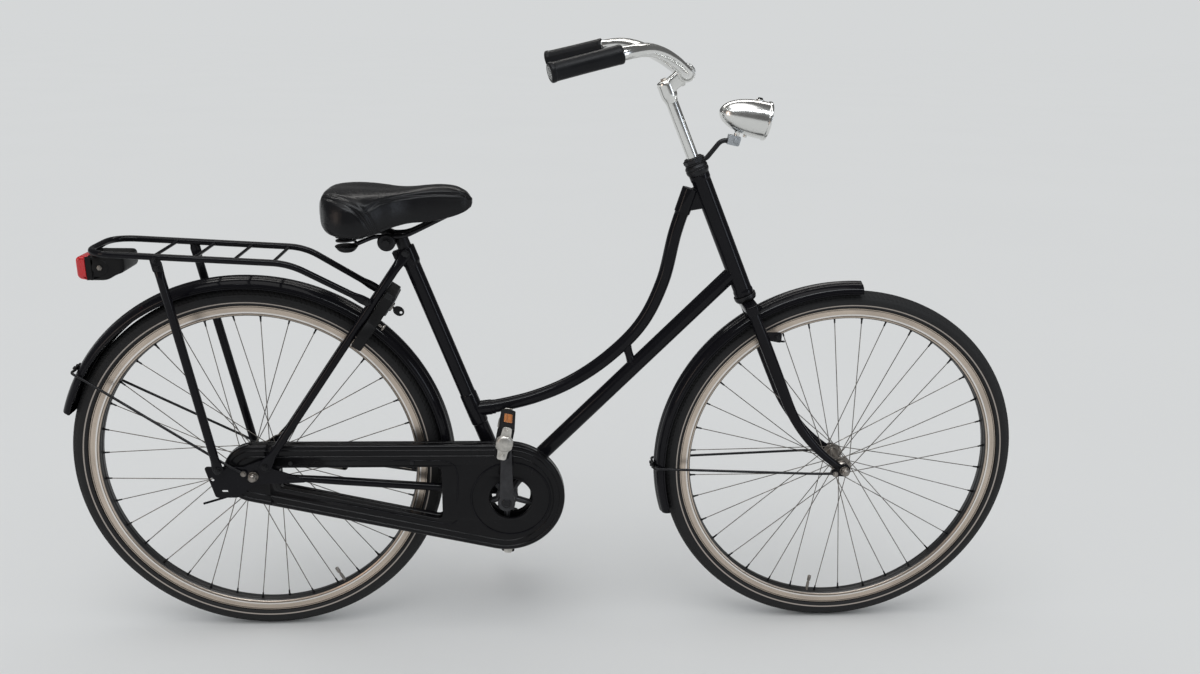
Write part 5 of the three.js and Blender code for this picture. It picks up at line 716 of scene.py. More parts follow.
def material(finish):
    """The finish of that name, made when it is first asked for."""
    name = finish + "_finish"
    known = bpy.data.materials.get(name)
    if known:
        return known
    c = bpy.context.scene.bicycle_finishes
    makers = {
        "black_enamel": (gloss_enamel, c.enamel),
        "case_enamel": (case_enamel, c.case),
        "rear_tyre_rubber": (tyre_rubber, c.rubber, REAR),
        "front_tyre_rubber": (tyre_rubber, c.rubber, FRONT),
        "rear_rim_metal": (rim_metal, c.rim, REAR),
        "front_rim_metal": (rim_metal, c.rim, FRONT),
        "bright_chrome": (bright_chrome, c.chrome),
        "spoke_steel": (plain_steel, c.steel),
        "nut_steel": (plain_steel, shade(c.steel, 1.25), 0.22, 0.42),
        "dark_steel": (plain_steel, c.dark_steel, 0.3, 0.48, 0.75),
        "crank_steel": (plain_steel, shade(c.dark_steel, 1.7), 0.34, 0.5, 0.5),
        "grained_vinyl": (grained_vinyl, c.vinyl),
        "grip_rubber": (moulded, c.grip, 0.34, 0.46, 500.0),
        "black_plastic": (moulded, c.plastic),
        "pedal_rubber": (moulded, shade(c.plastic, 1.1), 0.6, 0.78, 700.0),
        "pedal_alloy": (plain_steel, (0.6, 0.58, 0.54, 1), 0.3, 0.46),
        "clamp_alloy": (plain_steel, (0.52, 0.55, 0.58, 1), 0.34, 0.5, 0.8),
        "lock_grey": (moulded, c.lock, 0.4, 0.56, 900.0),
        "red_lens": (lens_plastic, c.red, 1500.0, 0.12),
        "amber_lens": (lens_plastic, c.amber, 1900.0),
        "clear_lens": (lens_plastic, (0.75, 0.78, 0.8, 1), 900.0, 0.0, 0.55),
        "seam_thread": (moulded, (0.03, 0.03, 0.033, 1), 0.5, 0.7, 2500.0),
        "floor_paint": (floor_paint, c.floor),
    }
    maker, *values = makers[finish]
    return maker(name, *values)


# Frame

STAY_RADIUS = 8.0
PRESSED = 2.6


def flattened(path, eyes, run):
    """Half sizes along a stay whose ends are pressed into round eyes: across, then in side view.
    Near an end the side view follows a circle, and over the run both sizes fade to the stay's radius."""
    walked = distances(path)
    both = []
    for gap, eye in ((walked, eyes[0]), (walked[-1] - walked, eyes[1])):
        if eye:
            wide = np.sqrt(np.maximum(eye ** 2 - np.maximum(eye - gap, 0) ** 2, 0.6))
            share = fade((gap - 1.2 * eye) / run)
            both.append(np.stack([PRESSED + (STAY_RADIUS - PRESSED) * share,
                                  wide + (STAY_RADIUS - wide) * share], 1))
        else:
            both.append(np.full((len(path), 2), STAY_RADIUS))
    middle = walked[:, None] < walked[-1] / 2
    return np.where(middle, both[0], both[1])


def eyed_tube(points, eyes, cut, run):
    """Bent stay with pressed ends, its points closer together near them."""
    count = 120
    path = spaced(soften(points, cut, 8, closed=False), count)
    close = 0.06
    ends = np.linspace(0, 1, 10) ** 2 * close
    share = np.concatenate([ends, np.linspace(close, 1 - close, count)[1:-1], 1 - ends[::-1]])
    walked = distances(path)
    path = picked(path, walked, share * walked[-1])
    return sweep(path, circle(24), SIDE, flattened(path, eyes, run))


TOP_TUBE_SEAT = CRANK + 178.0 * SEAT_UP
TOP_TUBE_HEAD = on_head(-20.0, -25.0)
TOP_TUBE_SHARES = np.array([
    [0, 0], [0.088, 0.011], [0.292, 0.059], [0.473, 0.135], [0.652, 0.256],
    [0.799, 0.407], [0.890, 0.595], [0.941, 0.819], [1, 1]])


def top_tube_line(count=140):
    """Swan curve of the top tube, from the seat tube to the head tube."""
    span = TOP_TUBE_HEAD - TOP_TUBE_SEAT
    return spline(TOP_TUBE_SEAT + TOP_TUBE_SHARES[:, [0, 0, 1]] * span * np.array([1, 0, 1]), count)


def frame_tubes(context):
    """Head tube, top tube, down tube with its link, and seat tube with the crank shell."""
    s = context.scene.bicycle_frame
    radii = (s.head_radius, s.seat_radius, s.top_radius, s.down_radius)
    head_r, seat_r, top_r, down_r = (1000 * radius for radius in radii)
    head = turned([[15, 0], [head_r + 1.2, 0], [head_r + 1.2, 8], [head_r, 12], [head_r, 238],
                   [head_r + 1.0, 241], [head_r + 1.0, HEAD_LENGTH], [15, HEAD_LENGTH]], 1.2, 3, HEAD_FOOT,
                  HEAD_UP)
    enamelled("head_tube_shell", head, "frame", "head_tube")

    line = top_tube_line()
    along = unit(line[-1] - line[-4])
    lug = tube([line[-1] - 46 * along, line[-1] + 1.5 * along], top_r + 2.1, 32, edge=0.9)
    low = line[-1] - 44 * along
    web = slab(np.array([line[-1], low, on_head(-66), on_head(-20)])[:, [0, 2]], -9.0, 9.0, 2.5)
    fillet = tube([low - 6 * along, low + 8 * along], [top_r + 0.1, top_r + 2.0], 32, edge=0.5)
    first = unit(line[3] - line[0])
    sleeve = tube([line[0], line[0] + 34 * first], top_r + 2.0, 32, edge=0.9)
    step = tube([line[0] + 30 * first, line[0] + 41 * first], top_r + 1.0, 32, edge=0.7)
    enamelled("top_tube_sweep", together(tube(line, top_r, 32), lug, web, fillet, sleeve, step), "frame",
              "top_tube")

    head_end = HEAD_FOOT + 51 * HEAD_UP
    foot = CRANK + 0.565 * (head_end - CRANK)
    joint = top_tube_line(201)[int(round(200 * 0.555))]
    link_line = spaced(np.array([foot, joint]), 24)
    flare = 8.0 + 2.6 * (1 - fade(np.minimum(distances(link_line), distances(link_line)[::-1]) / 26))
    down = together(tube(spaced(np.array([CRANK, head_end]), 60), down_r, 36),
                    tube(link_line, flare, 24))
    enamelled("down_tube_sweep", down, "frame", "down_tube")

    seat = turned([[13.1, SEAT_LENGTH], [seat_r + 2.4, SEAT_LENGTH], [seat_r + 2.4, 494],
                   [seat_r + 0.2, 489], [seat_r, 486], [seat_r, 214], [seat_r + 1.6, 212],
                   [seat_r + 1.6, 150], [seat_r, 148], [seat_r, 10], [13.1, 10]], 1.4, 3, CRANK, SEAT_UP)
    shell = turned([[10, -35], [19, -35], [20.4, -32], [21, -28], [21, 28], [20.4, 32], [19, 35], [10, 35]],
                   1.0, 3, CRANK, SIDE)
    back = np.array([-SEAT_UP[2], 0, SEAT_UP[0]])
    ear = SEAT_TOP - 12 * SEAT_UP + 19 * back
    ears = together(*[slab(soften([[-9, -14], [6, -14], [7, 12], [-9, 12]], 3), y, y + 4, 0.9,
                           axes=(ear, back, SEAT_UP, SIDE)) for y in (-6.5, 2.5)])
    clamp = together(bolt(ear - 6.5 * SIDE, -SIDE, 9, 4), bolt(ear + 6.5 * SIDE, SIDE, 9, 4, 2),
                     rods(ear - 6 * SIDE, ear + 6 * SIDE, 3, sides=16))
    enamelled("seat_tube_shell", together(seat, shell, ears), "frame", "seat_tube")
    blackened("seat_clamp_bolt", clamp, "frame")


STAY_FOOT = at(24, -67.8, 378)
STAY_HEAD = SEAT_TOP - 8.5 * SEAT_UP - 20.9 * SIDE
STAY_KNEE = STAY_HEAD + 0.09 * (STAY_FOOT - STAY_HEAD)
STAY_KNEE[1] = -33.0
STAY_LOW = STAY_FOOT + 0.14 * (STAY_KNEE - STAY_FOOT)
STAY_LOW[1] = STAY_FOOT[1]
STAY_UP = unit((STAY_HEAD - STAY_FOOT) * np.array([1, 0, 1]))
STAY_AHEAD = np.array([STAY_UP[2], 0, -STAY_UP[0]])
STAY_OFFSET = float(np.dot(STAY_FOOT - REAR, STAY_AHEAD))


def chainstay_line():
    """Route of the right chainstay, from the crank shell to its dropout."""
    rear_z, crank_z = REAR[2], CRANK[2]
    return soften([at(471.5, -21.3, crank_z), at(398, -31.7, crank_z + (rear_z - crank_z) * 84 / 482),
                   at(63, -60, rear_z + (crank_z - rear_z) * 92 / 964)], 46, 10, closed=False)


def rear_stays(context):
    """Chainstays with their dropouts, seat stays with pressed ends, and the brake bridge."""
    z = REAR[2]
    x = REAR[0]
    run = spaced(chainstay_line(), 70)
    thin = 8.0 - 1.4 * fade((distances(run) - 300) / 110)
    for side, name in SIDES:
        stay = run if side < 0 else mirror(run)
        front = [[96, z - 14, 2], [96, z - 7, 2], [62, z + 5, 9], [35, z + 15.5, 6], [30, z + 32, 7],
                 [13, z + 32, 7]]
        back = [[-18, z + 19, 5], [-91, z + 19, 6], [-73.9, z - 45, 6], [-31.9, z - 45, 5], [0, z - 18, 8]]
        if side > 0:
            back = [[-18, z + 9, 5], [-37, z + 7, 5], [-44, z - 18, 6], [0, z - 18, 8]]
        corners = np.array(front + back)
        outline = soften(corners[:, :2] + [x, 0], corners[:, 2], 6)
        holes = [circle(20, 5.2) + [x, z]]
        if side < 0:
            holes.append(circle(24, 4.0) + [x - 78, z - 7])
            holes.append(soften([[x - 62, z - 34], [x - 50, z - 34], [x - 50, z - 29], [x - 62, z - 29]],
                                2.4))
        low, high = sorted((side * 60.0, side * 65.0))
        parts = [tube(stay, thin, 28), slab(outline, low, high, 0.8, holes)]
        if side < 0:
            lip = soften([at(-99, -62.5, z - 58), at(-49, -62.5, z - 42.5), at(-32, -62.5, z - 26)], 10, 6,
                         closed=False)
            parts.append(tube(spaced(lip, 24), 2.2, 12, edge=0.8))
        enamelled("chainstay_%s_sweep" % name, together(*parts), "frame", "chainstay_" + name)
        points = np.array([STAY_FOOT - 11 * STAY_UP, STAY_FOOT + 11 * STAY_UP, STAY_LOW, STAY_KNEE,
                           STAY_HEAD, STAY_HEAD + 8 * STAY_UP])
        points = points if side < 0 else mirror(points)
        parts = [eyed_tube(points, (11.5, 10.5), [0, 8, 30, 18, 8, 0], 34)]
        if side < 0:
            bridge = 6.0
            reach = REAR_CROWN + 0.3 + bridge
            rise = math.sqrt(reach ** 2 - STAY_OFFSET ** 2)
            middle = REAR + STAY_OFFSET * STAY_AHEAD + rise * STAY_UP
            middle[1] = 0
            share = (middle[2] - STAY_LOW[2]) / (STAY_KNEE[2] - STAY_LOW[2])
            half = -(STAY_LOW[1] + share * (STAY_KNEE[1] - STAY_LOW[1]))
            parts.append(tube([middle - half * SIDE, middle + half * SIDE], bridge, 24, UP))
        enamelled("seatstay_%s_sweep" % name, together(*parts), "frame", "seatstay_" + name)
        y = side * 70.5
        out = side * SIDE
        foot = STAY_FOOT * np.array([1, 0, 1]) + y * SIDE
        head = STAY_HEAD * np.array([1, 0, 1]) + side * 23.4 * SIDE
        blackened("stay_bolts_%s" % name,
                  together(bolt(foot, out, 9, 3.4, 1.5), bolt(head, out, 9.5, 4.0, 1.0)), "frame")


# Wheels

def wheels(context):
    """Tyres with a grooved crown, rims with rolled walls, laced hubs, nipples and valves."""
    s = context.scene.bicycle_wheels
    for centre, word in ((REAR, "rear"), (FRONT, "front")):
        body = word + "_wheel"
        crown = 1000 * s.tyre_radius
        round_r = 1000 * s.tyre_half_width
        middle = crown - round_r
        lip_r, bead_r, bead_half = 325.2, 311.5, 11.6
        opening = math.acos((lip_r - middle) / round_r)
        angle = np.linspace(-opening, opening, 73)
        off = np.abs(angle)
        grooves = 0.9 * bell(off - 0.36, 0.035) + 0.7 * bell(angle, 0.03) + 0.6 * bell(off - 0.98, 0.03)
        depth = round_r - grooves + 0.5 * bell(off - 2.05, 0.05)
        profile = np.stack([middle + depth * np.cos(angle), depth * np.sin(angle)], 1)
        bead = [[lip_r, bead_half], [bead_r, bead_half], [bead_r, -bead_half], [lip_r, -bead_half]]
        profile = np.vstack([profile, bead])
        finish_object(word + "_tyre_casing", lathe(profile, centre, SIDE, 200, loop=True), body,
                      word + "_tyre_rubber", [word + "_tyre"], sharp=50)
        outer = 1000 * s.rim_radius
        inner = 1000 * s.rim_inner_radius
        half = 13.5
        hook = [[outer + 0.2, half - 1.4], [outer + 0.9, half - 0.4], [outer, half + 0.35],
                [outer - 1.8, half + 0.1], [outer - 2.6, half - 0.25], [inner + 7.0, half - 0.25],
                [inner + 5.4, half + 0.1], [inner + 3.6, half - 0.9], [inner + 1.2, 10.2],
                [inner + 0.6, 7.0], [inner + 0.9, 4.4], [inner - 0.3, 2.6], [inner - 0.6, 0.0]]
        hook = np.array(hook)
        whole = np.vstack([hook, (hook * [1, -1])[-2::-1]])
        bed = [[outer, -half + 1.6], [inner + 6.5, -half + 1.6], [inner + 6.5, half - 1.6],
               [outer, half - 1.6]]
        whole = np.vstack([soften(whole, 0.5, 2, closed=False), bed])
        finish_object(word + "_rim_section", lathe(whole, centre, SIDE, 200, loop=True), body,
                      word + "_rim_metal", [word + "_rim"], sharp=50)
        laced_hub(centre, word, inner, 1000 * s.spoke_radius, s.spokes)


def laced_hub(centre, word, rim_inner, spoke_radius, spokes):
    """Hub shell, spokes that cross each other, their elbows and nipples, and the valve."""
    body = word + "_wheel"
    if word == "rear":
        flange, left, right, bore = 31.0, 32.0, 26.0, 6.0
        profile = [[bore, -31], [13, -31], [15, -30], [24, -29.4], [24, -28], [31, -28], [31, -24],
                   [25, -24], [22.5, -20], [22.0, -10], [22.0, 12], [23.5, 26], [25, 30], [31, 30],
                   [31, 34], [27.5, 34], [27, 38], [24, 40], [bore, 40]]
    else:
        flange, left, right, bore = 20.0, 33.0, 33.0, 5.5
        one = [[bore, -44], [8.4, -44], [10.5, -42.5], [12.6, -40], [12.6, -35], [20, -35], [20, -31],
               [12.8, -31], [11.2, -24], [10.8, -10]]
        profile = one + [[r, -a] for r, a in one[::-1]]
    hub = turned(profile, 0.9, 3, centre, SIDE, 48)
    index = np.arange(spokes)
    on_left = index % 2
    first_spoke, crossing = math.radians(6), math.radians(60)
    turn = 2 * np.pi * ((index // 2) / (spokes / 2) + on_left / spokes) + first_spoke
    slant = (index // 2) % 2 * 2.0 - 1.0
    hub_turn = turn + slant * crossing
    seat = np.where(on_left == 1, left, -right)
    hole = flange - 3.2
    spread = slant * 0.95
    foot = np.stack([centre[0] + hole * np.cos(hub_turn), seat + spread * 2.2,
                     centre[2] + hole * np.sin(hub_turn)], 1)
    tip_side = (on_left * 2 - 1) * 3 + spread
    tip = np.stack([centre[0] + rim_inner * np.cos(turn), tip_side, centre[2] + rim_inner * np.sin(turn)], 1)
    line = unit(tip - foot)
    finish_object(word + "_spokes", rods(foot, tip, spoke_radius), body, "spoke_steel")
    heads = rods(foot + SIDE * (spread * 1.2)[:, None], foot - SIDE * (spread * 4.6)[:, None], 1.5, 1.2,
                 sides=8)
    plated(word + "_hub_shell", together(hub, heads), body, word + "_hub")
    nipples = together(rods(tip - 11 * line, tip - 2.0 * line, 1.55, 1.9),
                       rods(tip - 2.0 * line, tip + 0.6 * line, 2.6))
    blackened(word + "_nipples", nipples, body)
    where = math.radians(-97.0 if word == "front" else -61.0)
    out = np.array([math.cos(where), 0, math.sin(where)])
    foot = centre + (rim_inner + 1.5) * out
    stem = [[0, 0], [4.6, 0], [4.6, 1.2], [3.1, 1.6], [3.1, 17], [2.4, 18], [2.4, 22], [3.6, 22.5],
            [3.6, 33], [0, 35]]
    plated(word + "_valve", turned(stem, 0.5, 2, foot, -out, 20), body)


def axles(context):
    """Axles with cones, washers and domed nuts, and the coaster brake arm with its strap."""
    for centre, word, half, radius, seat in ((REAR, "rear", 80.6, 5.0, 65.3),
                                             (FRONT, "front", 70.6, 4.5, 55.3)):
        body = "frame" if word == "rear" else "fork"
        parts = [turned([[0, -half], [radius, -half], [radius, half], [0, half]], 1, 3, centre, SIDE, 24)]
        for side in (-1, 1):
            out = side * SIDE
            foot = centre + seat * out
            one = unit(np.cross(out, UP))
            axes = (foot, one, np.cross(out, one), out)
            parts.append(lathe(knob(9.6, 1.8, 0.4), foot, out, 32))
            parts.append(slab(hexagon(16.0, turn=0.4), 1.8, 9.0, 1.2, axes=axes))
            dome = [[0, 15], [3.5, 14.6], [7.2, 12], [7.6, 8.8], [0, 8.8]]
            parts.append(turned(dome, 1.2, 4, foot, out, 28))
        collars = [(-59.7, -52.6, 8.5), (40.3, 45.7, 14.0), (49.3, 59.7, 8.5)]
        if word == "front":
            collars = [(44.3, 49.7, 8.5), (-49.7, -44.3, 8.5)]
        parts += [spacer(0.5, r, low, high, 0.8, centre, SIDE, 32) for low, high, r in collars]
        plated(word + "_axle_set", together(*parts), body, word + "_axle")

    tip = REAR + np.array([150, 0, -33.0])
    arm = belt(REAR, 14, tip, 7, steps=30)
    blade = slab(winding(arm), 46, 49, 0.8, [circle(16, 5.3) + REAR[[0, 2]]])
    run = mirror(chainstay_line())
    a, b = run[-2], run[-1]
    share = (tip[0] - b[0]) / (a[0] - b[0])
    middle = b + share * (a - b)
    along = unit(a - b)
    strap = spacer(8.2, 10.2, -6, 6, 0.4, middle, along, 36)
    post = rods(tip + middle[1] * SIDE, middle - 9.5 * UP, 3.2, sides=16)
    pin = bolt(tip + 49 * SIDE, SIDE, 9, 4.5, 1.5)
    lug = rods(tip + 46 * SIDE, tip + (middle[1] + 4) * SIDE, 5.4, sides=20)
    plated("coaster_brake_arm", together(blade, strap, post, pin, lug), "frame", "brake_arm")


# Chain drive

PITCH = 12.7
CHAIN_SIDE = -45.0
RING_TEETH = 44
COG_TEETH = 19
ARMS = 5


def chain_run():
    """Pin places of the chain round both sprockets, a pitch apart."""
    outline = belt(REAR, 38.4, CRANK, 88.94, steps=400)
    closed = np.vstack([outline, outline[:1]])
    count = int(round(distances(closed)[-1] / PITCH))
    pins = spaced(closed, count + 1)[:-1]
    return np.stack([pins[:, 0], np.full(count, CHAIN_SIDE), pins[:, 1]], 1)


def toothed(centre, radius, teeth, depth):
    """Sprocket outline: the pitch radius plus a cosine wave whose tops are cut flat, a wave for a tooth."""
    angle = np.linspace(0, 2 * np.pi, 8 * teeth, endpoint=False)
    wave = np.clip(1.35 * np.cos(teeth * angle), -1, 1)
    reach = radius + depth * wave
    return np.stack([centre[0] + reach * np.cos(angle), centre[2] + reach * np.sin(angle)], 1)


def chain_drive(context):
    """Chain with plates and rollers, five-armed chainring, rear sprocket and crank axle."""
    pins = chain_run()
    follow = np.roll(pins, -1, 0)
    along = unit(follow - pins)
    normal = np.stack([-along[:, 2], np.zeros(len(pins)), along[:, 0]], 1)
    turn = np.linspace(-np.pi / 2, np.pi / 2, 6)
    half = np.stack([4.1 * np.cos(turn), 4.1 * np.sin(turn)], 1)
    waist = np.array([[PITCH / 2, 3.2]])
    outline = np.vstack([half + [PITCH, 0], waist, -half, -waist + [PITCH, 0]])
    count = len(outline)
    shapes = []
    odd = np.arange(len(pins)) % 2
    for side in (-1, 1):
        level = side * np.where(odd, 2.1, 3.4)
        flat = pins[:, None] + along[:, None] * outline[None, :, :1] + normal[:, None] * outline[None, :, 1:]
        near = flat + SIDE * (level - 0.5)[:, None, None]
        far = flat + SIDE * (level + 0.5)[:, None, None]
        points = np.stack([near, far], 1).reshape(-1, 3)
        first = (np.arange(len(pins)) * 2 * count)[:, None, None]
        faces = (grid_faces(2, count)[None] + first).reshape(-1, 4)
        cap = np.arange(count)[None, ::-1] + first[:, 0]
        shapes.append((points, [faces, cap, cap[:, ::-1] + count]))
    shapes.append(rods(pins - 1.9 * SIDE, pins + 1.9 * SIDE, 3.8, sides=10))
    shapes.append(rods(pins - 4.3 * SIDE, pins + 4.3 * SIDE, 1.6, sides=8))
    finish_object("roller_chain", together(*shapes), "frame", "spoke_steel", ["chain"])

    ring = toothed(CRANK, 88.2, RING_TEETH, 3.4)
    holes = []
    far, near = 73, 22
    for arm in range(ARMS):
        middle = 2 * np.pi * (arm + 0.25) / ARMS
        reach = np.pi / ARMS
        wide = np.linspace(middle - reach + 5.5 / far, middle + reach - 5.5 / far, 20)
        thin = np.linspace(middle + reach - 6.5 / near, middle - reach + 6.5 / near, 10)
        window = np.vstack([np.stack([far * np.cos(wide), far * np.sin(wide)], 1),
                            np.stack([near * np.cos(thin), near * np.sin(thin)], 1)])
        holes.append(soften(window, 3.0, 3) + CRANK[[0, 2]])
    plate = slab(ring, -46.5, -43.5, 0.7, holes)
    sleeve = turned([[8.8, 43], [20, 43], [20, 48.5], [14, 50], [14, 63.7], [8.8, 63.7]], 1, 3, CRANK, -SIDE)
    turn = np.arange(ARMS) * 1.2566 - 0.314
    rays = np.stack([np.cos(turn), np.zeros(ARMS), np.sin(turn)], 1)
    ribs = rods(CRANK - 47.5 * SIDE + 16 * rays, CRANK - 47.0 * SIDE + 74 * rays, 4.2, 3.2, sides=14)
    finish_object("chainring_spider", together(plate, sleeve, ribs), "crank", "crank_steel",
                  ["chainring"])

    cog = slab(toothed(REAR, 37.8, COG_TEETH, 3.2), -46.2, -43.8, 0.6, [circle(24, 6) + REAR[[0, 2]]])
    driver = spacer(6, 14, 31.3, 52, 1.2, REAR, -SIDE, 36)
    finish_object("rear_cog", together(cog, driver), "sprocket", "spoke_steel", ["rear_sprocket"])
    plated("crank_spindle",
           turned([[0, -79.7], [8.5, -79.7], [8.5, 79.7], [0, 79.7]], 1, 3, CRANK, SIDE, 28), "crank",
           "crank_axle")


CASE_REAR_RADIUS = 60
CASE_FRONT_RADIUS = 114
CASE_SEAM = -45.5
CASE_SEAM_GAP = 0.15
CASE_OUTSIDE = -59.0
CASE_INSIDE = -32.0
CASE_JOINT = 28.0
RAISED_LINES = (10.2, 22.4)
BEAD_HALF = 1.5
AXLE_RUN = 482
AXLE_FALL = 54
RADIUS_GAP = CASE_FRONT_RADIUS - CASE_REAR_RADIUS
# The lower run falls with the line between the axles and with the growth of the radius
FALL_ANGLE = math.atan2(AXLE_FALL, AXLE_RUN) + math.asin(RADIUS_GAP / math.hypot(AXLE_RUN, AXLE_FALL))
CASE_SLOPE = math.tan(FALL_ANGLE)


def window_outline():
    """Opening of the chain case round the chainstay, straight above and sloped below."""
    x0, x1 = 48, 356
    top = REAR[2] + CASE_REAR_RADIUS - 46
    floor = [REAR[2] - CASE_REAR_RADIUS + 43 - x * CASE_SLOPE for x in (x0, x1)]
    return soften(np.array([[x0, floor[0]], [x1, floor[1]], [x1, top], [x0, top]]) + [REAR[0], 0],
                  [7, 13, 13, 7], 8)


def dish(side_to, seam, holes):
    """Half of the chain case: the belt outline rises from the seam, turns over a round edge to the flat
    face and carries two raised lines. The face is open at its holes, whose rims turn inwards down to the
    level that is given with each."""
    step = 1.0 if side_to > seam else -1.0
    depth = abs(side_to - seam)
    turn = np.linspace(0, np.pi / 2, 7)
    edge = 6.5
    levels = [0.0, depth - edge]
    insets = [0.0, 0.0]
    levels += list(depth - edge + edge * np.sin(turn[1:]))
    insets += list(edge * (1 - np.cos(turn[1:])))
    for line in RAISED_LINES:
        bead = np.linspace(-1, 1, 9)
        insets += list(line + BEAD_HALF * bead)
        levels += list(depth + BEAD_HALF * np.cos(bead * np.pi / 2) ** 2)
    insets.append(24.8)
    levels.append(depth)
    outlines = [belt(REAR, CASE_REAR_RADIUS, CRANK, CASE_FRONT_RADIUS, i) for i in insets]
    rows = [np.column_stack([line, np.full(len(line), seam + step * v)])
            for line, v in zip(outlines, levels)]
    shapes = [(np.stack(rows).reshape(-1, 3), [grid_faces(len(rows), len(rows[0]))])]
    top = [(len(rows) - 1) * len(rows[0]) + np.arange(len(rows[0]))]
    first = shapes[0][0].shape[0]
    for loop, low in holes:
        loop = winding(loop, False)
        lip = 2.4
        rise = depth - lip + (lip + 0.8) * np.sin(turn)
        hole_levels = [low] + list(rise) + [depth + 0.8, depth + 0.5, depth]
        hole_insets = [0.0] + list(lip * (1 - np.cos(turn))) + [3.0, 3.8, 4.6]
        ring = [np.column_stack([inset(loop, i), np.full(len(loop), seam + step * v)])
                for i, v in zip(hole_insets, hole_levels)]
        shapes.append((np.stack(ring).reshape(-1, 3), [grid_faces(len(ring), len(loop))]))
        top.append(first + (len(ring) - 1) * len(loop) + np.arange(len(loop)))
        first += len(ring) * len(loop)
    points, blocks = together(*shapes)
    fill = faced([points[ids][:, :2] for ids in top])
    blocks.append(np.concatenate(top)[fill])
    return placed(points, *SIDE_VIEW), blocks


def split_case(piece, keep_ahead):
    """Cuts a piece at the case's joint behind the window and keeps one side."""
    work = bmesh.new()
    work.from_mesh(piece.data)
    place = (REAR[0] + CASE_JOINT + (CASE_SEAM_GAP if keep_ahead else -CASE_SEAM_GAP)) / 1000
    bmesh.ops.bisect_plane(work, geom=work.verts[:] + work.edges[:] + work.faces[:], dist=1e-7,
                           plane_co=(place, 0, 0), plane_no=(1, 0, 0), clear_inner=keep_ahead,
                           clear_outer=not keep_ahead)
    work.to_mesh(piece.data)
    work.free()
    piece.data.shade_smooth()
    piece.data.set_sharp_from_angle(angle=math.radians(50))


def face_out(piece, direction):
    """Turns an open shell so that its largest faces look in a direction, then gives it its wall."""
    normals = np.zeros(len(piece.data.polygons) * 3)
    areas = np.zeros(len(piece.data.polygons))
    piece.data.polygons.foreach_get("normal", normals)
    piece.data.polygons.foreach_get("area", areas)
    if np.sum(normals.reshape(-1, 3) @ direction * areas) < 0:
        piece.data.flip_normals()
    wall = piece.modifiers.new("wall", "SOLIDIFY")
    wall.thickness = 0.0015
    wall.offset = -1
    wall.use_even_offset = True


def case_piece(name, side_to, seam, holes, ahead, *nodes):
    """One shell of the chain case, cut at the joint and given its wall."""
    shape = dish(side_to, seam, holes)
    piece = finish_object(name, shape, "frame", "case_enamel", nodes, 50)
    split_case(piece, ahead)
    face_out(piece, -SIDE if side_to < seam else SIDE)


EYE_AHEAD = 8.0


def chain_case(context):
    """Outer and inner halves of the chain case with its window and eye, the nose over the hub, the raised
    lines round the window and the eye, and two screws."""
    eye_centre = CRANK + EYE_AHEAD * AHEAD
    eye = circle(64, 41.5) + eye_centre[[0, 2]]
    window = window_outline()
    lip = 9.6
    case_piece("chain_case_cover", CASE_OUTSIDE, CASE_SEAM - CASE_SEAM_GAP, [(window, 0.0), (eye, lip)],
               True, "chain_case_outer")
    inner_eye = circle(64, 38.0) + eye_centre[[0, 2]]
    case_piece("chain_case_back", CASE_INSIDE, CASE_SEAM + CASE_SEAM_GAP, [(window, 0.0), (inner_eye, lip)],
               True, "chain_case_inner")
    hub_hole = circle(48, 16.0) + REAR[[0, 2]]
    axle_hole = circle(48, 9.6) + REAR[[0, 2]]
    case_piece("chain_case_nose_outer", CASE_OUTSIDE, CASE_SEAM, [(window, 0.0), (axle_hole, lip)], False,
               "chain_case_nose")
    case_piece("chain_case_nose_inner", CASE_INSIDE, CASE_SEAM, [(window, 0.0), (hub_hole, lip)], False)
    loop = circle(128, 77.0) + eye_centre[[0, 2]]
    loop = np.column_stack([loop[:, 0], np.full(len(loop), CASE_OUTSIDE), loop[:, 1]])
    ring = sweep(loop, circle(10, 1.9), SIDE, closed=True)
    top, low = REAR[2] + 28, REAR[2] - 26
    above = [[96, top], [340, top], [366, top - 2], [380, top - 10], [386, top - 26], [387, top - 60],
             [384, top - 96]]
    below = [[x, low - fall_at * CASE_SLOPE + up] for x, fall_at, up in (
        (110, 110, 0), (230, 230, 0), (348, 348, 0), (366, 364, 0), (378, 366, 3), (385, 366, 9))]
    lines = []
    for places, ends in ((above, (0.15, 0.1)), (below, (0.15, 0.4))):
        path = spline(np.array([[x + REAR[0], CASE_OUTSIDE, z] for x, z in places]), 120)
        share = np.linspace(0, 1, 120)
        thin = np.minimum(fade(share / 0.12) * (1 - ends[0]) + ends[0],
                          fade((1 - share) / 0.1) * (1 - ends[1]) + ends[1])
        lines.append(sweep(path, circle(10, 1.5), SIDE, np.stack([thin, thin], 1)))
    screws = [at(x, CASE_OUTSIDE, REAR[2] + 24) for x in (70, 300)]
    heads = [lathe(knob(4.2, 1.2, 0.6, 0.9), spot, -SIDE, 24) for spot in screws]
    finish_object("chain_case_raised_lines", together(ring, *lines), "frame", "black_enamel")
    blackened("chain_case_screws", together(*heads), "frame")


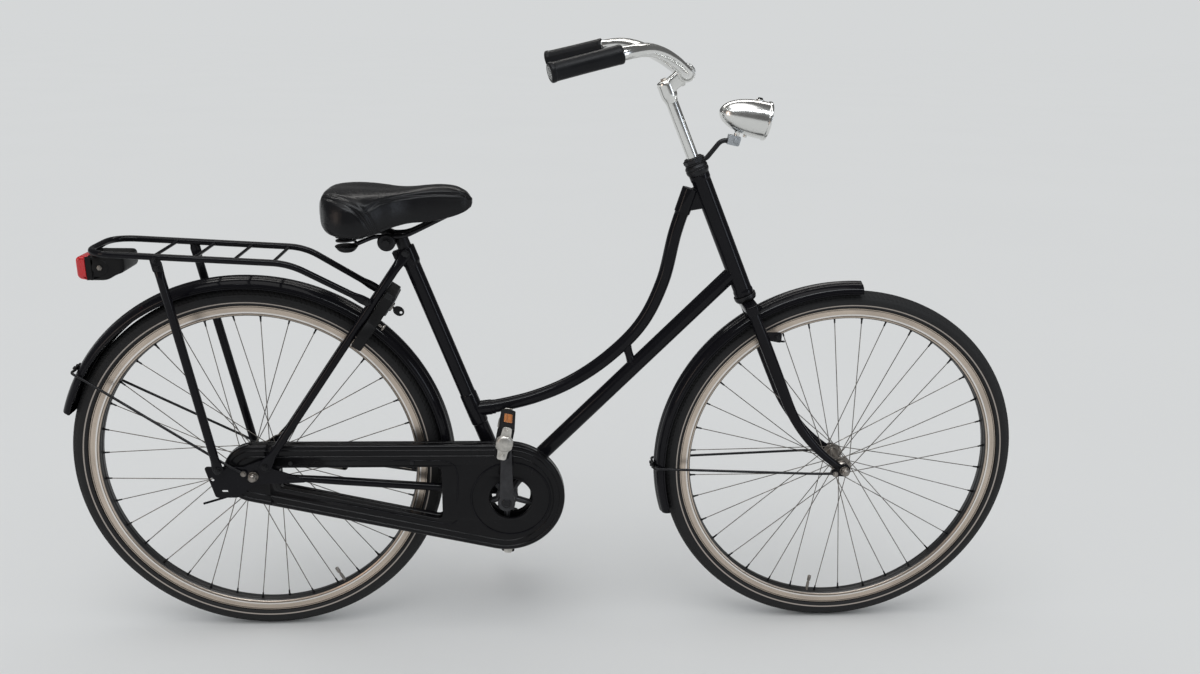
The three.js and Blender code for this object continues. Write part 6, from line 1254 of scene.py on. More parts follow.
def cranks(context):
    """Forged crank arms with round bosses and pedal eyes, dust caps, and the pedals' spindles."""
    s = context.scene.bicycle_drive
    reach = 1000 * s.crank_length
    for side, word in SIDES:
        end = CRANK - side * reach * UP
        out = side * SIDE
        line = spaced(np.array([CRANK + side * 74 * SIDE, end + side * 74 * SIDE]), 40)
        share = distances(line) / reach
        wide = 13.2 - 3.7 * fade(share * 1.05)
        arm = sweep(line, box_outline(1, 1, 0.42), SIDE, np.stack([np.full(40, 6.0), wide], 1))
        boss = turned([[8.8, 64], [16, 64], [17, 66], [17, 79], [15.5, 80.2], [8.8, 80.2]], 1.2, 4, CRANK,
                      out, 40)
        cap = turned([[0, 79], [9.5, 79], [9.8, 81.2], [8.2, 82.4], [6.4, 82.4], [5.4, 81.2], [0, 81.2]],
                     0.6, 3, CRANK, out, 36)
        eye = lathe(knob(12, 12.4, 1.6), end + side * 68 * SIDE, out, 36)
        spindle = turned([[0, 79], [8, 79], [8, 84.5], [5.5, 85], [5.5, 177], [0, 177]], 0.6, 3, end, out,
                         24)
        finish_object("crank_arm_" + word, together(arm, boss, eye), "crank", "crank_steel",
                      ["crank_" + word])
        blackened("crank_cap_" + word, cap, "crank")
        plated("pedal_spindle_" + word, spindle, "crank")


def pedals(context):
    """Block pedals: two grooved rubber treads with reflectors in their edges, between pressed end plates,
    and a domed cap. A tread is thinner where the sine of its length is small, and at both ends."""
    for side, word, tilt in ((-1, "right", 101.0), (1, "left", 96.0)):
        body = "pedal_" + word
        centre = CRANK - side * CRANK_REACH * UP
        angle = math.radians(tilt)
        x = np.array([math.cos(angle), 0, -math.sin(angle)])
        z = np.array([math.sin(angle), 0, math.cos(angle)])
        axes = (centre, x, z, side * SIDE)
        treads, glows = [], []
        for way in (-1, 1):
            near, far, ridges = 87.5, 180.5, 13
            along = np.linspace(near, far, 201)[:, None]
            wave = np.abs(np.sin((along - near) / (far - near) * np.pi * ridges))
            groove = 1 - 0.09 * (wave < 0.45)
            ends = fade(np.minimum(along - near + 0.3, far + 0.3 - along) / 3) * 0.12 + 0.88
            section = box_outline(1, 1, 0.3).T
            thick = way * 19.5 + section[0] * 10.5 * ends
            high = section[1] * 13.6 * groove * ends
            points, blocks = skin(np.stack([thick, high, along + 0 * thick], -1))
            treads.append((placed(points, *axes), blocks))
            plate_axes = (centre + way * 29.6 * x, side * SIDE, z, way * x)
            middle = [(near + far) / 2, 0]
            glows.append(slab(box_outline(20, 7.6, 1.5) + middle, 0, 1.9, 0.5, axes=plate_axes))
            treads.append(slab(box_outline(22.5, 9.4, 2) + middle, -1, 1.1, 0.5, axes=plate_axes))
        finish_object("pedal_treads_" + word, together(*treads), body, "pedal_rubber", [body])
        finish_object("pedal_reflectors_" + word, together(*glows), body, "amber_lens")
        shape = soften([[-32, -8.2], [-14, -9.4], [-9, -15], [9, -15], [14, -9.4], [32, -8.2], [32, 8.2],
                        [14, 9.4], [9, 15], [-9, 15], [-14, 9.4], [-32, 8.2]], [5, 3, 5, 5, 3, 5] * 2)
        ends = [slab(shape, 86, 88.4, 0.6, [circle(20, 6.5)], axes),
                slab(shape, 179.2, 181.8, 0.7, axes=axes)]
        dome = turned([[0, 180.5], [15.4, 180.5], [15.6, 182.6], [13.2, 185.6], [7, 187.4], [0, 187.8]],
                      [0, 1, 2, 4, 4, 0], 4, centre, side * SIDE, 48)
        sleeve = spacer(5.8, 9.5, 88, 180, 0.6, centre, side * SIDE, 24)
        nuts = [bolt(centre + way * 24.5 * x + side * 181.6 * SIDE, side * SIDE, 7.5, 2.4, 0.8)
                for way in (-1, 1)]
        finish_object("pedal_plates_" + word, together(*ends, dome, sleeve, *nuts), body, "pedal_alloy")


# Steering

def fork(context):
    """Fork crown with its steerer, raked blades with flattened tips, ends and the small bracket."""
    outline = box_outline(13, 54, 9)
    axes = (on_fork(32), HEAD_AHEAD, SIDE, HEAD_UP)
    crown = slab(outline, 0, 20, 3.5, axes=axes)
    steerer = turned([[11.4, -1], [12.7, -1], [12.7, 293], [11.4, 293]], 0.3, 2, on_fork(12), HEAD_UP, 32)
    race = turned([[12, 0], [19.5, 0], [18, 3.6], [12, 3.6]], 0.8, 3, on_fork(12), HEAD_UP, 40)
    seat = on_fork(31.7)
    boss = tube([seat, seat + 20 * unit(FRONT - seat)], 6, 20)
    enamelled("fork_crown_forging", together(crown, steerer, race, boss), "fork", "fork_crown")
    bend_fall = 225.0
    bend_angle = 2 * math.atan2(RAKE, FORK_LENGTH - bend_fall)
    bend_radius = (FORK_LENGTH - bend_fall) / math.sin(bend_angle)
    top_apart, low_apart, top_radius, low_radius, blade_top = 42, 52.5, 11, 6.5, 32.3
    for side, word in SIDES:
        angle = np.linspace(0, bend_angle, 40)
        fall = np.concatenate([np.linspace(26, bend_fall, 30)[:-1], bend_fall + bend_radius * np.sin(angle)])
        ahead = np.concatenate([np.zeros(29), bend_radius * (1 - np.cos(angle))])
        share = np.clip((fall - blade_top) / (FORK_LENGTH - blade_top), 0, 1)
        apart = top_apart + (low_apart - top_apart) * share
        line = placed(np.stack([-fall, ahead, side * apart], 1), HEAD_FOOT, HEAD_UP, HEAD_AHEAD, SIDE)
        radius = top_radius + (low_radius - top_radius) * share ** 1.25
        wide = radius * (1 + 0.16 * np.sin(np.pi * share))
        flat = radius * (1 - 0.1 * np.sin(np.pi * share))
        tip = fade((share - 0.93) / 0.07)
        blade = sweep(line, circle(28), SIDE, np.stack([flat + (2.5 - flat) * tip, wide], 1))
        eye = FRONT + np.array([-19, 0, -5.0])
        low, high = sorted((side * 50.0, side * 55.0))
        plate = slab(winding(belt(eye, 6.5, FRONT, 13, steps=30)), low, high, 0.8,
                     [circle(20, 4.8) + FRONT[[0, 2]]])
        parts = [blade, plate]
        if side < 0:
            spot = on_fork(78, 0, -40)
            tab = soften([[0, -7], [38, -14], [38, 7], [0, 7]], [1, 5, 5, 1])
            parts.append(slab(tab, 0, 4, 0.8, [circle(18, 3) + [29, -3]], (spot, AHEAD, UP, -SIDE)))
            parts.append(slab(soften([[0, 0], [16, 0], [16, 6], [0, 6]], 2), 0, 2.4, 0.6,
                              axes=(spot + 30 * AHEAD - 14 * UP, AHEAD, SIDE, UP)))
        enamelled("fork_blade_%s_sweep" % word, together(*parts), "fork", "fork_blade_" + word)
    blackened("bracket_bolt", bolt(on_fork(78, 0, -44.2) + 29 * AHEAD - 3 * UP, -SIDE, 8, 3.5, 1), "fork")


def headset(context):
    """Headset cups and locknut round the steerer."""
    lower = soften([[13, 0.3], [21.5, 0.3], [21.5, 6.5], [19.6, 11.7], [13, 11.7]], 1.0, 3)
    blackened("headset_lower_ring", lathe(lower, on_fork(0), -HEAD_UP, 48, loop=True), "frame",
              "headset_lower_cup")
    upper = soften([[13, 0.3], [19, 0.3], [21.5, 6.5], [21.5, 10.5], [20.6, 11.2], [20.6, 12], [21.5, 12.8],
                    [21.3, 15.8], [18, 20.5], [13, 20.5]], 0.6, 3)
    blackened("headset_upper_ring", lathe(upper, on_head(0), HEAD_UP, 48, loop=True), "frame",
              "headset_upper_cup")
    one = HEAD_AHEAD
    axes = (on_head(24.1), one, np.cross(HEAD_UP, one), HEAD_UP)
    nut = slab(circle(8, 19.0 / math.cos(math.pi / 8) * 0.985), 0, 6.4, 0.8, [circle(36, 12.95)], axes)
    cap = spacer(12.9, 17.2, 5.8, 8.9, 1.2, on_head(24.1), HEAD_UP, 40)
    blackened("headset_lock_ring", together(nut, cap), "fork", "headset_locknut")


BAR_SHARES = np.array([[0, 0, 0], [0.09, 0, 0], [0.19, 0.035, 0.12], [0.345, 0.125, 0.49],
                       [0.545, 0.25, 0.84], [0.745, 0.385, 1.0], [0.885, 0.535, 0.88], [1, 1, 0.19]])
BAR_HALF = 275.0
BAR_SWEEP = 247.0
BAR_RISE = 43.0
BAR_RADIUS = 11.1
STEM_RISE = 180.0
CLAMP = on_head(STEM_RISE, 41)


def bar_line(side):
    """Half of the handlebar from its clamp to its end: the shares times its half width, sweep and rise,
    with a straight last span for the grip."""
    places = CLAMP + BAR_SHARES[:, [1, 0, 2]] * [-BAR_SWEEP, side * BAR_HALF, BAR_RISE]
    span = 24
    bend = spline(places[1:], (len(places) - 1) * span + 1)
    straight = np.linspace(places[-2], places[-1], 20)
    return np.vstack([places[:1], bend[:(len(places) - 2) * span], straight])


def handlebar(context):
    """Quill stem with its clamp, swept chrome bar and smooth grips."""
    knuckle_rise = STEM_RISE - 13.5
    head = on_head(knuckle_rise)
    quill = lathe(knob(11.1, 70 + knuckle_rise, 0.8), on_head(-70), HEAD_UP, 40)
    knuckle = turned([[0, -27], [11.2, -27], [12.4, -22], [15.2, -14], [15.2, 9], [13.4, 14.2], [8, 15.4],
                      [0, 15.4]], [0, 1, 4, 4, 3, 3, 1, 0], 5, head, HEAD_UP, 40)
    line = spaced(np.array([head, CLAMP]), 20)
    arm = sweep(line, box_outline(1, 1, 0.45), SIDE,
                np.stack([13.2 + 1.6 * fade(np.linspace(-0.2, 1.2, 20)),
                          13.6 - 0.8 * np.sin(np.linspace(0, np.pi, 20))], 1))
    clamp = turned([[11.3, -20], [15.6, -20], [16.4, -18], [17, -10], [17, 10], [16.4, 18], [15.6, 20],
                    [11.3, 20]], 1.2, 3, CLAMP, SIDE, 44)
    ear_mid = CLAMP - 15 * UP - 8 * AHEAD
    ears = together(*[slab(soften([[-9, -9], [9, -9], [9, 9], [-9, 9]], 6), y, y + 6, 1.2,
                           axes=(ear_mid, AHEAD, UP, SIDE)) for y in (-8, 2)])
    pins = together(bolt(on_head(STEM_RISE + 0.4), HEAD_UP, 10, 4), bolt(ear_mid - 8 * SIDE, -SIDE, 9, 4),
                    bolt(ear_mid + 8 * SIDE, SIDE, 9, 4))
    chromed("stem_casting", together(quill, knuckle, arm, clamp, ears), "stem", "stem")
    plated("stem_bolts", pins, "stem")
    right, left = bar_line(-1), bar_line(1)
    whole = np.vstack([left[::-1], right[1:]])
    bar = tube(spaced(whole, 180), BAR_RADIUS, 32, UP)
    chromed("handlebar_tube", bar, "handlebar", "handlebar")
    for line, word in ((right, "right"), (left, "left")):
        back = unit(line[-20] - line[-1])
        ribs = [[0, 0], [13.4, 0], [15.6, 1.2], [16, 3], [16, 6.5], [15.2, 8], [14.9, 12], [14.7, 60],
                [15.0, 112], [15.3, 114], [15.3, 118.5], [14.6, 120], [11.3, 120], [11.3, 4], [0, 4]]
        finish_object("grip_%s_sleeve" % word, turned(ribs, 0.9, 3, line[-1], back, 44), "handlebar",
                      "grip_rubber", ["grip_" + word])


DIP = math.radians(11.0)
LAMP_AHEAD = np.array([math.cos(DIP), 0, -math.sin(DIP)])
LAMP_UP = np.array([math.sin(DIP), 0, math.cos(DIP)])
LAMP_PIVOT = on_head(0) + np.array([64, 0, 62.0])
LAMP_TAIL = LAMP_PIVOT - 41.5 * LAMP_AHEAD + 46 * LAMP_UP


def headlamp(context):
    """Bullet lamp: chrome shell with a beaded rim and a reflector, lens, push switch, yoke and bent arm.
    The shell's half width is the root of one less a power of the way that is left to its rim."""
    s = context.scene.bicycle_lamp
    radius, length = 1000 * s.lamp_radius, 1000 * s.lamp_length
    shell_share = 0.93
    along = np.concatenate([[0, 0.004, 0.012], np.linspace(0.02, shell_share, 36)])
    wide = np.sqrt(np.maximum(1 - (1 - np.clip(along / shell_share, 0, 1)) ** 2.35, 0))
    curve = np.stack([radius * wide, length * along], 1)
    bead = [[radius + 0.2, 0.935 * length], [radius + 1.6, 0.945 * length], [radius + 2.0, 0.965 * length],
            [radius + 1.6, 0.99 * length], [radius + 0.6, length], [radius - 1.6, length],
            [radius - 1.8, 0.9 * length], [radius - 3.5, 0.8 * length], [0.6 * radius, 0.35 * length],
            [0.25 * radius, 0.2 * length], [0, 0.19 * length]]
    shell = lathe(np.vstack([curve, soften(bead, 0.7, 3, closed=False)]), LAMP_TAIL, LAMP_AHEAD, 64)
    neck = turned([[0, 0], [6, 0], [5, 8], [5, 15], [8, 19.5], [0, 19.5]], [0, 1, 3, 3, 1, 0], 4,
                  LAMP_PIVOT, LAMP_UP, 28)
    lug = lathe(knob(7, 8, 0.8), LAMP_PIVOT - 4 * SIDE, SIDE, 28)
    low = LAMP_TAIL + 0.62 * length * LAMP_AHEAD - (radius - 1.5) * LAMP_UP
    screw = lathe(knob(3.6, 4.0, 0.6, 0.8), low, -LAMP_UP, 20)
    chromed("lamp_bullet", together(shell, neck, lug, screw), "lamp", "lamp_shell")
    dome = np.linspace(0, 1, 16)
    glass = np.stack([(radius - 2.0) * dome, 4.0 * (1 - dome ** 2) + 8], 1)
    glass = np.vstack([glass, [[radius - 2.0, 6], [0, 6]]])
    finish_object("lamp_glass", lathe(glass, LAMP_TAIL + (length - 8) * LAMP_AHEAD, LAMP_AHEAD, 48), "lamp",
                  "clear_lens", ["lamp_lens"])
    foot = LAMP_TAIL + (length - 24) * LAMP_AHEAD + (radius - 3.3) * LAMP_UP
    cap = soften([[0, 0], [5, 0], [5, 5.6], [4.2, 7.6], [0, 8.2]], [0, 0, 1, 1.5, 0], 4, closed=False)
    finish_object("lamp_switch_cap", lathe(cap, foot, LAMP_UP, 24), "lamp_button", "black_plastic",
                  ["lamp_button"])
    collar = spacer(5.3, 7.4, 2.4, 4.6, 0.6, foot, LAMP_UP, 28)
    chromed("lamp_switch_collar", collar, "lamp")

    ring = spacer(13.0, 19, 20.8, 23.8, 0.6, on_head(0), HEAD_UP, 40)
    start = on_head(22.3, 17)
    knee = on_head(0) + np.array([38, 0, 62.0])
    route = soften([start, on_head(22.3, 24), knee, LAMP_PIVOT - 9 * AHEAD], 12, 8, closed=False)
    arm = tube(spaced(route, 50), 4.5, 20)
    blackened("lamp_arm", together(ring, arm), "fork", "lamp_bracket")
    yoke = [slab(soften([[-13, -9], [8, -9], [9, 9], [-13, 9]], 4), y, y + 3, 0.6,
                 axes=(LAMP_PIVOT, LAMP_AHEAD, LAMP_UP, SIDE)) for y in (-7.6, 4.6)]
    back = slab(box_outline(7.4, 9, 1.5), -14.5, -11.5, 0.6, axes=(LAMP_PIVOT, SIDE, LAMP_UP, LAMP_AHEAD))
    pins = [bolt(LAMP_PIVOT - 7.6 * SIDE, -SIDE, 7.5, 3), bolt(LAMP_PIVOT + 7.6 * SIDE, SIDE, 7.5, 3, 1.5)]
    finish_object("lamp_yoke", together(*yoke, back, *pins), "fork", "clamp_alloy")


# Fenders

FENDER_DEPTH = 16.0


def fender_skin(centre, radius, half, low, high, steps):
    """Pressed fender: an arched section carried round the wheel, with a raised spine, a groove on each side
    of it, and rolled edges. The section's half width times the cosine of an angle gives its side, and the
    crown's radius less the depth times one minus the sine gives its distance from the axle."""
    angle = np.linspace(0, np.pi, 61)
    side = -half * np.cos(angle)
    spine = 1.2 * bell(side, 4.2)
    grooves = 0.9 * bell(np.abs(side) - 10.5, 2.0)
    out = radius - FENDER_DEPTH * (1 - np.sin(angle)) + spine - grooves
    turn = np.linspace(0, 1.7 * np.pi, 12)
    roll = 1.9 * 0.9
    curl = np.stack([radius - FENDER_DEPTH + roll * (np.cos(turn) - 1), half - roll * np.sin(turn) - 0.2], 1)
    line = np.stack([out, side], 1)
    inner = np.stack([out[::-1] - 1.3 * np.abs(np.sin(angle[::-1])) - 0.2, side[::-1] * (1 - 1.4 / half)], 1)
    right = (curl * [1, -1])[::-1][:-1]
    profile = np.vstack([right, line, curl[1:], inner])
    turn = np.radians(np.linspace(low, high, steps))
    ray = np.stack([np.cos(turn), np.zeros(steps), np.sin(turn)], 1)
    rows = centre + ray[:, None] * profile[None, :, :1] + SIDE * profile[None, :, 1:]
    return skin(rows)


def fenders(context):
    """Rear and front fenders."""
    s = context.scene.bicycle_frame
    rear = fender_skin(REAR, 1000 * s.rear_fender_radius, REAR_FENDER_HALF, 2, 162, 220)
    enamelled("rear_fender_pressing", rear, "frame", "rear_fender")
    front = fender_skin(FRONT, 1000 * s.front_fender_radius, FRONT_FENDER_HALF, 88, 197, 160)
    enamelled("front_fender_pressing", front, "fork", "front_fender")


def wire_stay(centre, radius, half, degrees, eye, eye_side):
    """One wire from eye to eye, up both flanks and over the crown of the fender."""
    angle = math.radians(degrees)
    ray = np.array([math.cos(angle), 0, math.sin(angle)])
    outer = centre + (radius + 2.8) * ray
    flank = centre + (radius - FENDER_DEPTH) * ray
    end = centre + np.asarray(eye, float)
    lane = half + 2.8
    one = np.array([end + eye_side * SIDE, end + 0.11 * (flank - end) + eye_side * SIDE,
                    flank + lane * SIDE, outer + lane * SIDE])
    route = np.vstack([one, mirror(one)[::-1]])
    path = spaced(soften(route, [0, 30, 16, 8, 8, 16, 30, 0], 8, closed=False), 260)
    wire = tube(path, 2.5, 14, ray)
    eyes = [spacer(2.6, 6.2, -2.0, 2.0, 0.8, end + way * eye_side * SIDE, SIDE, 28) for way in (-1, 1)]
    heads = [bolt(end + way * (eye_side + 1.6) * SIDE, way * SIDE, 7.5, 3) for way in (-1, 1)]
    clip = slab(box_outline(7, 11, 2.5), 0, 3.4, 0.8,
                axes=(centre + (radius + 2.4) * ray, np.cross(ray, SIDE), SIDE, ray))
    knobs = [lathe(knob(3.4, 3.0, 0.8, 0.6), centre + (radius + 5.6) * ray + way * 6 * SIDE, ray,
                   18) for way in (-1, 1)]
    return together(wire, *eyes, clip, *knobs), together(*heads)


def fender_stays(context):
    """Wire stays of both fenders."""
    wire, heads = wire_stay(REAR, REAR_CROWN, REAR_FENDER_HALF, 149, (-17, 0, 7), 67.8)
    blackened("rear_wire_stay", wire, "frame", "rear_fender_stay")
    plated("rear_stay_bolts", heads, "frame")
    wire, heads = wire_stay(FRONT, FRONT_CROWN, FRONT_FENDER_HALF, 181, (-19, 0, -5), 57.8)
    blackened("front_wire_stay", wire, "fork", "front_fender_stay")
    plated("front_stay_bolts", heads, "fork")


# Carrier, light and lock

RAIL_BACK = -258.0
RAIL_FRONT = 95.0
RAIL_RISES = (434.0, 418.0)


def rail_height(x):
    """Height of the carrier's rails at a distance ahead of the rear axle."""
    return REAR[2] + np.interp(x, [RAIL_BACK, RAIL_FRONT], RAIL_RISES)


def carrier(context):
    """Bent carrier rail with flattened feet, cross bars, and two flattened legs bolted at their ends."""
    z = REAR[2]
    one = [at(236, -51, z + 339), at(RAIL_FRONT, -68, z + RAIL_RISES[1]),
           at(RAIL_BACK, -68, z + RAIL_RISES[0])]
    route = np.array(one + [mirror(p) for p in one[::-1]])
    path = soften(route, [0, 30, 46, 46, 30, 0], 12, closed=False)
    path = spaced(path, 260)
    rail = sweep(path, circle(24), UP, flattened_rail(path))
    x = -140.0 + 69.0 * np.arange(4)
    bars = np.stack([x + REAR[0], np.full(4, -67.0), rail_height(x)], 1)
    loops = rods(bars, mirror(bars), 3.0, sides=14)
    enamelled("carrier_rail", together(rail, loops), "frame", "rack_frame")
    feet = [bolt(at(229, side * 57.0, z + 343), side * SIDE, 8, 3.6, 1) for side in (-1, 1)]
    blackened("carrier_foot_bolts", together(*feet), "frame")
    for side, word, top_back, foot_back, foot_rise in ((-1, "right", 136, 62, 17), (1, "left", 112, 30, -5)):
        top = at(-top_back, side * 68, rail_height(-top_back) - 3.5)
        foot = at(-foot_back, side * 74, z + foot_rise)
        up = unit(top - foot)
        leg = eyed_tube(np.array([foot - 10 * up, top]), (10.5, 9.5), 0, 24)
        boss = rods(foot - side * 8.7 * SIDE, foot, 7, sides=24)
        strap = slab(soften([[-9, -16], [9, -16], [9, 10], [-9, 10]], 4), 2.0, 5.0, 0.7,
                     axes=(top - 8 * up, AHEAD, up, side * SIDE))
        enamelled("carrier_leg_" + word, together(leg, boss, strap), "frame", "rack_leg_" + word)
        screws = [bolt(foot + side * 2.6 * SIDE, side * SIDE, 10, 4.4, 2),
                  bolt(top - 2 * up + side * 5.0 * SIDE, side * SIDE, 8, 3.6, 1.5),
                  bolt(top - 17 * up + side * 5.0 * SIDE, side * SIDE, 8, 3.6, 1.5)]
        blackened("carrier_bolts_" + word, together(*screws), "frame")


def flattened_rail(path):
    """Half sizes of the carrier's rail: upright and across, pressed flat at both feet."""
    walked = distances(path)
    gap = np.minimum(walked, walked[-1] - walked)
    share = fade((gap - 18) / 22)
    eye, radius, flat = 8.5, 6.0, 2.4
    wide = np.sqrt(np.maximum(eye ** 2 - np.maximum(eye - gap, 0) ** 2, 0.5))
    return np.stack([wide + (radius - wide) * share, flat + (radius - flat) * share], 1)


def rear_light(context):
    """Rear light under the back of the carrier: black housing, red lens, a band between them, and a bolt."""
    top = rail_height(RAIL_BACK) - 12
    x = REAR[0]
    lens_back, lens_front = -289, -266
    half, high = 38, 46
    back = lens_front + 0.3
    shape = soften([[back, top - high], [back + 28, top - high], [back + 44, top - 36],
                    [back + 61, top - 30], [back + 61, top], [back, top]], [3, 9, 8, 9, 9, 4], 8) + [x, 0]
    body = slab(shape, -half, half, 7)
    boss = tube([at(RAIL_BACK, 0, top - 1), at(RAIL_BACK, 0, top + 6.5)], 6, 24, AHEAD)
    finish_object("rear_light_body", together(body, boss), "frame", "black_plastic",
                  ["rear_light_housing"])
    lens = [[lens_back, top - 43], [lens_front, top - high], [lens_front, top], [lens_back, top - 2]]
    lens = slab(soften(lens, [10, 2, 2, 9], 8) + [x, 0], -half, half, 6)
    finish_object("rear_light_glass", lens, "frame", "red_lens", ["rear_light_lens"])
    back, front = lens_front - 1.2, lens_front + 1.2
    low, high = top - 45.4, top - 0.4
    seam = slab(soften([[back, low], [front, low], [front, high], [back, high]], 0.6) + [x, 0],
                -half - 0.3, half + 0.3, 6)
    side = bolt(at(-246, -38, top - 21), -SIDE, 8.5, 3, 1)
    dome = turned([[0, 0], [15, 0], [14, 1.4], [0, 1.8]], 0.8, 3, at(-246, -37.6, top - 21), -SIDE, 40)
    finish_object("rear_light_seam", together(seam, dome), "frame", "black_plastic")
    plated("rear_light_bolt", side, "frame")


LOCK_BASE = REAR * np.array([1, 0, 1]) + 345 * STAY_UP + (STAY_OFFSET + 8.6) * STAY_AHEAD


def arc(radius, low, high, count):
    """Points of a circular arc between two angles in degrees."""
    angle = np.radians(np.linspace(low, high, count))
    return np.stack([radius * np.cos(angle), radius * np.sin(angle)], 1)


def ring_lock(context):
    """Ring lock on the seat stays: rounded body, cylinder, sliding bolt with its lever, and key."""
    axes = (LOCK_BASE, SIDE, STAY_UP, STAY_AHEAD)
    outer, inner, neck, shackle, level = 60, 46, 48, 53, 10.5
    shoulder = math.degrees(math.acos(neck / outer))
    outline = np.vstack([arc(outer, -20, shoulder, 16), [[neck, 91], [39, 100], [-39, 100], [-neck, 91]],
                         arc(outer, 180 - shoulder, 200, 16), arc(inner, 200, -20, 60)])
    body = slab(outline, 0, 21, 3.0, axes=axes)
    cover = slab(soften([[-44, 58], [44, 58], [42, 92], [36, 97], [-36, 97], [-42, 92]], 6), 20, 23.5, 1.6,
                 axes=axes)
    groove = slab(np.vstack([arc(shackle + 2, -14, 180, 50), arc(shackle - 2, 180, -14, 50)]), 20.4, 21.8,
                  0.5, axes=axes)
    finish_object("lock_housing", body, "frame", "black_plastic", ["lock_body"])
    finish_object("lock_cover", cover, "frame", "lock_grey")
    finish_object("lock_track", groove, "frame", "black_plastic")
    cylinder = turned([[2.9, 18], [9.4, 18], [9.4, 25.2], [8.2, 26.4], [2.9, 26.4]], 0.8, 3,
                      placed([-30, 78, 0], *axes), STAY_AHEAD, 36)
    plated("lock_cylinder", cylinder, "frame")
    ring = arc(shackle, -18, 142, 60)
    path = placed(np.column_stack([ring, np.full(len(ring), level)]), *axes)
    foot = placed([*arc(shackle, 136, 136, 1)[0], level], *axes)
    bolt_shape = together(tube(path, 4.2, 18, STAY_AHEAD, edge=1.2),
                          rods(foot, foot + 21.5 * STAY_AHEAD, 2.0, sides=14),
                          lathe(knob(6.5, 4.0, 1.6, 0.6), foot + 19.5 * STAY_AHEAD, STAY_AHEAD, 28))
    plated("lock_shackle", bolt_shape, "lock_bolt", "lock_bolt")
    spot = placed([-30, 78, 7], *axes)
    blade = rods(spot, spot + 22 * STAY_AHEAD, 2.1, sides=14)
    bow = slab(circle(28, 11.0, 9.0), -1.5, 1.5, 1.0, [circle(16, 2.6) + [5.0, 0]],
               (spot + 32 * STAY_AHEAD, STAY_AHEAD, STAY_UP, SIDE))
    finish_object("lock_key_blade", together(blade, bow), "lock_key", "black_plastic",
                  ["lock_key"])


# Seat

PIVOT = SEAT_TOP + 20 * SEAT_UP + np.array([-23, 0, -5.0])
SADDLE_SHARES = np.array([[0.00, 0.46, 0.81, 0.50], [0.03, 0.70, 0.935, 0.346], [0.10, 0.91, 0.985, 0.255],
                          [0.20, 1.00, 1.00, 0.219], [0.30, 0.96, 0.995, 0.228], [0.40, 0.80, 0.982, 0.282],
                          [0.50, 0.58, 0.970, 0.355], [0.60, 0.42, 0.981, 0.395],
                          [0.70, 0.33, 1.012, 0.400], [0.80, 0.285, 1.028, 0.440],
                          [0.89, 0.25, 1.005, 0.500], [0.96, 0.185, 0.921, 0.570],
                          [1.00, 0.09, 0.800, 0.640]])


def spring_seat(side, rise):
    """Point on the upright line of a saddle spring, from the pivot's height."""
    return PIVOT + np.array([-66, side * 57, rise])


def seat_post(context):
    """Seat post with its head, rail clamp, and the rails with their spring plates."""
    top = SEAT_TOP + 20 * SEAT_UP
    post = tube([SEAT_TOP - 170 * SEAT_UP, top], 12.7, 36)
    neck = tube(soften([top - 12 * SEAT_UP, top, PIVOT], 10, 6, closed=False), 9.0, 24)
    barrel = spacer(4.4, 10.4, -13.7, 13.7, 0.8, PIVOT, SIDE, 32)
    blackened("seat_post_tube", together(post, neck, barrel), "seat_post", "seat_post")
    parts = []
    for side in (-1, 1):
        parts.append(turned([[0, 14], [15.5, 14], [16.5, 16], [16.5, 27], [14.5, 30], [0, 30]], 1.4, 4,
                            PIVOT, side * SIDE, 40))
        parts.append(bolt(PIVOT + side * 30 * SIDE, side * SIDE, 13, 5, 2 if side > 0 else 0))
    parts.append(rods(PIVOT - 30 * SIDE, PIVOT + 30 * SIDE, 4.1, sides=20))
    blackened("saddle_clamp_set", together(*parts), "saddle_frame", "saddle_clamp")

    def rail(side):
        """Route of one rail from the spring plate to the nose."""
        return [spring_seat(side, -4.0), PIVOT + np.array([-33, side * 28.6, 6.5]),
                PIVOT + np.array([-20.5, side * 22, 10.5]), PIVOT + np.array([33, side * 22, 10.5]),
                PIVOT + np.array([118, side * 12.1, 52.0])]
    route = soften(np.array(rail(-1) + rail(1)[::-1]), 16, 8, closed=False)
    wire = tube(spaced(route, 160), 4.0, 18, UP)
    plates = [turned([[0, -0.2], [20, -0.2], [21, 1.2], [19, 3.2], [7, 3.4], [0, 3.4]], 0.8, 3,
                     spring_seat(side, -1.5), UP, 36) for side in (-1, 1)]
    cups = [turned([[0, -9.5], [9, -9.5], [15, -6.5], [19.5, -0.5], [19.5, 0.5], [0, 0.5]], 2.5, 4,
                   spring_seat(side, -1.5), UP, 36) for side in (-1, 1)]
    blackened("saddle_rail_wires", together(wire, *plates, *cups), "saddle_frame", "saddle_rails")


def saddle_springs(context):
    """Two coil springs: a helix between plates, its ends led straight into them."""
    foot = 1.8
    height = 44 - foot - 0.3
    coils, radius, wire = 4.5, 17, 2.2
    for side, word in SIDES:
        turn = np.linspace(0, 2 * np.pi * coils, 220)
        rise = 2 * wire + (height - 4 * wire) * turn / turn[-1]
        coil = np.stack([radius * np.cos(turn), radius * np.sin(turn), rise], 1)
        start, stop = [*coil[0, :2], 0], [*coil[-1, :2], height]
        route = spring_seat(side, foot) + np.vstack([start, coil, stop])
        blackened("saddle_coil_" + word,
                  tube(soften(route, 2.0, 3, closed=False), wire, 12, UP + 0.001 * AHEAD), "saddle_frame",
                  "saddle_spring_" + word)


SADDLE_HALF = 106.0
SADDLE_RISE = 101.0
SADDLE_TAIL = -112.0
SADDLE_LENGTH = 266.0


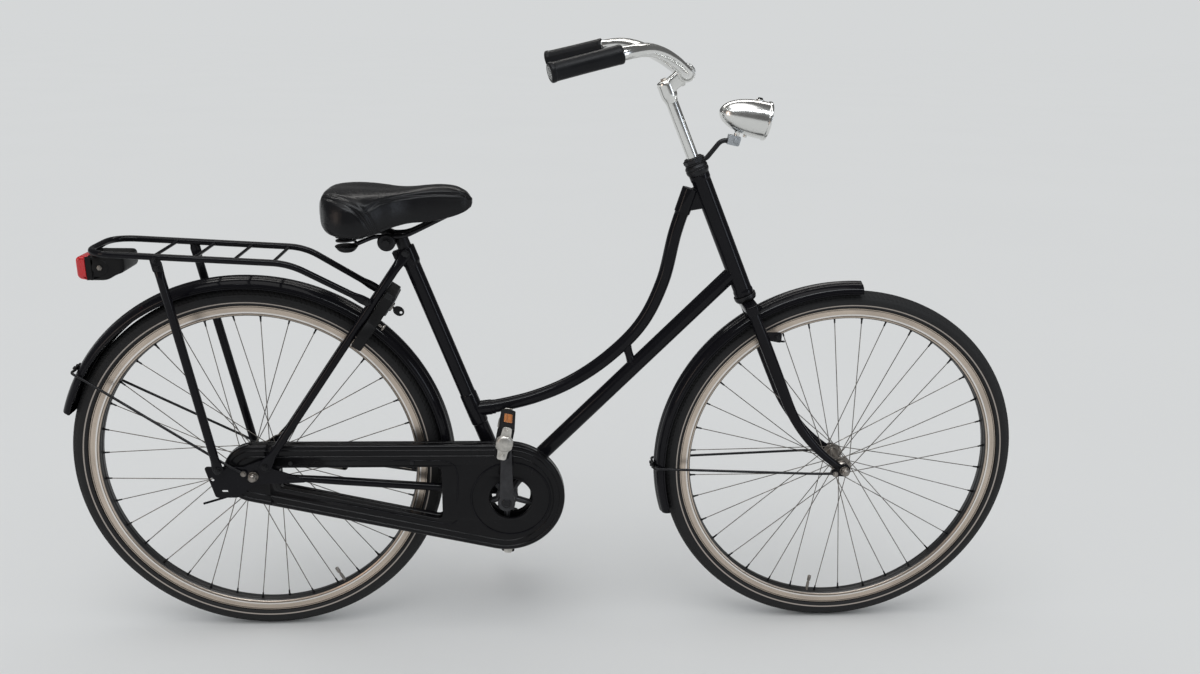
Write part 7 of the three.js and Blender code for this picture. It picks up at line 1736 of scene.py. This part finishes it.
def saddle_section(run):
    """Half width, crown height, hem height and distance ahead of the pivot at shares of the length."""
    line = spline(SADDLE_SHARES, 601)
    values = [np.interp(run, line[:, 0], line[:, column]) for column in (1, 2, 3)]
    return (SADDLE_HALF * values[0], SADDLE_RISE * values[1], SADDLE_RISE * values[2],
            SADDLE_TAIL + SADDLE_LENGTH * run)


FLANK = np.array([[0.93, 0], [0.985, 0.10], [1.0, 0.26], [0.99, 0.44], [0.955, 0.62], [0.88, 0.78],
                  [0.74, 0.895], [0.52, 0.965], [0.26, 0.995], [0, 1.0]])


def saddle_surface(run, lift):
    """Point of the saddle's skin: run is the share of the length from the tail, lift goes from the right
    hem at -1 over the crown at 0 to the left hem at 1. The crown dips by two bell curves multiplied."""
    run, lift = np.broadcast_arrays(np.asarray(run, float), np.asarray(lift, float))
    half, crown, hem, ahead = saddle_section(run)
    flank = spline(FLANK, 200)
    share = 1 - np.abs(lift)
    walked = distances(flank * [1.0, 0.75])
    walked = walked / walked[-1]
    across = np.interp(share, walked, flank[:, 0]) * half * np.sign(lift + 1e-9)
    rise = hem + np.interp(share, walked, flank[:, 1]) * (crown - hem)
    dip = 3.2 * bell(run - 0.34, 0.2) * bell(across, 26)
    return PIVOT + np.stack([ahead, across, rise - dip], -1)


def saddle_seams():
    """The seam lines in run and lift: a double seam down each rear flank and one along each front flank."""
    rear = spline([[0.035, 0.50], [0.10, 0.545], [0.18, 0.60], [0.26, 0.68], [0.32, 0.80], [0.365, 0.97]],
                  90)
    second = spline([[0.075, 0.435], [0.13, 0.475], [0.21, 0.53], [0.29, 0.62], [0.35, 0.76],
                     [0.395, 0.97]], 90)
    front = spline([[0.325, 0.70], [0.42, 0.60], [0.55, 0.56], [0.72, 0.58], [0.90, 0.60], [0.985, 0.50]],
                   110)
    return rear, second, front


def saddle_cover(context):
    """Padded saddle: crowned sections lofted from tail to nose, hem rolled under, and stitches beside the
    seams. At a seam the skin sinks by a bell curve of its distance, with a low swell beside it."""
    ends = (1 - np.cos(np.linspace(0, np.pi / 2, 12))) * 0.06
    run = np.concatenate([ends, np.linspace(0.06, 0.95, 84)[1:-1], 1 - 0.05 * ends[::-1] / 0.06])
    lift = np.linspace(-1, 1, 97)
    skin_points = saddle_surface(run[:, None], lift[None, :])
    lines = [saddle_surface(line[:, 0], way * line[:, 1]) for line in saddle_seams() for way in (-1, 1)]
    flat = skin_points.reshape(-1, 3)
    gap = np.min([np.min(np.linalg.norm(flat[:, None] - line[None], axis=2), axis=1) for line in lines],
                 axis=0)
    rows = len(run)
    normal = np.cross(np.gradient(skin_points, axis=0), np.gradient(skin_points, axis=1))
    normal = unit(normal)
    centre = skin_points.mean(axis=1, keepdims=True)
    normal *= np.sign(np.sum(normal * (skin_points - centre), axis=2, keepdims=True) + 1e-9)
    gap = gap.reshape(rows, -1, 1)
    skin_points = skin_points + normal * (0.5 * bell(gap - 6, 3.2) - 1.5 * bell(gap, 2.1))
    half, crown, hem, ahead = saddle_section(run)
    under = []
    for inward, up in ((3.2, -1.2), (6.5, 1.0), (7.5, 9.0)):
        wide = np.maximum(0.93 * half - inward, 0.25 * half)
        ceiling = np.minimum(hem + up, crown - 4)
        under.append(PIVOT + np.stack([ahead, wide, ceiling], 1))
    left = np.stack(under, 1)
    right = mirror(left)[:, ::-1]
    loop = np.concatenate([skin_points, left, right], axis=1)
    middle = loop.mean(axis=1, keepdims=True)
    tail, nose = ([middle[end] + (loop[end] - middle[end]) * share + out * AHEAD for share, out in steps]
                  for end, steps in ((0, ((0.45, -3.4), (0.82, -2.2))), (-1, ((0.75, 1.6), (0.4, 2.4)))))
    loop = np.concatenate([tail, loop, nose])
    piece = finish_object("saddle_cushion_cover", skin(loop), "saddle_cushion", "grained_vinyl",
                          ["saddle_cover"], 70)
    smooth = piece.modifiers.new("smooth", "SUBSURF")
    smooth.levels = smooth.render_levels = 1
    stitches = []
    for line, offset in zip(saddle_seams(), (0.012, 0.012, 0.011)):
        for way in (-1, 1):
            count = int(distances(saddle_surface(line[:, 0], line[:, 1]))[-1] / 3.4)
            for shift in (-offset, offset):
                spots = saddle_surface(line[:, 0], way * np.clip(line[:, 1] + shift * 2.0, 0, 0.99))
                even = spaced(spots, 2 * count)
                stitches.append(rods(even[0:-1:2], even[1::2], 0.42, sides=6))
    finish_object("saddle_stitches", together(*stitches), "saddle_cushion", "seam_thread")


# Stage

SKY_COLOR = (0.94, 0.97, 1.0)
CEILING_TILT = (math.radians(14), math.radians(-10))
CAMERA_PLACE = at(538.31, -1856.37, 1203.63)


def lay_floor(context):
    """Plain round floor whose rings widen outwards."""
    ring = np.concatenate([[0], np.geomspace(0.5, 60, 24)])
    angle = np.linspace(0, 2 * np.pi, 96, endpoint=False)
    flat = np.zeros((len(ring), len(angle)))
    points = np.stack([np.outer(ring, np.cos(angle)), np.outer(ring, np.sin(angle)), flat], -1)
    mesh = bpy.data.meshes.new("floor")
    mesh.from_pydata(points.reshape(-1, 3).tolist(), [], grid_faces(*flat.shape).tolist())
    work = bmesh.new()
    work.from_mesh(mesh)
    bmesh.ops.remove_doubles(work, verts=work.verts, dist=1e-5)
    work.to_mesh(mesh)
    work.free()
    if mesh.polygons[0].normal.z < 0:
        mesh.flip_normals()
    floor = bpy.data.objects.new("floor", mesh)
    context.scene.collection.objects.link(floor)
    mesh.materials.append(material("floor_paint"))


def light_world(context):
    """Even light from all sides, with its own level in reflections and behind the floor's edge."""
    s = context.scene.bicycle_stage
    world = bpy.data.worlds.new("studio")
    context.scene.world = world
    world.use_nodes = True
    tree = world.node_tree
    back = tree.nodes["Background"]
    path = tree.nodes.new("ShaderNodeLightPath")
    back.inputs["Color"].default_value = (*SKY_COLOR, 1)
    back.inputs["Strength"].default_value = s.sky
    shader = back.outputs[0]
    upright = math.cos(CEILING_TILT[0]) * math.cos(CEILING_TILT[1])
    paint = context.scene.bicycle_finishes.floor
    far_floor = [paint[i] * (s.sky * SKY_COLOR[i] + s.ceiling * upright / math.pi) for i in range(3)]
    for ray, level in (("Is Glossy Ray", [s.mirrored] * 3), ("Is Camera Ray", far_floor)):
        seen = tree.nodes.new("ShaderNodeBackground")
        seen.inputs["Color"].default_value = (*level, 1)
        mix = tree.nodes.new("ShaderNodeMixShader")
        tree.links.new(path.outputs[ray], mix.inputs[0])
        tree.links.new(shader, mix.inputs[1])
        tree.links.new(seen.outputs[0], mix.inputs[2])
        shader = mix.outputs[0]
    tree.links.new(shader, tree.nodes["World Output"].inputs[0])


def hang_lamps(context):
    """A wide soft light from above, and strips and panels that only show in reflections."""
    s = context.scene.bicycle_stage
    data = bpy.data.lights.new("wide_ceiling", "SUN")
    data.energy = s.ceiling
    data.angle = math.radians(50)
    lamp = bpy.data.objects.new("wide_ceiling", data)
    context.scene.collection.objects.link(lamp)
    lamp.rotation_euler = (*CEILING_TILT, 0)
    lamps = (("ceiling_strip", (0.3, -1.5, 2.9), (3.8, 0.35), s.key, (0.93, 0.97, 1.0)),
             ("far_strip", (-0.2, 1.6, 3.0), (3.8, 0.35), 0.6 * s.key, (1.0, 0.98, 0.95)),
             ("side_panel", (-3.4, -2.4, 1.5), (0.8, 1.8), 0.3 * s.key, (1.0, 0.80, 0.68)),
             ("front_panel", (3.4, -2.0, 1.4), (0.8, 1.6), 0.3 * s.key, (0.80, 0.88, 1.0)))
    middle = Vector((0, 0, 0.55))
    for name, place, extent, power, tint in lamps:
        data = bpy.data.lights.new(name, "AREA")
        data.shape = "RECTANGLE"
        data.size, data.size_y = extent
        data.energy = power
        data.color = tint
        lamp = bpy.data.objects.new(name, data)
        context.scene.collection.objects.link(lamp)
        lamp.visible_diffuse = False
        aim = middle - Vector(place)
        lamp.matrix_world = Matrix.Translation(place) @ aim.to_track_quat("-Z", "Y").to_matrix().to_4x4()


def place_camera(context):
    """The camera at the photograph's place and viewing angle."""
    s = context.scene.bicycle_stage
    yaw, pitch, roll = s.yaw, s.pitch, s.roll
    ahead = np.array([math.sin(yaw) * math.cos(pitch), math.cos(yaw) * math.cos(pitch), -math.sin(pitch)])
    right = np.array([math.cos(yaw), -math.sin(yaw), 0])
    up = np.cross(right, ahead)
    turned_right = math.cos(roll) * right + math.sin(roll) * up
    turned_up = -math.sin(roll) * right + math.cos(roll) * up
    data = bpy.data.cameras.new("photo_view")
    data.sensor_width = 36
    data.lens = s.lens
    data.clip_end = 200
    camera = bpy.data.objects.new("photo_view", data)
    context.scene.collection.objects.link(camera)
    matrix = np.eye(4)
    matrix[:3, 0], matrix[:3, 1], matrix[:3, 2] = turned_right, turned_up, -ahead
    matrix[:3, 3] = CAMERA_PLACE / 1000
    camera.matrix_world = Matrix(matrix.tolist())
    context.scene.camera = camera
    context.scene.view_settings.view_transform = "Standard"


def stage(context):
    """Floor, world, lamps and the camera at the photograph's viewing angle."""
    lay_floor(context)
    light_world(context)
    hang_lamps(context)
    place_camera(context)


# Sizes and colours a user may change

def size(name, description, default):
    """A length in metres."""
    return FloatProperty(name=name, description=description, default=default, min=0.0, max=2.0, precision=4,
                         subtype="DISTANCE", unit="LENGTH")


def hue(name, description, default):
    """A colour."""
    return FloatVectorProperty(name=name, description=description, default=default, size=4, min=0.0, max=1.0,
                               subtype="COLOR")


class BicycleFrameSizes(bpy.types.PropertyGroup):
    """Sizes of the frame and fenders."""
    head_radius: size("Head tube radius", "Outer radius of the head tube", 0.018)
    seat_radius: size("Seat tube radius", "Outer radius of the seat tube", 0.015)
    top_radius: size("Top tube radius", "Outer radius of the swan-necked top tube", 0.013)
    down_radius: size("Down tube radius", "Outer radius of the down tube", 0.015)
    rear_fender_radius: size("Rear fender radius", "Crown of the rear fender, from the axle",
                             REAR_CROWN / 1000)
    front_fender_radius: size("Front fender radius", "Crown of the front fender, from the axle",
                              FRONT_CROWN / 1000)


class BicycleWheelSizes(bpy.types.PropertyGroup):
    """Sizes of the wheels."""
    tyre_radius: size("Tyre radius", "Outer radius of the tyres", round(REAR[2] / 1000, 4))
    tyre_half_width: size("Tyre section radius", "Radius of the tyre's section", 0.020)
    rim_radius: size("Rim radius", "Outer radius of the rims", 0.324)
    rim_inner_radius: size("Rim inner radius", "Radius of the rims at the spoke bed", 0.3025)
    spoke_radius: size("Spoke radius", "Radius of a spoke's wire", 0.0009)
    spokes: IntProperty(name="Spokes", description="Spokes in each wheel", default=36, min=4, max=48, step=4)


class BicycleDriveSizes(bpy.types.PropertyGroup):
    """Sizes of the drive."""
    crank_length: size("Crank length", "Crank axle to pedal axle", CRANK_REACH / 1000)


class BicycleLampSizes(bpy.types.PropertyGroup):
    """Sizes of the headlamp."""
    lamp_radius: size("Lamp radius", "Radius of the lamp's shell", 0.034)
    lamp_length: size("Lamp length", "Tail to rim of the lamp", 0.092)


class BicycleFinishes(bpy.types.PropertyGroup):
    """Colours of the finishes."""
    enamel: hue("Enamel", "Gloss enamel of the frame", (0.0062, 0.0060, 0.0076, 1))
    case: hue("Chain case", "Satin black of the chain case", (0.0062, 0.0060, 0.0068, 1))
    rubber: hue("Tyre rubber", "Rubber of the tyres", (0.0125, 0.0125, 0.0132, 1))
    rim: hue("Rim", "Bronze-toned rim walls", (0.74, 0.63, 0.53, 1))
    chrome: hue("Chrome", "Plated stem, bar and lamp", (0.80, 0.80, 0.78, 1))
    steel: hue("Steel", "Spokes, nuts and hubs", (0.24, 0.22, 0.20, 1))
    dark_steel: hue("Dark steel", "Blackened fittings", (0.024, 0.024, 0.026, 1))
    vinyl: hue("Saddle vinyl", "Cover of the saddle", (0.0075, 0.0075, 0.0085, 1))
    grip: hue("Grips", "Rubber of the grips", (0.0070, 0.0074, 0.0090, 1))
    plastic: hue("Plastic", "Black plastic parts", (0.0075, 0.0075, 0.0080, 1))
    lock: hue("Lock", "Grey of the ring lock", (0.085, 0.087, 0.090, 1))
    red: hue("Red lens", "Lens of the rear light", (0.52, 0.012, 0.016, 1))
    amber: hue("Amber", "Pedal reflectors", (0.52, 0.17, 0.03, 1))
    floor: hue("Floor", "Plain floor", (0.78, 0.78, 0.77, 1))


class BicycleStageSettings(bpy.types.PropertyGroup):
    """Camera, lamps and world."""
    yaw: FloatProperty(name="Yaw", description="Camera turn", default=0.066463, unit="ROTATION")
    pitch: FloatProperty(name="Pitch", description="Camera downward tilt", default=0.305095, unit="ROTATION")
    roll: FloatProperty(name="Roll", description="Camera roll", default=0.022780, unit="ROTATION")
    lens: FloatProperty(name="Lens", description="Focal length in millimetres", default=30.227)
    key: FloatProperty(name="Strip", description="Power of the ceiling strip in watts", default=52.0,
                       unit="POWER")
    ceiling: FloatProperty(name="Ceiling", description="Strength of the wide soft light from above",
                           default=0.95)
    sky: FloatProperty(name="Sky", description="Strength of the world's light", default=0.60)
    mirrored: FloatProperty(name="Mirrored sky", description="Level of the world in reflections",
                            default=0.13)


def operator(build):
    """An operator class that runs one builder."""
    def execute(self, context):
        build(context)
        return {"FINISHED"}
    word = build.__name__
    return type("BICYCLE_OT_" + word, (bpy.types.Operator,),
                {"bl_idname": "bicycle." + word, "bl_label": word.replace("_", " ").title(),
                 "bl_description": build.__doc__.strip().split("\n")[0], "__doc__": build.__doc__,
                 "execute": execute})


OPERATORS = [operator(build) for build in (
    stage, frame_tubes, rear_stays, wheels, axles, chain_drive, chain_case, cranks, pedals, fork, headset,
    handlebar, headlamp, fenders, fender_stays, carrier, rear_light, ring_lock, seat_post, saddle_springs,
    saddle_cover)]

GROUPS = (("bicycle_frame", BicycleFrameSizes), ("bicycle_wheels", BicycleWheelSizes),
          ("bicycle_drive", BicycleDriveSizes), ("bicycle_lamp", BicycleLampSizes),
          ("bicycle_finishes", BicycleFinishes), ("bicycle_stage", BicycleStageSettings))


class BICYCLE_PT_sidebar(bpy.types.Panel):
    """Lists the bicycle's operators and sizes."""
    bl_label = "City Bicycle"
    bl_idname = "BICYCLE_PT_sidebar"
    bl_space_type = "VIEW_3D"
    bl_region_type = "UI"
    bl_category = "Bicycle"

    def draw(self, context):
        """Draws one button for each operator, then the sizes and colours."""
        for maker in OPERATORS:
            self.layout.operator(maker.bl_idname)
        for word, group in GROUPS:
            box = self.layout.box()
            for prop in group.__annotations__:
                box.prop(getattr(context.scene, word), prop)


def register():
    """Registers the property groups, operators and panel."""
    for word, group in GROUPS:
        bpy.utils.register_class(group)
        setattr(bpy.types.Scene, word, PointerProperty(type=group))
    for maker in OPERATORS:
        bpy.utils.register_class(maker)
    bpy.utils.register_class(BICYCLE_PT_sidebar)


def unregister():
    """Removes them again."""
    bpy.utils.unregister_class(BICYCLE_PT_sidebar)
    for maker in reversed(OPERATORS):
        bpy.utils.unregister_class(maker)
    for word, group in reversed(GROUPS):
        delattr(bpy.types.Scene, word)
        bpy.utils.unregister_class(group)


def main():
    """Builds the whole bicycle."""
    register()
    for maker in OPERATORS:
        group, word = maker.bl_idname.split(".")
        getattr(getattr(bpy.ops, group), word)()


if __name__ == "__main__":
    main()
